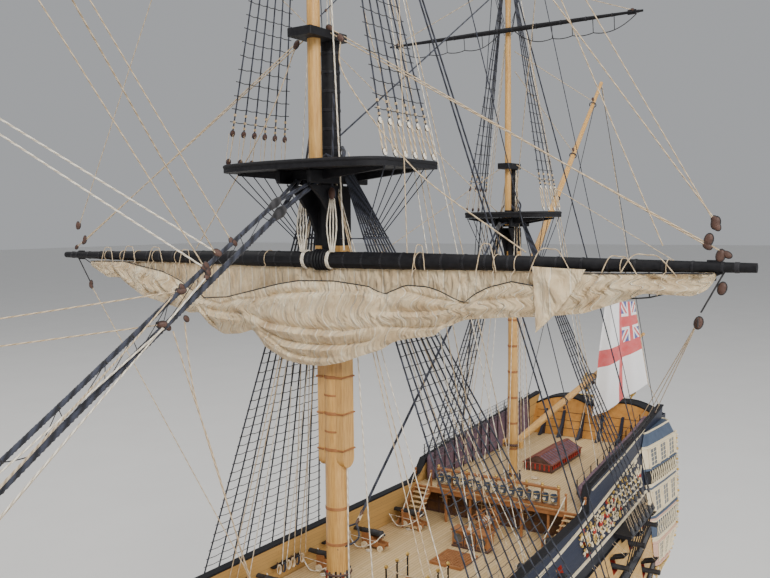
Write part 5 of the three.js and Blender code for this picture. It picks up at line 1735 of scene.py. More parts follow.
def sailFront():
    ys = np.linspace(furl["low"][0][0], furl["low"][-1][0], furl["columns"])
    low = np.interp(ys, *zip(*furl["low"]))
    raised = np.interp(ys, *zip(*furl["foot"]))
    ripple = np.convolve(low, np.ones(5) / 5, mode="same")
    low[2:-2] = ripple[2:-2]
    v = np.linspace(0, 1, furl["front"])[:, None]
    Y = np.repeat(ys[None], furl["front"], 0)
    Z = low + (raised - low) * v
    thick = np.interp(ys, *zip(*furl["thick"]))
    X = 3.0 + thick * np.sin(math.pi * (0.06 + 0.74 * v)) ** 0.6 + 0.25 * v
    for points, rise, above, below in folds:
        X = X + foldLift(Y, Z, points, rise * 0.9, above, below)
    X = X + 0.14 * smoothNoise(Y, Z, 3, 9.0, 2.4) + 0.1 * smoothNoise(Y, Z, 5, 3.0, 1.6)
    for py, pz in pinches:
        reach = np.hypot(Y - py, (Z - pz) * 1.2)
        X = X - 0.5 * np.exp(-(reach / 0.7) ** 2) + 0.16 * np.sin(np.arctan2(Z - pz,
            Y - py) * 7) * np.exp(-(reach / 2.6) ** 2)
    return ys, X, Y, Z


# the hidden side: from the yard down behind the bundle and round under it
def sailBack(ys, X, Z):
    rows = []
    low, first = Z[0], X[0]
    head = np.interp(ys, (-44.2, -42, 43, 47.6), (97.5, furl["head"], furl["head"], 97.9))
    inner = np.minimum(first - 0.35, 2.75)
    for t in np.linspace(0, 1, furl["back"]):
        down = head + (low + 0.25 - head) * t
        x = 2.72 - 0.16 * np.sin(math.pi * t) + (inner - 2.72) * t ** 3
        pull = np.zeros_like(ys)
        for py, _ in pinches:
            fan = np.exp(-((ys - py) / (0.5 + 1.8 * (1 - t))) ** 2)
            pull += 0.14 * np.sin((ys - py) / (0.25 + 0.5 * abs(0.45 - t)) * 2.2) * fan * (t < 0.6)
        rows.append((x + pull + 0.05 * np.sin(ys * 3 + t * 4), down))
    return rows


def makeFurledSail(mast):
    name, yard, scale = f"{mast}Course", yards[mast], courseScale[mast]
    ys, X, Y, Z = sailFront()
    grid, along = [], []
    spent = np.zeros_like(ys)
    last = None
    for x, z in sailBack(ys, X, Z):
        grid.append(np.stack([x, ys, z], 1))
    for n in range(furl["front"]):
        grid.append(np.stack([X[n], Y[n], Z[n]], 1))
    grid.append(np.stack([X[-1] - 0.22, Y[-1], Z[-1] + 0.02], 1))
    grid.append(np.stack([X[-1] - 0.3, Y[-1], Z[-1] - 0.25], 1))
    for row in grid:
        if last is not None:
            spent = spent + np.linalg.norm(row - last, axis=1)
        along.append(spent.copy())
        last = row
    origin, place = (np.array(yardPoint(spec, 0)) for spec in (yards["main"], yard))

    def onYard(row):
        return (np.array(row) - origin) * scale + place

    shape = newShape()
    moved = [onYard(row) for row in grid]
    drift = np.cumsum(np.concatenate([[0], 0.12 * np.sin(np.arange(len(grid) - 1) * 0.21)]))
    addSheetGrid(shape, moved, [ys + d for d in drift], along)
    footRope = newShape()
    addTube(footRope, moved[-3][::3] + (0.02, 0, 0.02), 0.075 * scale, 5, 0)
    addTube(footRope, moved[0][::6] + (0.05, 0, 0), 0.09 * scale, 5, 1)
    flap = clewFlap()
    flapMoved = [onYard(row) for row in flap]
    addSheetGrid(shape, flapMoved, [row[:, 1] + 3 for row in flap], [row[:, 2] for row in flap])
    edge = np.array([row[0] for row in flapMoved])
    addTube(footRope, edge, 0.06 * scale, 5, 1)
    cloth = finishShape(shape, name, "hull", ("sail",), 60,
                        replaces=(f"{mast}_sail_furled",))
    ropes = finishShape(footRope, f"{name}Boltropes", "hull", ("ratline", "cream"))
    area = clothArea(cloth)
    width = furl["span"] * scale * foot
    height = area / width
    print(name, "cloth", round(area, 4), "m2, flat", round(width, 3), round(height, 3))


def addSheetGrid(shape, rows, across, down):
    count = len(rows[0])
    points = np.concatenate(rows)
    faces, places = [], []
    for r in range(len(rows) - 1):
        for k in range(count - 1):
            a = r * count + k
            faces.append([a, a + 1, a + 1 + count, a + count])
            places.append([(across[r][k], down[r][k]), (across[r][k + 1], down[r][k + 1]),
                           (across[r + 1][k + 1], down[r + 1][k + 1]),
                           (across[r + 1][k], down[r + 1][k])])
    addFaces(shape, points, faces, 0, places)


# the loose port clew, a triangle of cloth that hangs in front
def clewFlap():
    rows = []
    top, tip, far = (np.array(clew[k]) for k in ("top", "tip", "far"))
    for t in np.linspace(0, 1, 22):
        left = top + (tip - top) * t
        right = far + (tip - far) * t + np.array((0.25, -0.35)) * math.sin(math.pi * t)
        s = np.linspace(0, 1, 18)[:, None]
        flat = left + (right - left) * s
        ahead = 4.15 + 0.35 * np.sin(math.pi * s[:, 0]) + 0.35 * t
        ahead += foldLift(flat[:, 0], flat[:, 1], [(30.6, 97.8), (32.2, 95.8), (33.2, 94.6)], 0.45,
                          0.35, 0.8)
        ahead += foldLift(flat[:, 0], flat[:, 1], [(30.2, 97), (30.6, 94.5), (30.3, 92.6)], -0.25,
                          0.5, 0.5)
        rows.append(np.stack([ahead, flat[:, 0], flat[:, 1]], 1))
    return rows


def clothArea(piece):
    return sum(face.area for face in piece.data.polygons)


gasketTies = [-41, -37.4, -34.2, -30.2, -25.5, -8.5, 14.5, 24.5, 27.0, 38.5, 43.0]
gasketBights = [(28.6, 33.6, 1.6), (38.2, 44.2, 1.1), (36.4, 40.4, 0.9), (14.2, 16.0, 1.9),
                (-36.6, -33.4, 1.4),
                (-41.4, -38.4, 1.2), (-31, -27.6, 1.3), (22.4, 25, 2.1),
                (-24.5, -22, 1.0)]  # ends, rise


# thin ties that pass round the yard and lie loosely on the sail
def makeGaskets(mast):
    yard, scale = yards[mast], courseScale[mast]
    shape = newShape()
    cx, _, cz = yardPoint(yard, 0)
    random.seed(5)
    for y in gasketTies:
        r = yardRadius(yard, y * scale) + 0.09
        loop = [(cx + r * math.cos(a), y * scale + 0.35 * a / 6,
                 cz + r * math.sin(a)) for a in np.linspace(-0.9, 4.6, 14)]
        addTube(shape, loop, 0.055, 5, 0)
        tail = random.uniform(1.2, 2.6) * scale
        start = np.array(loop[0])
        lean = random.uniform(-0.9, 0.9)
        addTube(shape, curveThrough([start, start + (0.55, lean * 0.4, -0.5),
                                     start + (0.75, lean, -tail)], 6), 0.05, 5, 0)
    for y0, y1, up in gasketBights:
        arch = curveThrough([(cx + 1.2, y0 * scale, cz - 1.6),
                             (cx + 0.9, (y0 * 0.75 + y1 * 0.25) * scale, cz + up * 0.85),
                             (cx + 0.6, (y0 + y1) / 2 * scale, cz + up),
                             (cx + 0.8, (y0 * 0.3 + y1 * 0.7) * scale, cz + up * 0.8),
                             (cx + 1.25, y1 * scale, cz - 0.9)], 7)
        addTube(shape, arch, 0.06, 5, 0)
    finishShape(shape, f"{mast}Gaskets", "hull", ("cream",))


for courseMast in courseScale:
    makeFurledSail(courseMast)
for courseMast in courseScale:
    makeGaskets(courseMast)
print("sails done")


# the ensign and the halyard that carries it

flagPlan = {"columns": 60, "rows": 44, "hoistTop": (-97.2, 8.6, 85.1),
            "hoistLow": (-96.9, 11.9, 67.3),
            "reachTop": (5.7, -4.2, 0.0), "reachLow": (7.9, -9.0, -7.1), "wave": 0.85}


def makeEnsign():
    shape = newShape()
    rows, across, down = [], [], []
    for t in np.linspace(0, 1, flagPlan["columns"]):
        swing = flagPlan["wave"] * t * math.sin(t * 11) + 0.25 * t * math.sin(t * 23 + 1)
        top = np.array(flagPlan["hoistTop"]) + np.array(flagPlan["reachTop"]) * t
        low = np.array(flagPlan["hoistLow"]) + np.array(flagPlan["reachLow"]) * t
        s = np.linspace(0, 1, flagPlan["rows"])[:, None]
        line = low + (top - low) * s
        line = line + np.array((0.6, 0.8,
                                0)) * (swing * (1 - 0.25 * s) + 0.15 * np.sin(s * 9 + t * 6) * t)
        rows.append(line)
        across.append(np.full(flagPlan["rows"], t))
        down.append(s[:, 0])
    addSheetGrid(shape, rows, across, down)
    cloth = finishShape(shape, "ensignCloth", "hull", ("ensign",), 60,
                        replaces=("ensign",))
    lines = newShape()
    hoist = curveThrough([rows[0][0], rows[0][-1]], 8)
    addTube(lines, hoist, 0.09, 6, 0)
    addLine(lines, (-99.45, 0.05, 132.7), flagPlan["hoistTop"], 0.07, 5, 0, sag=0.3, steps=8)
    addLine(lines, flagPlan["hoistLow"], (-96.9, 14.4, 62.65), 0.07, 5, 0)
    ropes = finishShape(lines, "ensignHalyard", "hull", ("cream",))
    print("ensign cloth", round(clothArea(cloth), 5), "m2")


makeEnsign()


# deck fittings

deckFittings = {
    "railHalf": 12.0, "buckets": 15, "bucketSize": 0.66,
    "ladder": {"head": (-46.4, 14.9, 53.8), "foot": (-39.6, 13.6, 47.8), "wide": 3.2, "treads": 9},
    "hammockFrom": -48.8, "hammockTo": -90.0, "hammockSize": 0.62, "hammockFoot": 54.1,
}
spindle = [(0.13, 0), (0.2, 0.3), (0.12, 0.6), (0.2, 0.95), (0.13, 1.15)]


def innerSide(x, z):
    return breadth(x, z) - sideThick


def addCoil(shape, at, across, drop=1.3, paintIndex=0, loops=3):
    across = np.asarray(across, float)
    for n in range(loops):
        turn = fullTurn(12)
        wide = 0.32 + 0.07 * n
        path = [np.asarray(at, float) + across * wide * math.sin(a) + np.array((0, 0,
            (math.cos(a) - 1) * drop * 0.5))
                + np.cross(across, (0, 0, 1)) * (0.14 + 0.09 * n) for a in turn]
        addTube(shape, path, 0.075, 4, paintIndex, closed=True)


def addLadder(shape, head, foot, wide, treads, tint=0, treadTint=1):
    head, foot = np.array(head, float), np.array(foot, float)
    run = foot - head
    for s in (-wide / 2, wide / 2):
        a, b = head + (0, s, 0), foot + (0, s, 0)
        addPlate(shape, [(a[0], a[2] + 0.25), (b[0] + 0.5, b[2] + 0.1), (b[0] - 0.5, b[2] - 0.2),
                         (a[0] - 0.9, a[2] - 0.25)], upright, a[1] - 0.11, a[1] + 0.11, tint)
    for n in range(treads):
        p = head + run * ((n + 0.6) / treads)
        addBlock(shape, (p[0] - 0.42, p[1] - wide / 2, p[2] - 0.1),
                 (p[0] + 0.42, p[1] + wide / 2, p[2] + 0.05),
                 treadTint, 0.03)


def addBucket(shape, at, size):
    profile = [(0, 0), (0.66, 0), (0.7, 0.05), (0.98, 1.72), (1.04, 1.8), (0.9, 1.8), (0.8, 0.6),
               (0, 0.5)]
    addTurned(shape, [(r * size, h * size * 1.25) for r, h in profile], at, sides=12, paint=1)
    for h in (0.28, 1.62):
        r = (0.72 + 0.15 * h) * size
        addTurned(shape, [(r, -0.05), (r + 0.05, 0), (r, 0.05)],
                  (at[0], at[1], at[2] + h * size * 1.25), sides=12,
                  paint=2)
    x = at[0] + size * 0.9
    mark = [(at[1] + dy * size, at[2] + (1.15 + dz) * size) for dy, dz in
            ((0, -0.55), (0.42, -0.1), (0.3, 0.4), (0, 0.22), (-0.3, 0.4), (-0.42, -0.1))]
    addPlate(shape, mark, athwart, x - 0.12, x + 0.04, 3)
    handle = [(at[0], at[1] + math.cos(a) * size * 0.9,
               at[2] + size * 2.2 + math.sin(a) * size * 0.8)
              for a in np.linspace(0, math.pi, 7)]
    addTube(shape, handle, 0.05, 4, 3)


def makePoopRail():
    shape = newShape()
    half, deck = deckFittings["railHalf"], deckHeight["poop"]
    x = poopBreak - 0.75  # middle of the rail
    for z, high in ((deck + 3.42, 0.4), (deck + 0.28, 0.5)):
        addBlock(shape, (x - 0.36, -half, z - high / 2), (x + 0.36, half, z + high / 2), 0, 0.09)
    for y in np.linspace(-half + 0.25, half - 0.25, 9):
        addBlock(shape, (x - 0.22, y - 0.2, deck + 0.4), (x + 0.22, y + 0.2, deck + 3.3), 0, 0.07)
        addTurned(shape, [(0, 0.62), (0.2, 0.5), (0.28, 0.3), (0.16, 0.1), (0.26, 0)],
                  (x, y, deck + 3.6), sides=10,
                  paint=2)
    count = deckFittings["buckets"]
    for n in range(count):
        y = -half + 0.9 + n * (2 * half - 1.8) / (count - 1)
        addBucket(shape, (x + 0.35 + 0.02 * (n % 3), y, deck + 0.95), deckFittings["bucketSize"])
    finishShape(shape, "poopRailAndBuckets", "hull",
                ("carriageWood", "slatePaint", "gilt", "creamPaint"),
                replaces=("poop_rail",))
    print("poop rail done")


def makeCabinFront():
    shape = newShape()
    low, high = deckHeight["quarter"], deckHeight["poop"] - 0.9
    half = innerSide(poopBreak - 4, 52) - 0.4
    x = poopBreak - 4
    # the bulkhead and its stiles and rails are dark wood, painted shade for the shadowed space
    # under the poop
    addBlock(shape, (x - 0.6, -half, low), (x - 0.12, half, high), 0, 0.02)
    edges = np.linspace(-half, half, 13)
    for y in edges:
        addBlock(shape, (x - 0.14, max(y - 0.18, -half), low), (x, min(y + 0.18, half), high), 1,
                 0.03)
    for z in (low + 0.3, low + 2.1, high - 0.25):
        addBlock(shape, (x - 0.13, -half, z - 0.16), (x - 0.02, half, z + 0.16), 1, 0.03)
    for n, (a, b) in enumerate(zip(edges[:-1], edges[1:])):
        if n % 3 == 1:
            for m in range(1, 3):
                y = a + (b - a) * m / 3
                addBlock(shape, (x - 0.12, y - 0.05, low + 2.2), (x - 0.04, y + 0.05, high - 0.3),
                         2, 0.01)
            for z in (low + 3.1, low + 4.0):
                addBlock(shape, (x - 0.12, a + 0.15, z - 0.05), (x - 0.04, b - 0.15, z + 0.05), 2,
                         0.01)
    # fore edge of the poop deck and the knees under it
    wide = innerSide(poopBreak, deckHeight["poop"]) - 0.15
    addBlock(shape, (poopBreak - 0.2, -wide, high - 0.1), (poopBreak + 0.12, wide, high + 0.62), 3,
             0.08)
    addBlock(shape, (poopBreak - 0.1, -wide, high + 0.6), (poopBreak + 0.22, wide, high + 0.92), 3,
             0.08)
    for y in np.linspace(-wide + 1.2, wide - 1.2, 7):
        addBlock(shape, (poopBreak - 0.6, y - 0.22, low), (poopBreak - 0.16, y + 0.22, high), 3,
                 0.08)
    finishShape(shape, "cabinFront", "hull", ("dark", "blockWood", "creamPaint", "carriageWood"),
                replaces=("cabin_bulkhead",))
    print("cabin front done")


def makeWheel():
    shape = newShape()
    deck = deckHeight["quarter"]
    hub = deck + 3.1
    for x in (poopBreak + 2.05, poopBreak + 5.45):
        for r, tube in ((1.95, 0.13), (1.5, 0.1)):
            ring = [(x, r * math.cos(a), hub + r * math.sin(a)) for a in fullTurn(32)]
            addTube(shape, ring, tube, 6, 0, closed=True)
        for k in range(10):
            a = k * math.pi / 5
            axis = (0, math.cos(a), math.sin(a))
            addTurned(shape, [(0.1, 0.3), (0.12, 0.8), (0.07, 1.2), (0.12, 1.5), (0.12, 1.95),
                              (0.06, 2.02),
                              (0.12, 2.25), (0.08, 2.5), (0, 2.54)], (x, 0, hub), axis, 7, 0)
        addTurned(shape, [(0, -0.3), (0.42, -0.28), (0.5, -0.1), (0.5, 0.1), (0.42, 0.28),
                          (0, 0.3)], (x, 0, hub),
                  (1, 0, 0), 14, 1)
    addTurned(shape, [(0, -2.1), (0.62, -2.05), (0.7, -1.8), (0.7, 1.8), (0.62, 2.05), (0, 2.1)],
              (poopBreak + 3.75, 0, hub), (1, 0, 0), 16, 0)
    for n in range(7):
        x = poopBreak + 2.6 + 0.36 * n
        addTube(shape, [(x, 0.78 * math.cos(a), hub + 0.78 * math.sin(a)) for a in fullTurn(14)],
                0.09, 4, 2, closed=True)
    for x in (poopBreak + 1.4, poopBreak + 6.1):
        addPlate(shape, [(-0.75, deck), (0.75, deck), (0.5, deck + 0.5), (0.3, hub + 0.3),
                         (-0.3, hub + 0.3),
                         (-0.5, deck + 0.5)], athwart, x - 0.16, x + 0.16, 0)
    finishShape(shape, "steeringWheel", "hull", ("carriageWood", "gilt", "white"),
                replaces=("steering_wheel",))


# compass box ahead of the wheel: three cupboards and a lamp
def makeBinnacle():
    shape = newShape()
    deck, x0, x1, half = deckHeight["quarter"], poopBreak + 7.0, poopBreak + 9.3, 3.4
    addBlock(shape, (x0, -half, deck), (x1, half, deck + 2.9), 0, 0.1)
    addBlock(shape, (x0 - 0.2, -half - 0.2, deck + 2.85), (x1 + 0.2, half + 0.2, deck + 3.1), 0,
             0.08)
    addBlock(shape, (x0 - 0.1, -half - 0.1, deck), (x1 + 0.12, half + 0.1, deck + 0.35), 1, 0.06)
    for y in (-2.25, 0, 2.25):
        addPlate(shape, [(y + dy * 0.78, deck + 1.75 + dz * 0.72) for dy,
                         dz in arc((0, 0), 1, 0, 330, 12)], athwart,
                 x1 - 0.02, x1 + 0.06, 2)
        addBlock(shape, (x1, y - 0.85, deck + 0.45), (x1 + 0.08, y + 0.85, deck + 0.85), 1, 0.03)
    for y in (-1.12, 1.12):
        addBlock(shape, (x1, y - 0.1, deck + 0.3), (x1 + 0.1, y + 0.1, deck + 2.8), 1, 0.04)
    addTurned(shape, [(0, 1.5), (0.22, 1.45), (0.3, 1.2), (0.2, 1.0), (0.24, 0.3), (0.4, 0.1),
                      (0.42, 0)],
              ((x0 + x1) / 2, -0.6, deck + 3.1), sides=12, paint=3)
    finishShape(shape, "binnacle", "hull", ("carriageWood", "blockWood", "glass", "creamPaint"))


def makeLadders():
    shape = newShape()
    spec = deckFittings["ladder"]
    for sign in (1, -1):
        head = (spec["head"][0], sign * spec["head"][1], spec["head"][2])
        foot = (spec["foot"][0], sign * spec["foot"][1], spec["foot"][2])
        addLadder(shape, head, foot, spec["wide"], spec["treads"])
        for s in (-1, 1):
            for end, up in ((head, 3.2), (foot, 3.4)):
                y = end[1] + s * (spec["wide"] / 2 + 0.1)
                addTurned(shape, [(0.2, 0), (0.2, up - 0.6), (0.28, up - 0.5), (0.16, up - 0.3),
                                  (0.26, up),
                                  (0, up + 0.2)], (end[0], y, end[2] - 0.2), sides=8, paint=2)
            top = [(head[0], head[1] + s * (spec["wide"] / 2 + 0.1), head[2] + 2.7),
                   (foot[0], foot[1] + s * (spec["wide"] / 2 + 0.1), foot[2] + 2.9)]
            addLine(shape, *top, 0.09, 5, 3, sag=0.25)
    finishShape(shape, "poopLadders", "hull", ("carriageWood", "deck", "carriageWood", "white"))
    print("wheel, binnacle and ladders done")


def addGun(shape, x, sign, portZ, deckZ):
    skin = breadth(x, portZ)
    back = skin - sideThick - 5.6
    profile = [(0, -0.75), (0.14, -0.7), (0.2, -0.5), (0.1, -0.32), (0.3, -0.2), (0.58, -0.1),
               (0.64, 0.1), (0.58, 0.25),
               (0.55, 1.8), (0.59, 1.9), (0.5, 2.1), (0.46, 3.6), (0.5, 3.7), (0.42, 3.85),
               (0.33, 6.6), (0.37, 6.75),
               (0.44, 7.3), (0.4, 7.6), (0.24, 7.62), (0.22, 7.2)]
    addTurned(shape, profile, (x, sign * back, portZ - 0.15), (0, sign, 0.02), 12, 0)
    for s in (-1, 1):
        side = [(-0.9, 0.5), (3.6, 0.5), (3.6, 2.55), (2.2, 2.65), (2.1, 2.2), (1.4, 2.15),
                (1.3, 1.75), (0.5, 1.7),
                (0.4, 1.3), (-0.9, 1.2)]
        addPlate(shape, [(sign * (back + dy), deckZ + dz) for dy, dz in side], athwart,
                 x + s * 0.66 - 0.14,
                 x + s * 0.66 + 0.14, 1)
    for dy, r in ((-0.3, 0.5), (2.9, 0.6)):
        y = sign * (back + dy)
        addTurned(shape, [(0.14, -1.25), (0.14, 1.25)], (x, y, deckZ + r), (1, 0, 0), 6, 1)
        for s in (-1, 1):
            addTurned(shape, [(0, -0.16), (r, -0.16), (r, 0.16), (0, 0.16)],
                      (x + s * 1.05, y, deckZ + r), (1, 0, 0), 14, 2)
    addBlock(shape, (x - 0.6, min(sign * (back - 0.7), sign * (back + 3.4)), deckZ + 0.75),
             (x + 0.6, max(sign * (back - 0.7), sign * (back + 3.4)), deckZ + 1.0), 1, 0.05)
    wall = sign * (skin - sideThick - 0.05)
    loop = [(x + 2.0, wall, portZ - 0.5), (x + 2.1, sign * (back + 3.6), deckZ + 0.5),
            (x + 1.5, sign * (back + 0.8), deckZ + 1.4),
            (x + 0.5, sign * (back - 0.3), portZ - 0.2),
            (x - 0.5, sign * (back - 0.3), portZ - 0.2),
            (x - 1.5, sign * (back + 0.8), deckZ + 1.4),
            (x - 2.1, sign * (back + 3.6), deckZ + 0.5), (x - 2.0, wall, portZ - 0.5)]
    addTube(shape, curveThrough(loop, 5), 0.1, 5, 3)
    for s in (-1, 1):
        addLine(shape, (x + s * 1.6, wall, portZ - 0.7),
                (x + s * 0.8, sign * (back + 0.6), deckZ + 1.5), 0.05, 4, 3)
        coil = [(x + s * 1.6 + math.cos(a) * r, sign * (back + 1.6) + math.sin(a) * r,
                 deckZ + 0.08 + 0.02 * r)
                for r in (0.25, 0.4, 0.55) for a in np.linspace(0, 5.6, 10)]
        addTube(shape, coil, 0.05, 4, 3)


def makeDeckGuns():
    for name, tier, deck in (("quarterdeck", tiers[3], deckHeight["quarter"]),
                             ("forecastle", tiers[4], deckHeight["forecastle"])):
        shape = newShape()
        for x in portsOf(tier):
            for sign in (1, -1):
                if breadth(x, tier["z"]) > 15:
                    addGun(shape, x, sign, tier["z"], deck)
        finishShape(shape, f"{name}Guns", "hull",
                    ("gunIron", "carriageWood", "creamPaint", "white"))
    print("guns done")


def addGrating(shape, x0, x1, y0, y1, z, tint=0, pitch=0.55):
    addBlock(shape, (x0 - 0.3, y0 - 0.3, z), (x0, y1 + 0.3, z + 0.5), tint, 0.05)
    addBlock(shape, (x1, y0 - 0.3, z), (x1 + 0.3, y1 + 0.3, z + 0.5), tint, 0.05)
    addBlock(shape, (x0, y0 - 0.3, z), (x1, y0, z + 0.5), tint, 0.05)
    addBlock(shape, (x0, y1, z), (x1, y1 + 0.3, z + 0.5), tint, 0.05)
    addBlock(shape, (x0, y0, z + 0.02), (x1, y1, z + 0.05), 1, 0.005)
    for x in np.arange(x0 + pitch / 2, x1, pitch):
        addBlock(shape, (x - 0.11, y0, z + 0.15), (x + 0.11, y1, z + 0.42), tint, 0.02)
    for y in np.arange(y0 + pitch / 2, y1, pitch):
        addBlock(shape, (x0, y - 0.11, z + 0.14), (x1, y + 0.11, z + 0.4), tint, 0.02)


# hatches, the guarded ladder way, pin racks with coils, and ropes round the mast foot
def makeDeckWork():
    shape = newShape()
    quarter = deckHeight["quarter"]
    addGrating(shape, -34, -28.5, -2.6, 2.6, quarter)
    addGrating(shape, -11.5, -6.5, -2.2, 2.2, quarter)
    addGrating(shape, 60.5, 66, -2.4, 2.4, deckHeight["forecastle"])
    addGrating(shape, 70, 76, -2.4, 2.4, deckHeight["forecastle"])
    x0, x1, y0, y1 = -21.2, -15.2, -2.6, 4.6
    addBlock(shape, (x0, y0, quarter), (x1, y1, quarter + 0.06), 1, 0.01)
    for a, b in (((x0, y0), (x1, y0 + 0.3)), ((x0, y1 - 0.3), (x1, y1)), ((x0, y0), (x0 + 0.3, y1)),
                 ((x1 - 0.3, y0), (x1, y1))):
        addBlock(shape, (a[0], a[1], quarter), (b[0], b[1], quarter + 0.55), 0, 0.06)
    corners = [(x0, y1), (x0, y0), ((x0 + x1) / 2, y0), (x1, y0), (x1, y1), ((x0 + x1) / 2, y1)]
    for n, (x, y) in enumerate(corners):
        addTurned(shape, [(0.2, 0), (0.14, 0.4), (0.14, 3.2), (0.22, 3.3), (0.14, 3.4)],
                  (x, y, quarter + 0.4), sides=8, paint=1)
        addTurned(shape, [(0.14, 0), (0.3, 0.2), (0.3, 0.4), (0, 0.66)], (x, y, quarter + 3.8),
                  sides=10, paint=2)
        after = corners[(n + 1) % len(corners)]
        for z in (1.9, 3.3):
            if n != 0:
                addLine(shape, (x, y, quarter + 0.4 + z), (*after, quarter + 0.4 + z), 0.09, 5, 4,
                        sag=0.22)
    # pin racks along the sides, each with its row of coils
    for sign in (1, -1):
        for first, last in ((-26.5, -19.5), (-14.5, -7.5), (-2.5, 3.5), (-64, -57)):
            deck = deckHeight["poop"] if last < poopBreak else quarter
            z = deck + 3.1
            y = [sign * innerSide(x, z) for x in (first, last)]
            inside = min(abs(y[0]), abs(y[1]))
            addBlock(shape, (first, min(sign * (inside - 0.75), sign * inside), z - 0.12),
                     (last, max(sign * (inside - 0.75), sign * inside), z + 0.12), 1, 0.04)
            for k, x in enumerate(np.arange(first + 0.5, last, 1.1)):
                at = (x, sign * (inside - 0.5), z)
                addTurned(shape, [(0.07, -0.6), (0.09, 0.05), (0.13, 0.2), (0.1, 0.6), (0, 0.66)],
                          at, sides=6, paint=5)
                addCoil(shape, (x, sign * (inside - 0.62), z + 0.3), (sign, 0, 0), 1.5,
                        3 + (k % 3 != 1))
    ropeTints = (3, 4, 1, 4, 3, 6, 4, 3)
    for k in range(32):
        a = k * math.pi / 16 + 0.05
        tall = 57.2 + 0.5 * ((k * 7) % 5) / 5
        c, s = math.cos(a), math.sin(a)
        addLine(shape, (1.62 * c, 1.62 * s, quarter + 2.6), (1.6 * c, 1.6 * s, tall), 0.12, 5,
                ropeTints[k % 8])
    ring = [(1.72 * math.cos(a), 1.72 * math.sin(a)) for a in fullTurn(32)]
    for z, tint in ((57.1, 5), (52.2, 5), (50.2, 1)):
        addTube(shape, [(x, y, z) for x, y in ring], 0.16, 5, tint, closed=True)
    for k in range(10):
        a = k * math.pi / 5
        at = (mizzenX + 1.15 * math.cos(a), 1.15 * math.sin(a), 56.9)
        addCoil(shape, at, (-math.sin(a), math.cos(a), 0), 1.9, 3 + k % 2)
    for at, wide in (((-59.5, -4.2), 0.9), ((-57.5, 3.4), 0.8), ((-60.5, 1.4), 0.7),
                     ((-52.0, -3.0), 0.7)):
        for r in np.linspace(0.3, wide, 4):
            loop = [(at[0] + r * math.cos(a), at[1] + r * math.sin(a),
                     deckHeight["poop"] + 0.15) for a in
                    fullTurn(16)]
            addTube(shape, loop, 0.1, 4, 4, closed=True)
    finishShape(shape, "deckWork", "hull",
                ("carriageWood", "black", "gilt", "tarred", "cream", "blockWood", "redPaint"))
    print("hatches, racks and coils done")


# rolled hammocks stowed in the nettings of the poop, and the cranes and lines that hold them
def makeHammocks():
    spec = deckFittings
    rng = np.random.default_rng(11)
    shape = newShape()
    for sign in (1, -1):
        xs = np.arange(spec["hammockFrom"], spec["hammockTo"], -1.08)
        for x in xs:
            z = topAt(x) + 0.1
            deck = spec["hammockFoot"] if sign < 0 else z - 2.4
            y = sign * (innerSide(x, z) - 0.72)
            size = spec["hammockSize"] * rng.uniform(0.92, 1.06)
            lean = rng.uniform(-0.08, 0.08)
            tall = z + (0.9 if sign < 0 else -0.1)
            path = [(x + lean * t, y + sign * 0.1 * math.sin(3 * t), deck + (tall - deck) * t)
                    for t in np.linspace(0, 1, 8)]
            radii = size * np.array([0.55, 0.95, 0.88, 1.0, 0.86, 1.0, 0.92, 0.5])
            addTube(shape, path, radii, 9, 0)
    for sign in (1, -1):
        for x in np.arange(spec["hammockFrom"] - 0.5, spec["hammockTo"], -3.6):
            z = topAt(x)
            y = sign * (innerSide(x, z) - 1.5)
            out = sign * (breadth(x, z) - 0.3)
            up = 2.6 if sign < 0 else 0.6
            addTube(shape, [(x, y, spec["hammockFoot"] if sign < 0 else z - 2), (x, y, z + up)],
                    0.11, 5, 1)
            addTube(shape, [(x, out, z), (x, out, z + up)], 0.09, 5, 1)
        ends = np.arange(spec["hammockFrom"], spec["hammockTo"], -1.8)
        for up in ((0.6, 1.2, 1.9, 2.6) if sign < 0 else (0.6,)):
            for inner in (True, False):
                line = [(x, sign * (innerSide(x, topAt(x)) - 1.5 if inner else breadth(x,
                    topAt(x)) - 0.3), topAt(x) + up)
                        for x in ends]
                addTube(shape, line, 0.045, 4, 2)
        if sign < 0:
            for x in np.arange(spec["hammockFrom"], spec["hammockTo"], -0.75):
                for y in (innerSide(x, topAt(x)) - 1.5, breadth(x, topAt(x)) - 0.3):
                    addLine(shape, (x, -y, topAt(x) + 0.5), (x - 0.7, -y, topAt(x) + 2.6), 0.03, 3,
                            2)
    finishShape(shape, "stowedHammocks", "hull", ("hammock", "black", "ratline"))
    print("hammocks done")


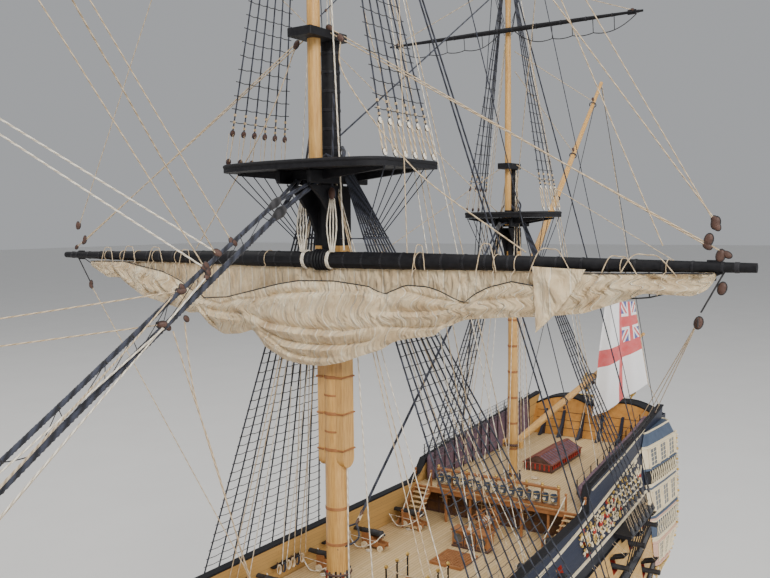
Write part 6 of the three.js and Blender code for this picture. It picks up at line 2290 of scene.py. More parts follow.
def makeSkylight():
    shape = newShape()
    deck, x0, x1, half, ridge = deckHeight["poop"], -80.5, -65.0, 2.9, 3.0
    addBlock(shape, (x0, -half, deck), (x1, half, deck + 0.5), 0, 0.05)
    addBlock(shape, (x0 - 0.25, -half - 0.25, deck + 1.55), (x1 + 0.25, half + 0.25, deck + 1.75),
             1, 0.05)
    addBlock(shape, (x0, -0.3, deck + ridge), (x1, 0.3, deck + ridge + 0.25), 1, 0.05)
    for sign in (1, -1):
        for x in np.linspace(x0 + 0.2, x1 - 0.2, 15):
            addTurned(shape, spindle, (x, sign * (half - 0.15), deck + 0.45),
                      sides=7, paint=2)
            addLine(shape, (x, sign * (half + 0.05), deck + 1.72),
                    (x, sign * 0.2, deck + ridge + 0.2), 0.09, 4, 1)
        pane = [(x0, sign * (half + 0.1), deck + 1.66), (x1, sign * (half + 0.1), deck + 1.66),
                (x1, sign * 0.2, deck + ridge + 0.1),
                (x0, sign * 0.2, deck + ridge + 0.1)]
        addFaces(shape, pane, [[0, 1, 2, 3] if sign < 0 else [3, 2, 1, 0]], 3)
        for t in (0.35, 0.7):
            y, z = half * (1 - t) + 0.1, deck + 1.72 + (ridge - 1.55) * t
            addLine(shape, (x0, sign * y, z), (x1, sign * y, z), 0.05, 4, 1)
    for x in (x0, x1):
        addPlate(shape, [(-half, deck + 0.4), (half, deck + 0.4), (half, deck + 1.7),
                         (0, deck + ridge + 0.1), (-half, deck + 1.7)],
                 athwart, x - 0.1, x + 0.1, 0)
    for y in np.linspace(-half + 0.5, half - 0.5, 6):
        addTurned(shape, spindle, (x1 + 0.15, y, deck + 0.45), sides=7, paint=2)
    finishShape(shape, "poopSkylight", "hull", ("blockWood", "skylightRed", "redPaint", "hammock"),
                replaces=("poop_skylight",))
    print("skylight done")


def addBoat(shape, x, y, z, length, beam, depth):
    def ring(t, wide, rise=0.0):
        w = beam / 2 * math.sin(math.pi * (0.12 + 0.8 * t)) ** 0.7 * wide
        lift = depth * 0.5 * (2 * t - 0.9) ** 2
        outline = ((0.02, lift * 0.5), (0.4, 0.05 * depth + lift * 0.5),
                   (0.68, 0.16 * depth + lift * 0.5), (0.86, 0.4 * depth + lift * 0.6),
                   (0.94, 0.65 * depth + lift * 0.6), (1, depth + lift * 0.6))
        return [(x - length / 2 + length * t, y + r * w, z + max(h, rise)) for r, h in outline]

    rows = np.linspace(0, 1, 17)
    for wide, rise, order, tint in ((1, 0, 1, 0), (0.93, 0.35, -1, 1)):
        for sign in (1, -1):
            grid = np.array([ring(t, wide, rise) for t in rows])
            grid[:, :, 1] = y + sign * (grid[:, :, 1] - y)
            grid = grid[:, ::-1] if sign * order < 0 else grid
            addGrid(shape, grid, tint, uv=(np.arange(6) * 0.6, rows * length))
    for sign in (1, -1):
        edge = [(p[0], y + sign * (p[1] - y), p[2]) for p in (ring(t, 0.97)[-1] for t in rows)]
        addTube(shape, edge, 0.22, 5, 2)
        for t in rows[1:-1]:
            rib = [(p[0], y + sign * (p[1] - y), p[2]) for p in ring(t, 0.9, 0.4)]
            addTube(shape, rib, 0.09, 4, 1)
    for t in (0.2, 0.36, 0.52, 0.68, 0.82):
        p = ring(t, 0.9)[-2]
        w = p[1] - y
        addBlock(shape, (p[0] - 0.4, y - w, p[2]), (p[0] + 0.4, y + w, p[2] + 0.16), 1, 0.04)
    for t in (0.03, 0.97):
        end = ring(t, 1)
        addPlate(shape, [(end[-1][1], end[-1][2]), (end[3][1], end[3][2]), (end[0][1], end[0][2]),
                         (2 * y - end[3][1], end[3][2]),
                         (2 * y - end[-1][1], end[-1][2])], athwart, end[0][0] - 0.12,
                         end[0][0] + 0.12, 0)
    for s in (-0.16, 0.2):
        addLine(shape, (x - length * 0.4, y + s * beam, z + depth * 0.95),
                (x + length * 0.36, y + s * beam * 0.6, z + depth * 1.05),
                0.12, 5, 3)


def makeBoats():
    deck = deckHeight["forecastle"]
    for name, node, row in (("largeBoat", "ship_boat_large", (29, 4.4, deck, 32, 8, 3.2)),
                            ("smallBoat", "ship_boat_small", (28, -5.2, deck, 25, 6.4, 2.8))):
        shape = newShape()
        addBoat(shape, *row)
        finishShape(shape, name, "hull", ("creamPaint", "spar", "hullBlue", "sparAlong"),
                    replaces=(node,))
    print("boats done")


def makeSkidBeams():
    shape = newShape()
    top = deckHeight["forecastle"] - 0.1
    for x in (12, 23, 34, 45):
        reach = innerSide(x, deckHeight["forecastle"]) - 0.3
        addBlock(shape, (x - 0.6, -reach, top - 0.8), (x + 0.6, reach, top), 0, 0.1)
        for sign in (1, -1):
            addPlate(shape, [(sign * reach, top - 0.6), (sign * reach, top - 3.2),
                             (sign * (reach - 0.5), top - 2.8),
                             (sign * (reach - 1.2), top - 1.4), (sign * (reach - 2.8), top - 0.7)],
                             athwart, x - 0.3, x + 0.3, 0)
    for y in (5.5, -5.5):
        addBlock(shape, (11.4, y - 0.4, top - 1.2), (45.6, y + 0.4, top - 0.02), 0, 0.1)
        for x in (12, 45):
            addTurned(shape, [(0.5, 0), (0.5, 0.5), (0.36, 0.8), (0.36, top - 42.5),
                              (0.5, top - 42.2)], (x, y, deckHeight["upper"]),
                      sides=10, paint=0)
    finishShape(shape, "skidBeams", "hull", ("ochreInside",), replaces=("skid_beams",))


makePoopRail()
makeCabinFront()
makeWheel()
makeBinnacle()
makeLadders()
makeDeckGuns()
makeDeckWork()
makeHammocks()
makeSkylight()
makeBoats()
makeSkidBeams()


# stern: quarter galleries, windows, balconies, taffrail, lanterns, port lids and the rudder

galleryPlans = np.array([  # height, fore and after end, half breadth near each end
    (31, -80.4, -84, 18.9, 18.9), (34, -79.6, -89.5, 19.3, 19.3), (38.6, -79, -94, 19.2, 19.4),
    (44, -78.8, -95.2, 18.6, 19.1),
    (50, -78.8, -96.4, 17.8, 18.6), (57.2, -79.2, -97.4, 16.8, 18), (60, -81.5, -96.6, 16, 16.8)])
galleryBands = {  # from the top down: height, paint above it
    "rows": [(60, 0), (57.6, 0), (57.2, 1), (53.0, 1), (50.1, 4), (49.6, 1), (49.0, 0), (43.9, 1),
             (42.9, 3), (39.7, 0),
             (38.6, 1), (34, 3), (31.2, 2)],
    "windows": [(53.5, 56.9), (44.6, 48.6), (34.8, 38.2)],
    "lattices": [(50.3, 52.8, 13, 1), (40.0, 42.7, 11, 1)],
    "mouldings": [(60.0, 0.2, 1), (57.3, 0.22, 1), (53.1, 0.24, 0), (50.1, 0.22, 1), (49.0, 0.2, 1),
                  (43.8, 0.26, 0),
                  (42.9, 0.16, 1), (39.6, 0.22, 1), (38.7, 0.2, 3), (34.1, 0.24, 3),
                  (33.4, 0.2, 2)],
}
galleryPaints = ("slatePaint", "creamPaint", "gilt", "pinkPaint", "black", "glass")


def galleryOutline(z, grow=0.0):
    fore, aft, near, far = (float(np.interp(z, galleryPlans[:, 0], galleryPlans[:, k])) for k in (1,
        2, 3, 4))
    return [(fore + grow, breadth(fore, z) + 0.15), (fore - 1.3 + grow * 0.5, near + grow),
            ((fore + aft) / 2, (near + far) / 2 + grow + 0.12),
            (aft + 1.4, far + grow), (aft - grow, far - 1.2), (aft - grow, breadth(aft, z) + 0.1)]


def gallerySpot(t, z, sign, out=0.0):
    line = galleryOutline(z, out)
    a, b = np.array(line[1]), np.array(line[3])
    p = a + (b - a) * t
    return p[0], sign * (p[1] + 0.12 * math.sin(math.pi * t)), z


def addWindow(shape, spot, t0, t1, z0, z1, wide=2, high=4, bar=0.07, frame=1, pane=5):
    corners = [spot(t, z, 0.02) for t, z in ((t0, z0), (t1, z0), (t1, z1), (t0, z1))]
    addFaces(shape, corners, [[0, 1, 2, 3]], pane)
    addFaces(shape, corners, [[3, 2, 1, 0]], pane)
    for k in range(wide + 1):
        t = t0 + (t1 - t0) * k / wide
        addLine(shape, spot(t, z0, 0.05), spot(t, z1, 0.05), bar * (1.9 if k in (0, wide) else 1),
                4, frame)
    for k in range(high + 1):
        z = z0 + (z1 - z0) * k / high
        addLine(shape, spot(t0, z, 0.05), spot(t1, z, 0.05), bar * (1.9 if k in (0, high) else 1),
                4, frame)


def makeQuarterGallery(sign, side):
    shape = newShape()
    rows = galleryBands["rows"]
    levels = [z for z, _ in rows]
    tint = np.repeat([[paintNo] for _, paintNo in rows[1:]], 5, axis=1)
    grid = np.array([[(x, sign * y, z) for x, y in galleryOutline(z)] for z in levels])
    addGrid(shape, grid[:, ::-1] if sign > 0 else grid, tint)
    top = grid[0]
    addFaces(shape, top, [list(range(6)) if sign < 0 else list(range(6))[::-1]], 0)
    bottom = grid[-1]
    addFaces(shape, bottom, [list(range(6)) if sign > 0 else list(range(6))[::-1]], 2)

    def spot(t, z, out):
        return gallerySpot(t, z, sign, out)

    for z0, z1 in galleryBands["windows"]:
        for t in (0.17, 0.5, 0.83):
            addWindow(shape, spot, t - 0.105, t + 0.105, z0, z1)
        for t in (0.01, 0.335, 0.665, 0.99):
            for n, r in enumerate((0.2, 0.14, 0.14)):
                z = z0 - 0.2 + (z1 - z0 + 0.4) * n / 3
                addLine(shape, spot(t, z, 0.1), spot(t, z + (z1 - z0 + 0.4) / 3, 0.1), r, 6, 1)
    for z0, z1, count, tone in galleryBands["lattices"]:
        for n in range(count):
            a, b = n / count, (n + 1) / count
            addLine(shape, spot(a, z0, 0.12), spot(b, z1, 0.12), 0.075, 4, tone)
            addLine(shape, spot(a, z1, 0.12), spot(b, z0, 0.12), 0.075, 4, tone)
            addTurned(shape, [(0, 0.2), (0.17, 0.12), (0.2, 0)],
                      spot((a + b) / 2, (z0 + z1) / 2, 0.06), (0, sign, 0), 6, tone)
    for z, r, tone in galleryBands["mouldings"]:
        addTube(shape, [(x, sign * y, z) for x, y in galleryOutline(z, 0.08)], r, 6, tone)
    for k, z in enumerate(np.arange(34.4, 57.6, 0.72)):  # carved strip down the after corner
        x, y = galleryOutline(z, 0.1)[3]
        addTurned(shape, [(0, -0.34), (0.2, -0.22), (0.34, 0), (0.22, 0.24), (0, 0.36)],
                  (x - 1.0, sign * (y - 0.1 + 0.12 * (k % 2)), z),
                  (0.3 * (-1) ** k, 0, 1), 6, 1 if k % 3 else 2)
    for n in range(26):  # carving of the lower finishing
        t, z = 0.06 + 0.9 * ((n * 0.618) % 1), 33.2 - 2.0 * ((n * 0.381) % 1)
        x = -80.2 - t * (9.0 - 2.4 * (33.2 - z))
        y = float(np.interp(z, galleryPlans[:, 0], galleryPlans[:, 3])) - 0.1
        turn = [(x + 0.45 * math.cos(a), sign * (y + 0.1 * math.sin(2 * a)),
                 z + 0.32 * math.sin(a)) for a in np.linspace(0, 5.2, 9)]
        addTube(shape, turn, np.linspace(0.16, 0.08, 9), 5, 2 if n % 3 else 1)
    finishShape(shape, f"quarterGallery_{side}", "hull", galleryPaints,
                replaces=(f"quarter_gallery_{side}",))


sternProfile = [(-86.6, 33.75), (-88.6, 33.75), (-92, 38), (-92.1, 38.3), (-94.9, 42.4),
                (-95.05, 42.7), (-96.2, 46), (-100, 46.4),
                (-100.4, 49.4), (-98, 49.7), (-99.2, 53.2), (-102.4, 53.6), (-102.8, 56.6),
                (-100.4, 57), (-101.3, 60.2)]
sternTints = [1, 0, 2, 0, 3, 0, 1, 0, 1, 0, 1, 0, 1, 0]


def sternWidth(x, z):
    return breadth(max(x, -103.9), z) - 0.1


def taffrailTop(y):
    wave = abs(math.sin(math.pi * min(abs(y), 13.8) / 13.8))
    return 60.2 + 2.1 * wave ** 0.8 + (0.5 if abs(y) < 1.2 else 0)


def taffrailX(z):
    return -90.1 - 0.3552 * (z - 43)


def makeStern():
    shape = newShape()
    across = np.linspace(-1, 1, 15)
    grid = np.array([[(x, f * sternWidth(x, z), z) for f in across] for x, z in sternProfile])
    tint = np.repeat(np.array(sternTints)[:, None], 14, axis=1)
    addGrid(shape, grid, tint)
    for f in (0, -1):
        side = grid[:, f]
        ends = np.stack([side, np.array([(afterAt(p[2]) - 0.1, p[1], p[2]) for p in side])])
        addGrid(shape, ends if f == -1 else ends[::-1], 0)
    # taffrail: arched board, planked inside, with knees and a capping
    ys = np.linspace(-14.2, 14.2, 41)
    outline = [(y, taffrailTop(y)) for y in ys]
    for near, far, low, tone in ((0, 0.9, 53.9, 5), (0.9, 4.2, 59.6, 0)):
        grid = np.array([[(taffrailX(low) - far, y, low), (taffrailX(z) - far, y, z),
                          (taffrailX(z) - near, y, z),
                          (taffrailX(low) - near, y, low)] for y, z in outline])
        addGrid(shape, grid[:, ::-1], tone, wrap=True, uv=(np.arange(5) * 1.0, ys))
    for out in (0.1, 3.9):
        addTube(shape, [(taffrailX(z) - out, y, z + 0.1) for y, z in outline], 0.26, 6, 4)
    addGrid(shape, np.array([[(taffrailX(z) - out, y, z + 0.2) for y, z in outline] for out in (0,
        4)])[::-1], 4)
    for y in (-11.2, -6.8, -2.2, 2.2, 6.8, 11.2):
        knee = [(taffrailX(z) + out, z) for out,
                z in ((0, 54), (0, 59.4), (0.35, 59.2), (0.75, 56.6), (1.95, 54.7), (2.75, 54))]
        addPlate(shape, knee, upright, y - 0.3, y + 0.3, 0)
    for z in (55.6, 57.3, 59.0):
        addLine(shape, (taffrailX(z) + 0.04, -13.4, z), (taffrailX(z) + 0.04, 13.4, z), 0.05, 4, 4)

    def spotOn(low, high):
        (xa, za), (xb, zb) = low, high

        def spot(t, z, out):
            x = xa + (xb - xa) * (z - za) / (zb - za)
            return x - out, (t * 2 - 1) * (sternWidth(x, z) - 1.0), z
        return spot

    for low, high, z0, z1, count in (((-92.1, 38.3), (-94.9, 42.4), 38.8, 42.0, 9),
                                     ((-98, 49.7), (-99.2, 53.2), 50.0, 52.9, 9),
                                     ((-100.4, 57), (-101.3, 60.2), 57.3, 59.9, 7),
                                     ((-95.05, 42.7), (-96.2, 46), 43.1, 45.7, 9)):
        spot = spotOn(low, high)
        for n in range(count):
            a, b = (n + 0.14) / count, (n + 0.86) / count
            addWindow(shape, spot, a, b, z0, z1, 3, 3, frame=1, pane=6)
            addLine(shape, spot(n / count, z0 - 0.1, 0.12), spot(n / count, z1 + 0.1, 0.12), 0.17,
                    6, 2)
    for (xa, za), (xb, zb) in (((-100, 46.4), (-100.4, 49.4)), ((-102.4, 53.6), (-102.8, 56.6))):
        half = sternWidth(xa, za) - 0.3
        for y in np.linspace(-half, half, 33):
            addTurned(shape, [(0.1, 0), (0.24, 0.5), (0.12, 1.1), (0.24, 1.9), (0.1, 2.5)],
                      (xa - 0.28, y, za + 0.3), (xb - xa, 0, zb - za), 6, 2)
        for x, z, r in ((xa - 0.25, za + 0.15, 0.26), (xb - 0.25, zb, 0.3)):
            addTube(shape, [(x + 0.05 * abs(y) / half, y, z) for y in np.linspace(-half, half, 9)],
                    r, 6, 1)
    for x, z, r, tone in ((-88.7, 33.9, 0.3, 2), (-92.2, 38.1, 0.3, 2), (-95.2, 42.55, 0.28, 2),
                          (-96.4, 46.2, 0.2, 2)):
        half = sternWidth(x, z)
        addTube(shape, [(x, y, z) for y in np.linspace(-half, half, 9)], r, 6, tone)
    for sign in (1, -1):  # scrolls on the taffrail
        for n in range(16):
            y = sign * (1.2 + n * 0.78)
            z = taffrailTop(y) - 0.9 - 0.5 * (n % 2)
            turn = [(-101.4, y + 0.45 * math.cos(a), z + 0.4 * math.sin(a)) for a in np.linspace(0,
                5.4, 9)]
            addTube(shape, turn, np.linspace(0.18, 0.07, 9), 5, 2)
    addTurned(shape, [(0, 0.4), (0.8, 0.3), (1.2, 0.1), (1.3, -0.1)], (-101.3, 0, 60.4), (-1, 0, 0),
              14, 2)
    finishShape(shape, "sternGallery", "hull",
                ("hullBlue", "creamPaint", "gilt", "ochre", "black", "taffrailWood", "glass"),
                replaces=("stern_gallery",))
    print("stern gallery done")


def makeLanterns():
    shape = newShape()
    addBlock(shape, (-102.55, -6.2, 61.6), (-101.95, 6.2, 62.3), 0, 0.1)
    for y in (5.5, 0, -5.5):
        at, s = (-106, y, 62), 0.92
        addTube(shape, [(-102.3, y, 61.9), (-103.6, y, 61.4), (-105, y, 61.5), (-106, y, 62.2)],
                0.19, 6, 0)
        addTurned(shape, [(0, 0), (0.5 * s, 0.2 * s), (0.9 * s, 0.8 * s), (0.95 * s, 0.95 * s)], at,
                  sides=8, paint=0)
        addTurned(shape, [(0.86 * s, 0.95 * s), (1.2 * s, 3.2 * s)], at, sides=8, paint=1)
        addTurned(shape, [(1.3 * s, 3.2 * s), (1.1 * s, 3.5 * s), (0.5 * s, 4.4 * s),
                          (0.16 * s, 4.6 * s), (0.26 * s, 4.9 * s), (0, 5.2 * s)],
                  at, sides=8, paint=0)
        for k in range(8):
            a = k * math.pi / 4
            addLine(shape, (at[0] + 0.92 * s * math.cos(a), y + 0.92 * s * math.sin(a),
                            62 + 0.9 * s),
                    (at[0] + 1.26 * s * math.cos(a), y + 1.26 * s * math.sin(a), 62 + 3.25 * s),
                    0.08, 4, 0)
        for h in (1.7, 2.5):
            r = (0.95 + 0.12 * (h - 0.9)) * s
            addTube(shape, [(at[0] + r * math.cos(k * math.pi / 4),
                             y + r * math.sin(k * math.pi / 4), 62 + h * s) for k in range(8)],
                             0.05, 4, 0,
                    closed=True)
    finishShape(shape, "sternLanterns", "hull", ("gilt", "glass"),
                replaces=("stern_lanterns",))


lidLook = {"tilt": 18, "reach": (3.4, 3.1, 2.8)}  # degrees above level; how far the barrels run out


# lids hinged open over the closed decks' ports, with the barrels run out under them
def makePortLids():
    shape = newShape()
    tilt = math.radians(lidLook["tilt"])
    for n, tier in enumerate(tiers[:3]):
        half, reach = tier["half"], lidLook["reach"][n]
        for x in portsOf(tier):
            z = tier["z"] + sheer(x, tier["rise"])
            if x < afterAt(z) + 3:
                continue
            skin = breadth(x, z)
            for sign in (1, -1):
                hinge = breadth(x, z + half) + 0.12
                far = hinge + 2 * half * math.cos(tilt)
                rise = 2 * half * math.sin(tilt)
                low, high = z + half + 0.05, z + half + 0.3
                if n < 2 or x < -5 or x > 45:
                    points = []
                    for s in (-1, 1):
                        for y, dz in ((hinge, 0), (far, rise)):
                            points += [(x + s * half * 0.98, sign * y, edge + dz) for edge in (low,
                                high)]
                    faces = [[0, 1, 3, 2], [4, 6, 7, 5], [0, 4, 5, 1], [2, 3, 7, 6], [1, 5, 7, 3],
                             [0, 2, 6, 4]]
                    if sign < 0:
                        faces = [f[::-1] for f in faces]
                    addFaces(shape, points, faces, np.array([0, 0, 0, 0, 0, 1]))
                    for s in (-0.55 * half, 0.55 * half):
                        addLine(shape, (x + s, sign * (hinge - 0.05), high),
                                (x + s, sign * (far - 0.4), high + rise * 0.86),
                                0.1, 4, 2)
                        addLine(shape, (x + s, sign * far, high + rise),
                                (x + s * 0.8, sign * (hinge + 0.1), high + 2.4),
                                0.04, 4, 3)
                addTurned(shape, [(0.62, -1.5), (0.5, 0), (0.42, reach - 0.7), (0.5, reach - 0.3),
                                  (0.46, reach), (0.26, reach + 0.02),
                                  (0.22, reach - 0.4)], (x, sign * skin, z - 0.1), (0, sign, 0.03),
                                  10, 2)
    finishShape(shape, "portLids", "hull", ("black", "redPaint", "gunIron", "cream"))
    print("port lids and barrels done")


# gilt and painted trophies on the band under the poop rail
def makeTrophies():
    rng = np.random.default_rng(5)
    shape = newShape()
    for sign in (1, -1):
        for x in np.arange(-39.5, -76, -1.25):
            low, high = 49.7, 52.0 + sheer(x, 8.6)
            for n in range(6):
                z = low + (high - low) * (n + rng.uniform(0.2, 0.8)) / 6
                at = skinPoint(x + rng.uniform(-0.6, 0.6), z, sign, 0.05)
                size = rng.uniform(0.26, 0.48)
                tone = int(rng.choice([0, 0, 0, 0, 0, 1, 1, 1, 1, 1, 1, 2]))
                turn = rng.uniform(0, 6.3)
                loop = [(at[0] + size * math.cos(a + turn), at[1] + sign * 0.1,
                         at[2] + size * 0.8 * math.sin(a + turn)) for a in
                        np.linspace(0, 4.6, 7)]
                addTube(shape, loop, np.linspace(0.17, 0.08, 7), 5, tone)
            if int(x * 4) % 3 == 0:
                mid = skinPoint(x, (low + high) / 2, sign, 0.16)
                for a in (0.7, 2.4):
                    dx, dz = 1.3 * math.cos(a), (high - low) * 0.42 * math.sin(a)
                    addLine(shape, (mid[0] - dx, mid[1] + sign * 0.2, mid[2] - dz),
                            (mid[0] + dx, mid[1], mid[2] + dz), 0.11, 5, 1)
                addTurned(shape, [(0, 0.3), (0.4, 0.2), (0.62, 0)], mid, (0, sign, 0), 10,
                          2 if int(x) % 2 else 0)
    finishShape(shape, "sideTrophies", "hull", ("gilt", "creamPaint", "redPaint"))
    print("trophies done")


rudderSpec = {"straps": (6, 15, 24), "low": (-78.9, 1.0), "high": (-87.2, 36.3)}


def hingeSpot(z):
    (xa, za), (xb, zb) = rudderSpec["low"], rudderSpec["high"]
    return xa + (xb - xa) * (z - za) / (zb - za)


def makeRudder():
    shape = newShape()
    edge = [(1, -84.8), (14, -87), (22, -89.3), (25, -89), (33, -90.6)]
    levels = [1.1, 4, 9, 14, 18, 22, 23.9, 24.1, 25, 29, 32.9]
    after = [float(np.interp(z, [p[0] for p in edge], [p[1] for p in edge])) for z in levels]
    rows = []
    for z, x in zip(levels, after):
        lead = hingeSpot(z)
        rows.append([(lead, 0.5, z), ((lead + x) / 2, 0.54, z), (x + 0.1, 0.36, z), (x, 0, z),
                     (x + 0.1, -0.36, z),
                     ((lead + x) / 2, -0.54, z), (lead, -0.5, z)])
    grid = np.array(rows)
    tint = np.array([[0 if z < waterline else 1] * 7 for z in levels[:-1]])
    addGrid(shape, grid[:, ::-1], tint, wrap=True, uv=(np.arange(8) * 1.2, np.array(levels)))
    addFaces(shape, grid[0], [[0, 1, 2, 3, 4, 5, 6]], 0)
    addFaces(shape, grid[-1], [[6, 5, 4, 3, 2, 1, 0]], 1)
    axis = np.array((hingeSpot(30) - hingeSpot(20), 0, 10.0))
    axis /= np.linalg.norm(axis)
    addTurned(shape, [(0, 0), (0.66, 0.02), (0.66, 39), (0.5, 39.2), (0, 39.25)],
              (hingeSpot(1.1), 0, 1.1), axis, 12, 1)
    for z in rudderSpec["straps"]:
        for sign in (1, -1):
            x = float(np.interp(z + 1.3, [p[0] for p in edge], [p[1] for p in edge]))
            addPlate(shape, [(hingeSpot(z + 1) + 0.1, z + 1), (x + 0.5, z + 1.2),
                             (x + 0.5, z + 1.7), (hingeSpot(z + 1.7) + 0.1, z + 1.7)], upright,
                     sign * 0.5, sign * 0.62, 2)
    finishShape(shape, "rudderBlade", "rudder", ("copper", "hullBlack", "iron"),
                replaces=("rudder",))
    print("rudder done")


for gallerySign, gallerySide in ((1, "port"), (-1, "starboard")):
    makeQuarterGallery(gallerySign, gallerySide)
makeStern()
makeLanterns()
makePortLids()
makeTrophies()
makeRudder()


# bow: beakhead, head rails, scroll figure, bowsprit, jibboom and anchors

bow = {
    "well": 92.1, "doors": (2.6, 4.4), "pillars": (1.3, 5.6, 8.2, 10.6),
    "spritFrom": (85.2, 48.0), "spritTo": (148.0, 81.0), "spritRadius": (1.45, 0.95),
    "boomAlong": (48, 112), "boomLift": 2.15, "boomRadius": (0.62, 0.37), "anchorAt": (90, 43.5),
    "upperRail": [(97.6, 10.4, 53), (103, 7.4, 48.8), (109, 5.3, 48.2), (115, 3.2, 49.2),
                  (122, 1.2, 55)],
    "lowerRail": [(99.6, 9.6, 46.4), (103, 6.1, 45.2), (109, 4.2, 45.2), (115, 2.3, 46),
                  (121, 1.1, 49.6)],
}


def onSprit(distance, lift=0.0, y=0.0):
    (xa, za), (xb, zb) = bow["spritFrom"], bow["spritTo"]
    length = math.hypot(xb - xa, zb - za)
    c, s = (xb - xa) / length, (zb - za) / length
    return np.array((xa + c * distance - s * lift, y, za + s * distance + c * lift))


def makeBeakhead():
    shape = newShape()
    x = bulkheadX
    levels = [46.3, 48.3, 50.6, 52.6, 54.8, 57.2]
    front = [[(x, f * (breadth(x, z) - 0.05), z) for f in np.linspace(1, -1, 13)] for z in levels]
    addGrid(shape, front, 0)
    after = [[(bow["well"], f * (breadth(bow["well"], z) - sideThick), z) for f in np.linspace(-1,
        1, 9)] for z in levels]
    addGrid(shape, after, 3)
    top = [[(at, f * (breadth(at, 57.2) - 0.05), 57.2) for f in np.linspace(-1, 1,
        9)] for at in (bow["well"], x)]
    addGrid(shape, top, 4)
    for z, r in ((48.4, 0.22), (52.7, 0.2), (57.0, 0.3)):
        half = breadth(x, z)
        addTube(shape, [(x + 0.1, y, z) for y in np.linspace(-half, half, 9)], r, 6, 1)
    for sign in (1, -1):
        for y in bow["pillars"]:
            addBlock(shape, (x - 0.1, sign * y - 0.22, 48.4), (x + 0.3, sign * y + 0.22, 57), 1,
                     0.08)
        a, b = sorted(sign * y for y in bow["doors"])
        addBlock(shape, (x - 0.1, a, 48.5), (x + 0.12, b, 52.4), 4, 0.04)
        addBlock(shape, (x, a + 0.3, 50.6), (x + 0.18, b - 0.3, 52.0), 5, 0.04)
        for y in (3.4, 7.0):
            addTurned(shape, [(0.75, 0), (0.62, 0.16), (0.5, 0.1), (0, 0.1)],
                      (x + 0.05, sign * y, 54.9), (1, 0, 0), 12, 2)
        addTurned(shape, [(1.3, 0), (1.3, 5.2), (1.5, 5.4), (1.4, 5.7), (1.0, 6.5), (0.4, 7.1),
                          (0.2, 7.4), (0, 7.6)],
                  (x + 0.9, sign * 8.9, 48.2), sides=14, paint=0)
        for h in (0.3, 2.6, 5.3):
            addTurned(shape, [(1.3, -0.1), (1.44, 0), (1.3, 0.1)], (x + 0.9, sign * 8.9, 48.2 + h),
                      sides=14, paint=1)
    finishShape(shape, "beakheadBulkhead", "hull",
                ("hullBlue", "creamPaint", "gilt", "ochre", "deck", "glass"))


def addScroll(shape, at, size, paintIndex, sign=1, turns=2.2, thick=0.3):
    angles = np.linspace(0, turns * 2 * math.pi, int(turns * 14))
    fade = np.linspace(1, 0.12, len(angles))
    path = [(at[0] + size * f * math.cos(a) * sign, at[1], at[2] + size * f * math.sin(a)) for a,
            f in zip(angles, fade)]
    addTube(shape, path, thick * (0.4 + 0.6 * fade), 7, paintIndex)


def makeHeadRails():
    shape = newShape()
    upper, lower = bow["upperRail"], bow["lowerRail"]
    middle = [tuple((a + b) / 2 for a, b in zip(p, q)) for p, q in zip(upper, lower)]
    for sign in (1, -1):
        for line, r, tone in ((upper, 0.42, 0), (middle, 0.26, 0), (lower, 0.38, 0)):
            path = [(px, sign * py, pz) for px, py, pz in curveThrough(line, 7)]
            addTube(shape, path, r, 8, tone)
            addTube(shape, [(px, py + sign * r * 0.75, pz) for px, py, pz in path], r * 0.35, 5, 1)
        a, b = (curveThrough(line, 7) for line in (upper, lower))
        for t in np.linspace(0.08, 0.92, 9):  # head timbers
            p, q = a[int(t * (len(a) - 1))], b[int(t * (len(b) - 1))]
            addTube(shape, [(p[0], sign * p[1], p[2]),
                            ((p[0] + q[0]) / 2, sign * (p[1] + q[1]) / 2 - sign * 0.25,
                             (p[2] + q[2]) / 2),
                            (q[0], sign * q[1], q[2])], 0.24, 6, 0)
        for k in range(9):
            at = (101.5 + k * 2.1, sign * (6.6 - k * 0.55), 43.6 + 0.04 * k * k)
            addScroll(shape, at, 0.72, 1, 1 if k % 2 else -1, 1.4, 0.2)
    outline = [(97.5, -9.4), (97.5, 9.4), (106, 6.6), (116, 3), (116, -3), (106, -6.6)]
    addPlate(shape, outline, level, 47.6, 47.9, 2)
    for y in np.arange(-8.8, 8.9, 0.8):
        last = float(np.interp(abs(y), (3, 6.6, 9.4), (116, 106, 97.8)))
        addBlock(shape, (97.6, y - 0.14, 47.9), (last, y + 0.14, 48.15), 2, 0.03)
    for x in np.arange(98.4, 115.6, 1.3):
        half = float(np.interp(x, (97.5, 106, 116), (9.4, 6.6, 3)))
        addBlock(shape, (x - 0.12, -half, 47.95), (x + 0.12, half, 48.2), 2, 0.03)
    for x in (103, 109, 115):
        wide, low = 7.4 - (x - 103) * 0.35, 5.8 - (x - 103) * 0.3
        addPlate(shape, [(-wide, 49), (wide, 49), (low, 45), (-low, 45)], athwart, x - 0.3, x + 0.3,
                 0)
    addScroll(shape, (122.6, 0, 55.6), 1.9, 1, 1, 2.4, 0.62)
    addTube(shape, curveThrough([(116.5, 0, 45.4), (119.4, 0, 48), (121, 0, 51.4), (122.2, 0, 54)],
                                6), 0.9, 8, 1)
    for sign in (1, -1):
        for k in range(5):
            addScroll(shape, (118.2 + k * 0.8, sign * (0.95 - 0.08 * k), 46.8 + k * 1.7), 0.7,
                      0 if k % 2 else 1, sign, 1.5, 0.2)
    finishShape(shape, "beakheadRails", "hull", ("creamPaint", "gilt", "carriageWood"),
                replaces=("head_rails",))
    print("beakhead done")


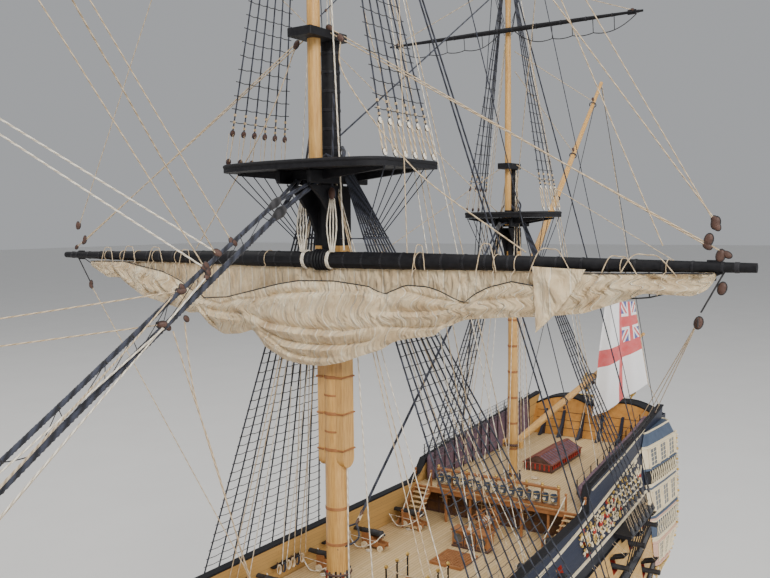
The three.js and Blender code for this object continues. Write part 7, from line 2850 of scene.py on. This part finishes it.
def makeBowsprit():
    shape = newShape()
    (xa, za), (xb, zb) = bow["spritFrom"], bow["spritTo"]
    length = math.hypot(xb - xa, zb - za)
    axis = ((xb - xa) / length, 0, (zb - za) / length)
    r0, r1 = bow["spritRadius"]

    def thick(d):
        return r0 + (r1 - r0) * d / length
    stops = np.linspace(0, length, 12)
    addTurned(shape, [(0, 0)] + [(thick(d), d) for d in stops] + [(0, length)], onSprit(0), axis,
              22, 0)
    for d in np.arange(15.5, 66, 5.2):
        r = thick(d)
        addHoop(shape, onSprit(d), axis, r, 0.09, 0.42, 0.36, 22, 2)
    for d in (24.0, 30.5):  # gammoning down to the stem
        for k in range(6):
            p = onSprit(d + (k - 2.5) * 0.27)
            r = thick(d) + 0.13
            low = (p[0] + 0.2, 46.6 + 0.05 * k)
            path = [(p[0] - 0.1, r * math.sin(a), p[2] + r * math.cos(a)) for a in np.linspace(-2.0,
                2.0, 13)]
            path = [(low[0], -0.75, low[1])] + path + [(low[0], 0.75, low[1])]
            addTube(shape, path, 0.13, 5, 3)
    cap = [onSprit(length + s, lift) for s,
           lift in ((-0.6, -1.1), (0.6, -1.1), (0.6, 3.1), (-0.6, 3.1))]
    addPlate(shape, [(p[0], p[2]) for p in cap], upright, -1.15, 1.15, 1)
    for sign in (1, -1):  # bees either side under the jibboom
        rim = [onSprit(d, lift) for d, lift in ((60, 0.5), (68.5, 0.5), (68.5, 1.2), (60, 1.2))]
        y0, y1 = sorted((sign * 0.5, sign * 1.7))
        addPlate(shape, [(p[0], p[2]) for p in rim], upright, y0, y1, 1)
    finishShape(shape, "bowspritSpar", "hull", ("sparAlong", "black", "iron", "tarred"),
                replaces=("bowsprit",))
    shape = newShape()
    first, last = bow["boomAlong"]
    b0, b1 = bow["boomRadius"]
    lift = bow["boomLift"]
    addTurned(shape, [(0, 0), (b0, 0.1), (b0, 20), ((b0 + b1) / 2, 42), (b1, last - first - 0.2),
                      (0, last - first)],
              onSprit(first, lift), axis, 18, 0)
    for d in (first + 1.2, first + 3, first + 9, last - 2.0, last - 0.9):
        r = b0 + (b1 - b0) * (d - first) / (last - first)
        addHoop(shape, onSprit(d, lift), axis, r, 0.08, 0.25, 0.2, 18, 1)
    for k in range(7):  # lashing of the heel
        c = onSprit(first + 5.0 + k * 0.24, lift / 2)
        ring = []
        for a in fullTurn(16):
            ring.append(c + np.array((-axis[2], 0, axis[0])) * 2.25 * math.cos(a) + np.array((0,
                1.2, 0)) * math.sin(a))
        addTube(shape, ring, 0.11, 5, 2, closed=True)
    for sign in (1, -1):
        for d in np.arange(first + 22, last - 4, 5.5):
            addLine(shape, onSprit(d, lift - 0.4, sign * 0.2), onSprit(d, lift - 2.6, sign * 1.0),
                    0.06, 4, 2)
        line = [onSprit(d, lift - 2.6 + 0.5 * (k % 2), sign * 1.0) for k,
                d in enumerate(np.arange(first + 20, last - 3, 2.75))]
        addTube(shape, line, 0.07, 4, 2)
    for end, at in ((last - 1, (108.6, 43.9)), (first + 19, (107.8, 42.6))):
        addLine(shape, onSprit(end, lift - 0.4), (at[0], 0, at[1] + 1.0), 0.13, 5, 2)
    finishShape(shape, "jibboomSpar", "hull", ("sparAlong", "iron", "tarred"),
                replaces=("jibboom",))
    print("bowsprit done")


def makeAnchor(sign, side):
    shape = newShape()
    x, z = bow["anchorAt"]
    y = sign * (breadth(x - 6.5, 42) + 1.3)
    addTube(shape, [(x - 1.5, y, z - 6.2), (x - 0.7, y, z), (x, y, z + 9)], [0.52, 0.44, 0.36], 10,
            0)
    for s in (1, -1):
        arm = [(x - 1.5, y, z - 6.2), (x + s * 2.2 - 1.4, y, z - 5.6),
               (x + s * 4.0 - 1.2, y, z - 4.4), (x + s * 5 - 1, y, z - 3)]
        addTube(shape, curveThrough(arm, 4), np.linspace(0.5, 0.26, 13), 8, 0)
        palm = [(x + s * 5 - 1.9, z - 3.9), (x + s * 5 - 0.4, z - 3.8), (x + s * 5.6 - 1, z - 1.4)]
        addPlate(shape, palm[::s], upright, y - 0.9, y + 0.9, 0)
        line = [(x + s * d, y + sign * 0.05, z + 7.4) for d in (0, 6)]
        addTube(shape, line, [0.66, 0.42], 8, 1)
        for d in (0.9, 2.4, 4.0, 5.3):
            r = 0.67 - 0.24 * d / 6
            addHoop(shape, (x + s * d, y + sign * 0.05, z + 7.4), (1, 0, 0), r, 0.07, 0.16, 0.12,
                    10, 0)
    ring = [(x + 0.95 * math.cos(a), y, z + 9.6 + 0.95 * math.sin(a)) for a in fullTurn(20)]
    addTube(shape, ring, 0.17, 7, 2, closed=True)
    for k in range(4):
        addLine(shape, (x + (k - 1.5) * 0.28, y, z + 10.4),
                (x - 1.2 + (k - 1.5) * 0.28, sign * (breadth(x - 1, 56) + 0.2), 57.3), 0.09, 5, 2)
    addLine(shape, (x - 1.2, y, z - 5.6), (x - 6, sign * (breadth(x - 6, 49) + 0.2), 49.4), 0.12, 5,
            2)
    finishShape(shape, f"anchor_{side}", "hull", ("gunIron", "dark", "tarred"),
                replaces=(f"anchor_{side}",))


makeBeakhead()
makeHeadRails()
makeBowsprit()
for anchorSign, anchorSide in ((1, "port"), (-1, "starboard")):
    makeAnchor(anchorSign, anchorSide)
print("anchors done")


# gaff, boom and running rigging

spanker = {
    "gaff": {"throat": (-55.4, 0, 88.7), "peak": (-99.1, 0, 133.2), "radius": 0.62},
    "boom": {"throat": (-55.3, 0, 62.1), "peak": (-132.5, 0, 73.2), "radius": 0.7},
}


def makeSpanker(name):
    spec = spanker[name]
    shape = newShape()
    a, b, r = np.array(spec["throat"], float), np.array(spec["peak"], float), spec["radius"]
    length = np.linalg.norm(b - a)
    axis = (b - a) / length
    addTurned(shape, [(0, 0), (0.8 * r, 0), (r, 8), (r, 22), (0.55 * r, length), (0, length)], a,
              axis, 18, 0)
    for d in np.arange(5.0, length - 3, 7.2):
        thick = r * float(np.interp(d, (0, 8, 22, length), (0.8, 1, 1, 0.55)))
        addHoop(shape, a + axis * d, axis, thick, 0.04, 0.12, 0.09, 18, 0)
    tip = 0.56 * r
    addTurned(shape, [(tip, -0.9), (tip + 0.05, -0.8), (tip + 0.05, 0), (0, 0.02)], b, axis, 16, 0)
    mastAt = masts["mizzen"]["x"]
    ring = [[(mastAt + q * math.cos(t), q * math.sin(t), a[2] + h) for q,
             h in ((1.09, -0.62), (1.9, -0.62), (1.9, 0.62), (1.09, 0.62))]
            for t in np.radians(np.linspace(70, 290, 27))]
    addGrid(shape, ring, 0, wrap=True)
    addFaces(shape, ring[0], [[0, 1, 2, 3]], 0)
    addFaces(shape, ring[-1], [[3, 2, 1, 0]], 0)
    for t in np.radians(np.linspace(-58, 58, 9)):
        addTurned(shape, [(0, -0.27), (0.2, -0.18), (0.28, 0), (0.2, 0.18), (0, 0.27)],
                  (mastAt + 1.5 * math.cos(t), 1.5 * math.sin(t), a[2]), sides=9, paint=2)
    marks = (0.42, 0.62, 0.88) if name == "gaff" else (0.3, 0.52, 0.9)
    for t in marks:
        at = lerp(a, b, t) + (0, 0, r * (1.9 if name == "gaff" else -1.9))
        addPulley(shape, at, (0, 0, 1), 0.4, 2, 3)
        ringLoop = [lerp(a, b, t) + (np.array((-axis[2], 0, axis[0])) * math.cos(k) + np.array((0,
            1, 0)) * math.sin(k)) * (r + 0.08)
                    for k in fullTurn(14)]
        addTube(shape, ringLoop, 0.11, 5, 3, closed=True)
    finishShape(shape, f"{name}Spar", name, ("sparAlong", "iron", "blockWood", "tarred"),
                replaces=(name,))


crossing = {  # lines from a swinging spar to the ship: spar, its end, the ship's end, radius, tone
    "peakHalyardHigh": ("gaff", (-93.9, 0, 128.6), (-54.4, 0, 133.0), 0.08, "cream"),
    "peakHalyardLow": ("gaff", (-82.5, 0, 117.0), (-54.4, 0, 129.5), 0.08, "cream"),
    "throatHalyard": ("gaff", (-56.6, 0, 90.6), (-55.4, 0, 103.6), 0.1, "cream"),
    "vangPort": ("gaff", (-98.3, 0.35, 132.2), (-92.5, 14.6, 62.4), 0.07, "ratline"),
    "vangStarboard": ("gaff", (-98.3, -0.35, 132.2), (-92.5, -14.6, 62.4), 0.07, "ratline"),
    "boomSheetPort": ("boom", (-95.6, 0.5, 67.2), (-93.6, 2.6, 54.6), 0.09, "cream"),
    "boomSheetStarboard": ("boom", (-95.6, -0.5, 67.2), (-93.6, -2.6, 54.6), 0.09, "cream"),
}


def makeCrossing(name, body, a, b, radius, tone):
    shape = newShape()
    addTube(shape, [lerp(a, b, t) for t in np.linspace(0, 1, 25)], radius, 6, 0)
    piece = finishShape(shape, name, None, (tone,))
    tuple(toMetres([lerp(a, b, 0.06)])[0])
    tuple(toMetres([lerp(a, b, 0.94)])[0])
    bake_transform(piece)


runningTones = ("white", "cream", "tarred", "ratline", "blockWood")
runningLines = [  # points, radius, tone, size of a block at the start and at the end
    ([(20.9, 0.2, 99.9), (83.5, -31, 144.2)], 0.13, 0, 0.9, 0.8),
    ([(22.7, 0.2, 98.3), (83.5, -31, 145.2)], 0.13, 0, 0.9, 0),
    ([(18.5, 0, 101.1), (83.3, 0, 184)], 0.09, 1, 0.8, 0.6),
    ([(22.4, 0, 98.1), (83.3, 0, 176.5)], 0.09, 1, 0.8, 0.6),
    ([(26.3, 0.3, 96.2), (82, -42, 87.8)], 0.1, 1, 0.85, 0.8),
    ([(29, 0.3, 93), (82, -42, 86.8)], 0.1, 1, 0.85, 0),
    ([(26.4, -0.3, 96.1), (39.6, 6, 91.0), (82, 42, 88.2)], 0.1, 1, 0.85, 0.8),
    ([(22.6, 0.3, 97.5), (82, 0.3, 52)], 0.13, 0, 0.8, 0.7),
    ([(22.6, -0.3, 97.1), (82, -0.3, 51)], 0.1, 1, 0, 0.7),
    ([(28.9, 0.4, 92.6), (60, 0.6, 75.4), (80.5, 0.6, 63.8)], 0.13, 0, 0, 0.7),
    ([(82.6, 42, 91.4), (82, 42, 88.6)], 0.12, 3, 0, 0),
    ([(82.6, -42, 91.4), (82, -42, 88.2)], 0.12, 3, 0, 0),
    ([(84.9, -31, 151.3), (83.5, -31, 144.8)], 0.1, 3, 0, 0),
    ([(84.9, 31, 151.3), (83.5, 31, 144.8)], 0.1, 3, 0, 0.8),
    ([(83.5, 31, 144.8), (20.5, -0.2, 99.4)], 0.1, 1, 0, 0),
    ([(2.7, 46.7, 100.4), (2.2, 1.6, 126.8)], 0.1, 1, 0.75, 0.9),
    ([(2.7, 48.5, 99.6), (2.2, 1.6, 126.3)], 0.1, 1, 0.75, 0),
    ([(2.7, -46.7, 100.4), (2.2, -1.6, 126.8)], 0.1, 1, 0.75, 0.9),
    ([(2.7, -48.5, 99.6), (2.2, -1.6, 126.3)], 0.1, 1, 0.75, 0),
    ([(2.7, 47.4, 102.8), (3, 0.6, 168)], 0.09, 1, 0.85, 0),
    ([(2.7, 47.5, 102.3), (3, 0.7, 184.5)], 0.08, 1, 0.8, 0),
    ([(2.7, -47.7, 102.9), (3, -0.7, 184.5)], 0.08, 1, 0.85, 0),
    ([(2.7, 42.5, 100.4), (3, 0.6, 199.5)], 0.08, 1, 0, 0),
    ([(2.7, 3.7, 99.6), (3, 0.9, 168)], 0.12, 0, 0, 0),
    ([(3.2, 13.2, 99.4), (4.6, 12.4, 162.5)], 0.08, 1, 0, 0),
    ([(3, 3.9, 125.2), (3, 3.9, 121.6), (3, 7.5, 116.3), (3, 11.9, 111.3), (3, 16.9, 106.9),
      (2.7, 28, 99.6)], 0.1, 1, 0.95, 0),
    ([(3, -3.0, 125.2), (3, -8.5, 115.6), (2.7, -22, 99.6)], 0.09, 1, 0.95, 0),
    ([(-1.5, 1.0, 150), (-4, 2.2, 131.3), (-4, 6.1, 118.4), (-4, 7.8, 110.4)], 0.08, 1, 0, 0),
    ([(2.66, 48.4, 98.2), (2.7, 46.2, 94.0)], 0.12, 3, 0, 0),
    ([(2.66, -48.4, 98.2), (2.7, -45.6, 94.4)], 0.12, 3, 0, 0),
    ([(2.7, 45.9, 93), (-91.8, 15, 62.2)], 0.09, 1, 0.95, 0.7),
    ([(2.7, 45.9, 93), (-86.8, 15, 62.6)], 0.09, 1, 0, 0),
    ([(2.7, 45.9, 93), (-81.4, 15, 63.0)], 0.09, 1, 0, 0.7),
    ([(2.7, -45.3, 93.7), (6.1, -10, 56)], 0.09, 1, 0.95, 0),
    ([(25.7, 0, 92.9), (25.2, 0, 88.3), (24.1, 0, 83.3), (19.8, 0, 70.8), (16.8, 0, 62.2),
      (12, 0.4, 49.5)], 0.1, 1, 0, 0),
    ([(27.3, 0, 92.1), (24.8, 0, 85), (21.2, 0, 75.1), (12.4, -0.6, 49.5)], 0.1, 1, 0, 0),
    ([(0.2, 1.85, 99), (0.1, 1.8, 53)], 0.13, 0, 0, 0),
    ([(0.2, 3.0, 98.6), (0, 4.7, 69.4), (0, 6, 50)], 0.11, 0, 0, 0),
    ([(4.4, 33, 162.2), (3.6, 32.5, 156)], 0.09, 3, 0, 0.7),
    ([(4.4, -33, 162.2), (3.6, -32.5, 156)], 0.09, 3, 0, 0.7),
    ([(3.6, 32.5, 156), (-52.2, 0.9, 103.2)], 0.08, 1, 0, 0.7),
    ([(3.6, -32.5, 156), (-52.2, -0.9, 103.2)], 0.08, 1, 0, 0.7),
    ([(5.6, 21, 207.6), (-52.4, 0.4, 145)], 0.06, 1, 0, 0.5),
    ([(5.6, -21, 207.6), (-52.4, -0.4, 145)], 0.06, 1, 0, 0.5),
    ([(85.4, 19, 194.6), (6.0, 0.4, 171)], 0.06, 1, 0, 0.5),
    ([(85.4, -19, 194.6), (6.0, -0.4, 171)], 0.06, 1, 0, 0.5),
]
blockScale = 0.62
lineScale = 0.8
fallSets = [  # halyards led down to the racks: top, feet, how far the tops spread, radius
    ((-1.6, 1.2, 168), [(x, 17.2, 51.2) for x in (-8.6, -11.4, -14.2, -22.2, -25.0)], 0.5, 0.07),
    ((-1.6, 1.4, 112), [(x, 17.4, 51.2) for x in (-9.8, -13, -20.6, -24.2)], 0.4, 0.07),
    ((-54.4, 0.6, 145), [(x, 14.6, 57.4) for x in (-58.2, -60.4, -62.6)], 0.4, 0.06),
    ((-54.6, 0.7, 104), [(-54.4 + 1.1 * k, 1.4 - 0.3 * k, 56.8) for k in (-1, 0, 1)], 0.3, 0.06),
    ((-53.0, 0.9, 112), [(-46.6, y, 58.2) for y in (2.4, 4.4, 6.8)], 0.3, 0.06),
    ((1.2, 1.3, 109), [(x, 17.6, 51.2) for x in (-1.6, 1.2, 3.0)], 0.4, 0.07),
]
stayBlocks = [(22.6, 0.5, 97.9), (20, -0.5, 99.9), (22.8, 0.4, 98.7), (18.2, 0.2, 100.9),
              (26, 0.6, 93.3), (27.5, -0.5, 92.5),
              (26.3, 0.4, 96.6), (28.9, -0.3, 92.9)]
yardBlocks = [(47.4, 102.6), (46.8, 101), (47.9, 99.5), (48.1, 96.4), (46, 93), (-48, 103),
              (-46.4, 100.8), (-45.3, 93.9)]


def makeRunning():
    shape = newShape()
    for points, r, tone, first, last in runningLines:
        path = curveThrough(points, 6) if len(points) > 2 else [lerp(points[0], points[1],
            t) for t in np.linspace(0, 1, 9)]
        addTube(shape, path, r * lineScale, 6, tone)
        a, b = np.array(points[0], float), np.array(points[-1], float)
        for at, way, size in ((a, b - a, first), (b, a - b, last)):
            if size:
                addPulley(shape, at, way, size * blockScale, 4, 3)
    for top, feet, spread, r in fallSets:
        for sign in (1, -1):
            for k, (fx, fy, fz) in enumerate(feet):
                head = (top[0], sign * (top[1] + spread * 0.3 * k), top[2] - spread * 2 * k)
                addLine(shape, head, (fx, sign * fy, fz), r, 5, 1 if k % 3 else 0, sag=0.4, steps=8)
    for x, y, z in stayBlocks:
        addPulley(shape, (x, y, z), (0.7, 0, 0.6), 0.7 * blockScale, 4, 3)
    for y, z in yardBlocks:
        addPulley(shape, (2.7, y, z), (0, 0.25, 1), blockScale, 4, 3)
    for name, spec in yards.items():  # lifts from the mast to each arm
        if name == "main":
            continue
        m = masts[spec["mast"]]
        low = "Top" not in name
        half = spec["length"] / 2
        high = m["cap"] + 0.4 if low else spec["z"] + half * 0.36
        for sign in (1, -1):
            arm = yardPoint(spec, sign * half * 0.93, 0, yardRadius(spec, half * 0.93) + 0.1)
            addLine(shape, arm, (m["x"] + (spec["ahead"] * 0.7 if low else spec["ahead"] - 1.0),
                                 sign * 0.9, high), 0.07, 5, 1)
            addPulley(shape, arm, (0, -sign, 0.6), 0.5 if low else 0.36, 4, 3)
    finishShape(shape, "runningRigging", "hull", runningTones)
    print("running rigging done")


# jeers: pale turns between blocks at each side of the mast, with the slings of the yard
def makeJeers():
    shape = newShape()
    for spec in (yards["main"], yards["fore"]):
        m = masts[spec["mast"]]
        x, z = m["x"] + spec["ahead"] + 0.9, spec["z"]
        for y in (2.5, -2.2):
            for k in range(4):
                off = (k - 1.5) * 0.3
                bulge = 0.2 * (k - 1.5)
                path = [(x, y + off * 0.6, z + 1.0), (x, y + off + bulge, z + 4.2),
                        (x - 0.2, y + off * 0.7, z + 7.6)]
                addTube(shape, curveThrough(path, 5), 0.085, 6, 0)
            addPulley(shape, (x - 0.2, y, z + 8.2), (0, 0, 1), 0.8, 1, 2)
            addLine(shape, (x - 0.2, y, z + 9.0), (m["x"] + 1.4, y * 0.6, m["cap"] - 7.0), 0.14, 6,
                    2)
        for k in range(5):
            a = (k - 2) * 0.45
            ring = [yardPoint(spec, a + 0.4, (spec["radius"] + 0.2) * math.cos(t),
                              (spec["radius"] + 0.2) * math.sin(t))
                    for t in fullTurn(16)]
            addTube(shape, ring, 0.16, 6, 3, closed=True)
        for y in (-2.3, 1.6):  # pale lashings round the yard
            for k in range(2):
                r = yardRadius(spec, y) + 0.1
                ring = [yardPoint(spec, y + k * 0.24, r * math.cos(t),
                                  r * math.sin(t)) for t in fullTurn(16)]
                addTube(shape, ring, 0.12, 5, 0, closed=True)
    finishShape(shape, "yardJeers", "hull", ("white", "blockWood", "tarred", "black"))
    print("jeers done")


for spankerName in spanker:
    makeSpanker(spankerName)
for lineName, lineSpec in crossing.items():
    makeCrossing(lineName, *lineSpec)
makeRunning()
makeJeers()


# the remaining nodes keep their solids and take a finish
keptFinish = {
    "baseboard": "walnut", "cradle_chock_fore": "walnut", "cradle_chock_aft": "walnut",
    "upper_deck": "deck",
    "quarter_deck": "deck", "forecastle_deck": "deck", "poop_deck": "deck", "keel_and_stem": "dark",
    "spritsail_yard": "black",
}


def finishKept():
    for name, key in keptFinish.items():
        node = frame["nodes"][name]
        node.data.materials.clear()
        node.data.materials.append(paint[key])
    print("kept nodes finished")


stageSizes = {"floor": 14.0, "floorTone": (0.82, 0.81, 0.79), "sky": (0.80, 0.82, 0.85),
              "skyStrength": 0.5}
lights = {  # place, size, power, colour, aimed at the model's middle
    "window": ((1.6, 1.5, 1.9), 1.1, 72, (1.0, 0.97, 0.92)),
    "left": ((-0.6, 2.4, 1.4), 1.8, 26, (0.95, 0.98, 1.0)),
    "top": ((0.2, -1.2, 2.6), 2.0, 30, (1.0, 0.97, 0.93)),
}


def makeStage():
    mesh = bpy.data.meshes.new("floor")
    half = stageSizes["floor"]
    mesh.from_pydata([(-half, -half, 0), (half, -half, 0), (half, half, 0), (-half, half, 0)], [],
                     [(0, 1, 2, 3)])
    floor = bpy.data.objects.new("floor", mesh)
    bpy.context.scene.collection.objects.link(floor)
    m = startMaterial("paleFloor", 0.8)
    setColor(m, ramp(m, noise(m, paintSpace(m, (3,) * 3), 3, 3), [
        (0.3, tuple(c * 0.97 for c in stageSizes["floorTone"])), (0.7, stageSizes["floorTone"])]))
    mesh.materials.append(m["material"])
    world = bpy.data.worlds.new("studio")
    world.use_nodes = True
    back = world.node_tree.nodes["Background"]
    back.inputs["Color"].default_value = (*stageSizes["sky"], 1)
    back.inputs["Strength"].default_value = stageSizes["skyStrength"]
    bpy.context.scene.world = world
    for name, (place, size, power, tone) in lights.items():
        data = bpy.data.lights.new(name, "AREA")
        data.size = size
        data.energy = power
        data.color = tone
        lamp = bpy.data.objects.new(name, data)
        bpy.context.scene.collection.objects.link(lamp)
        lamp.location = place
        lamp.rotation_euler = (Vector((0, 0, 0.35)) - Vector(place)).to_track_quat("-Z",
                                                                                   "Y").to_euler()
    print("stage done")


finishKept()
makeStage()
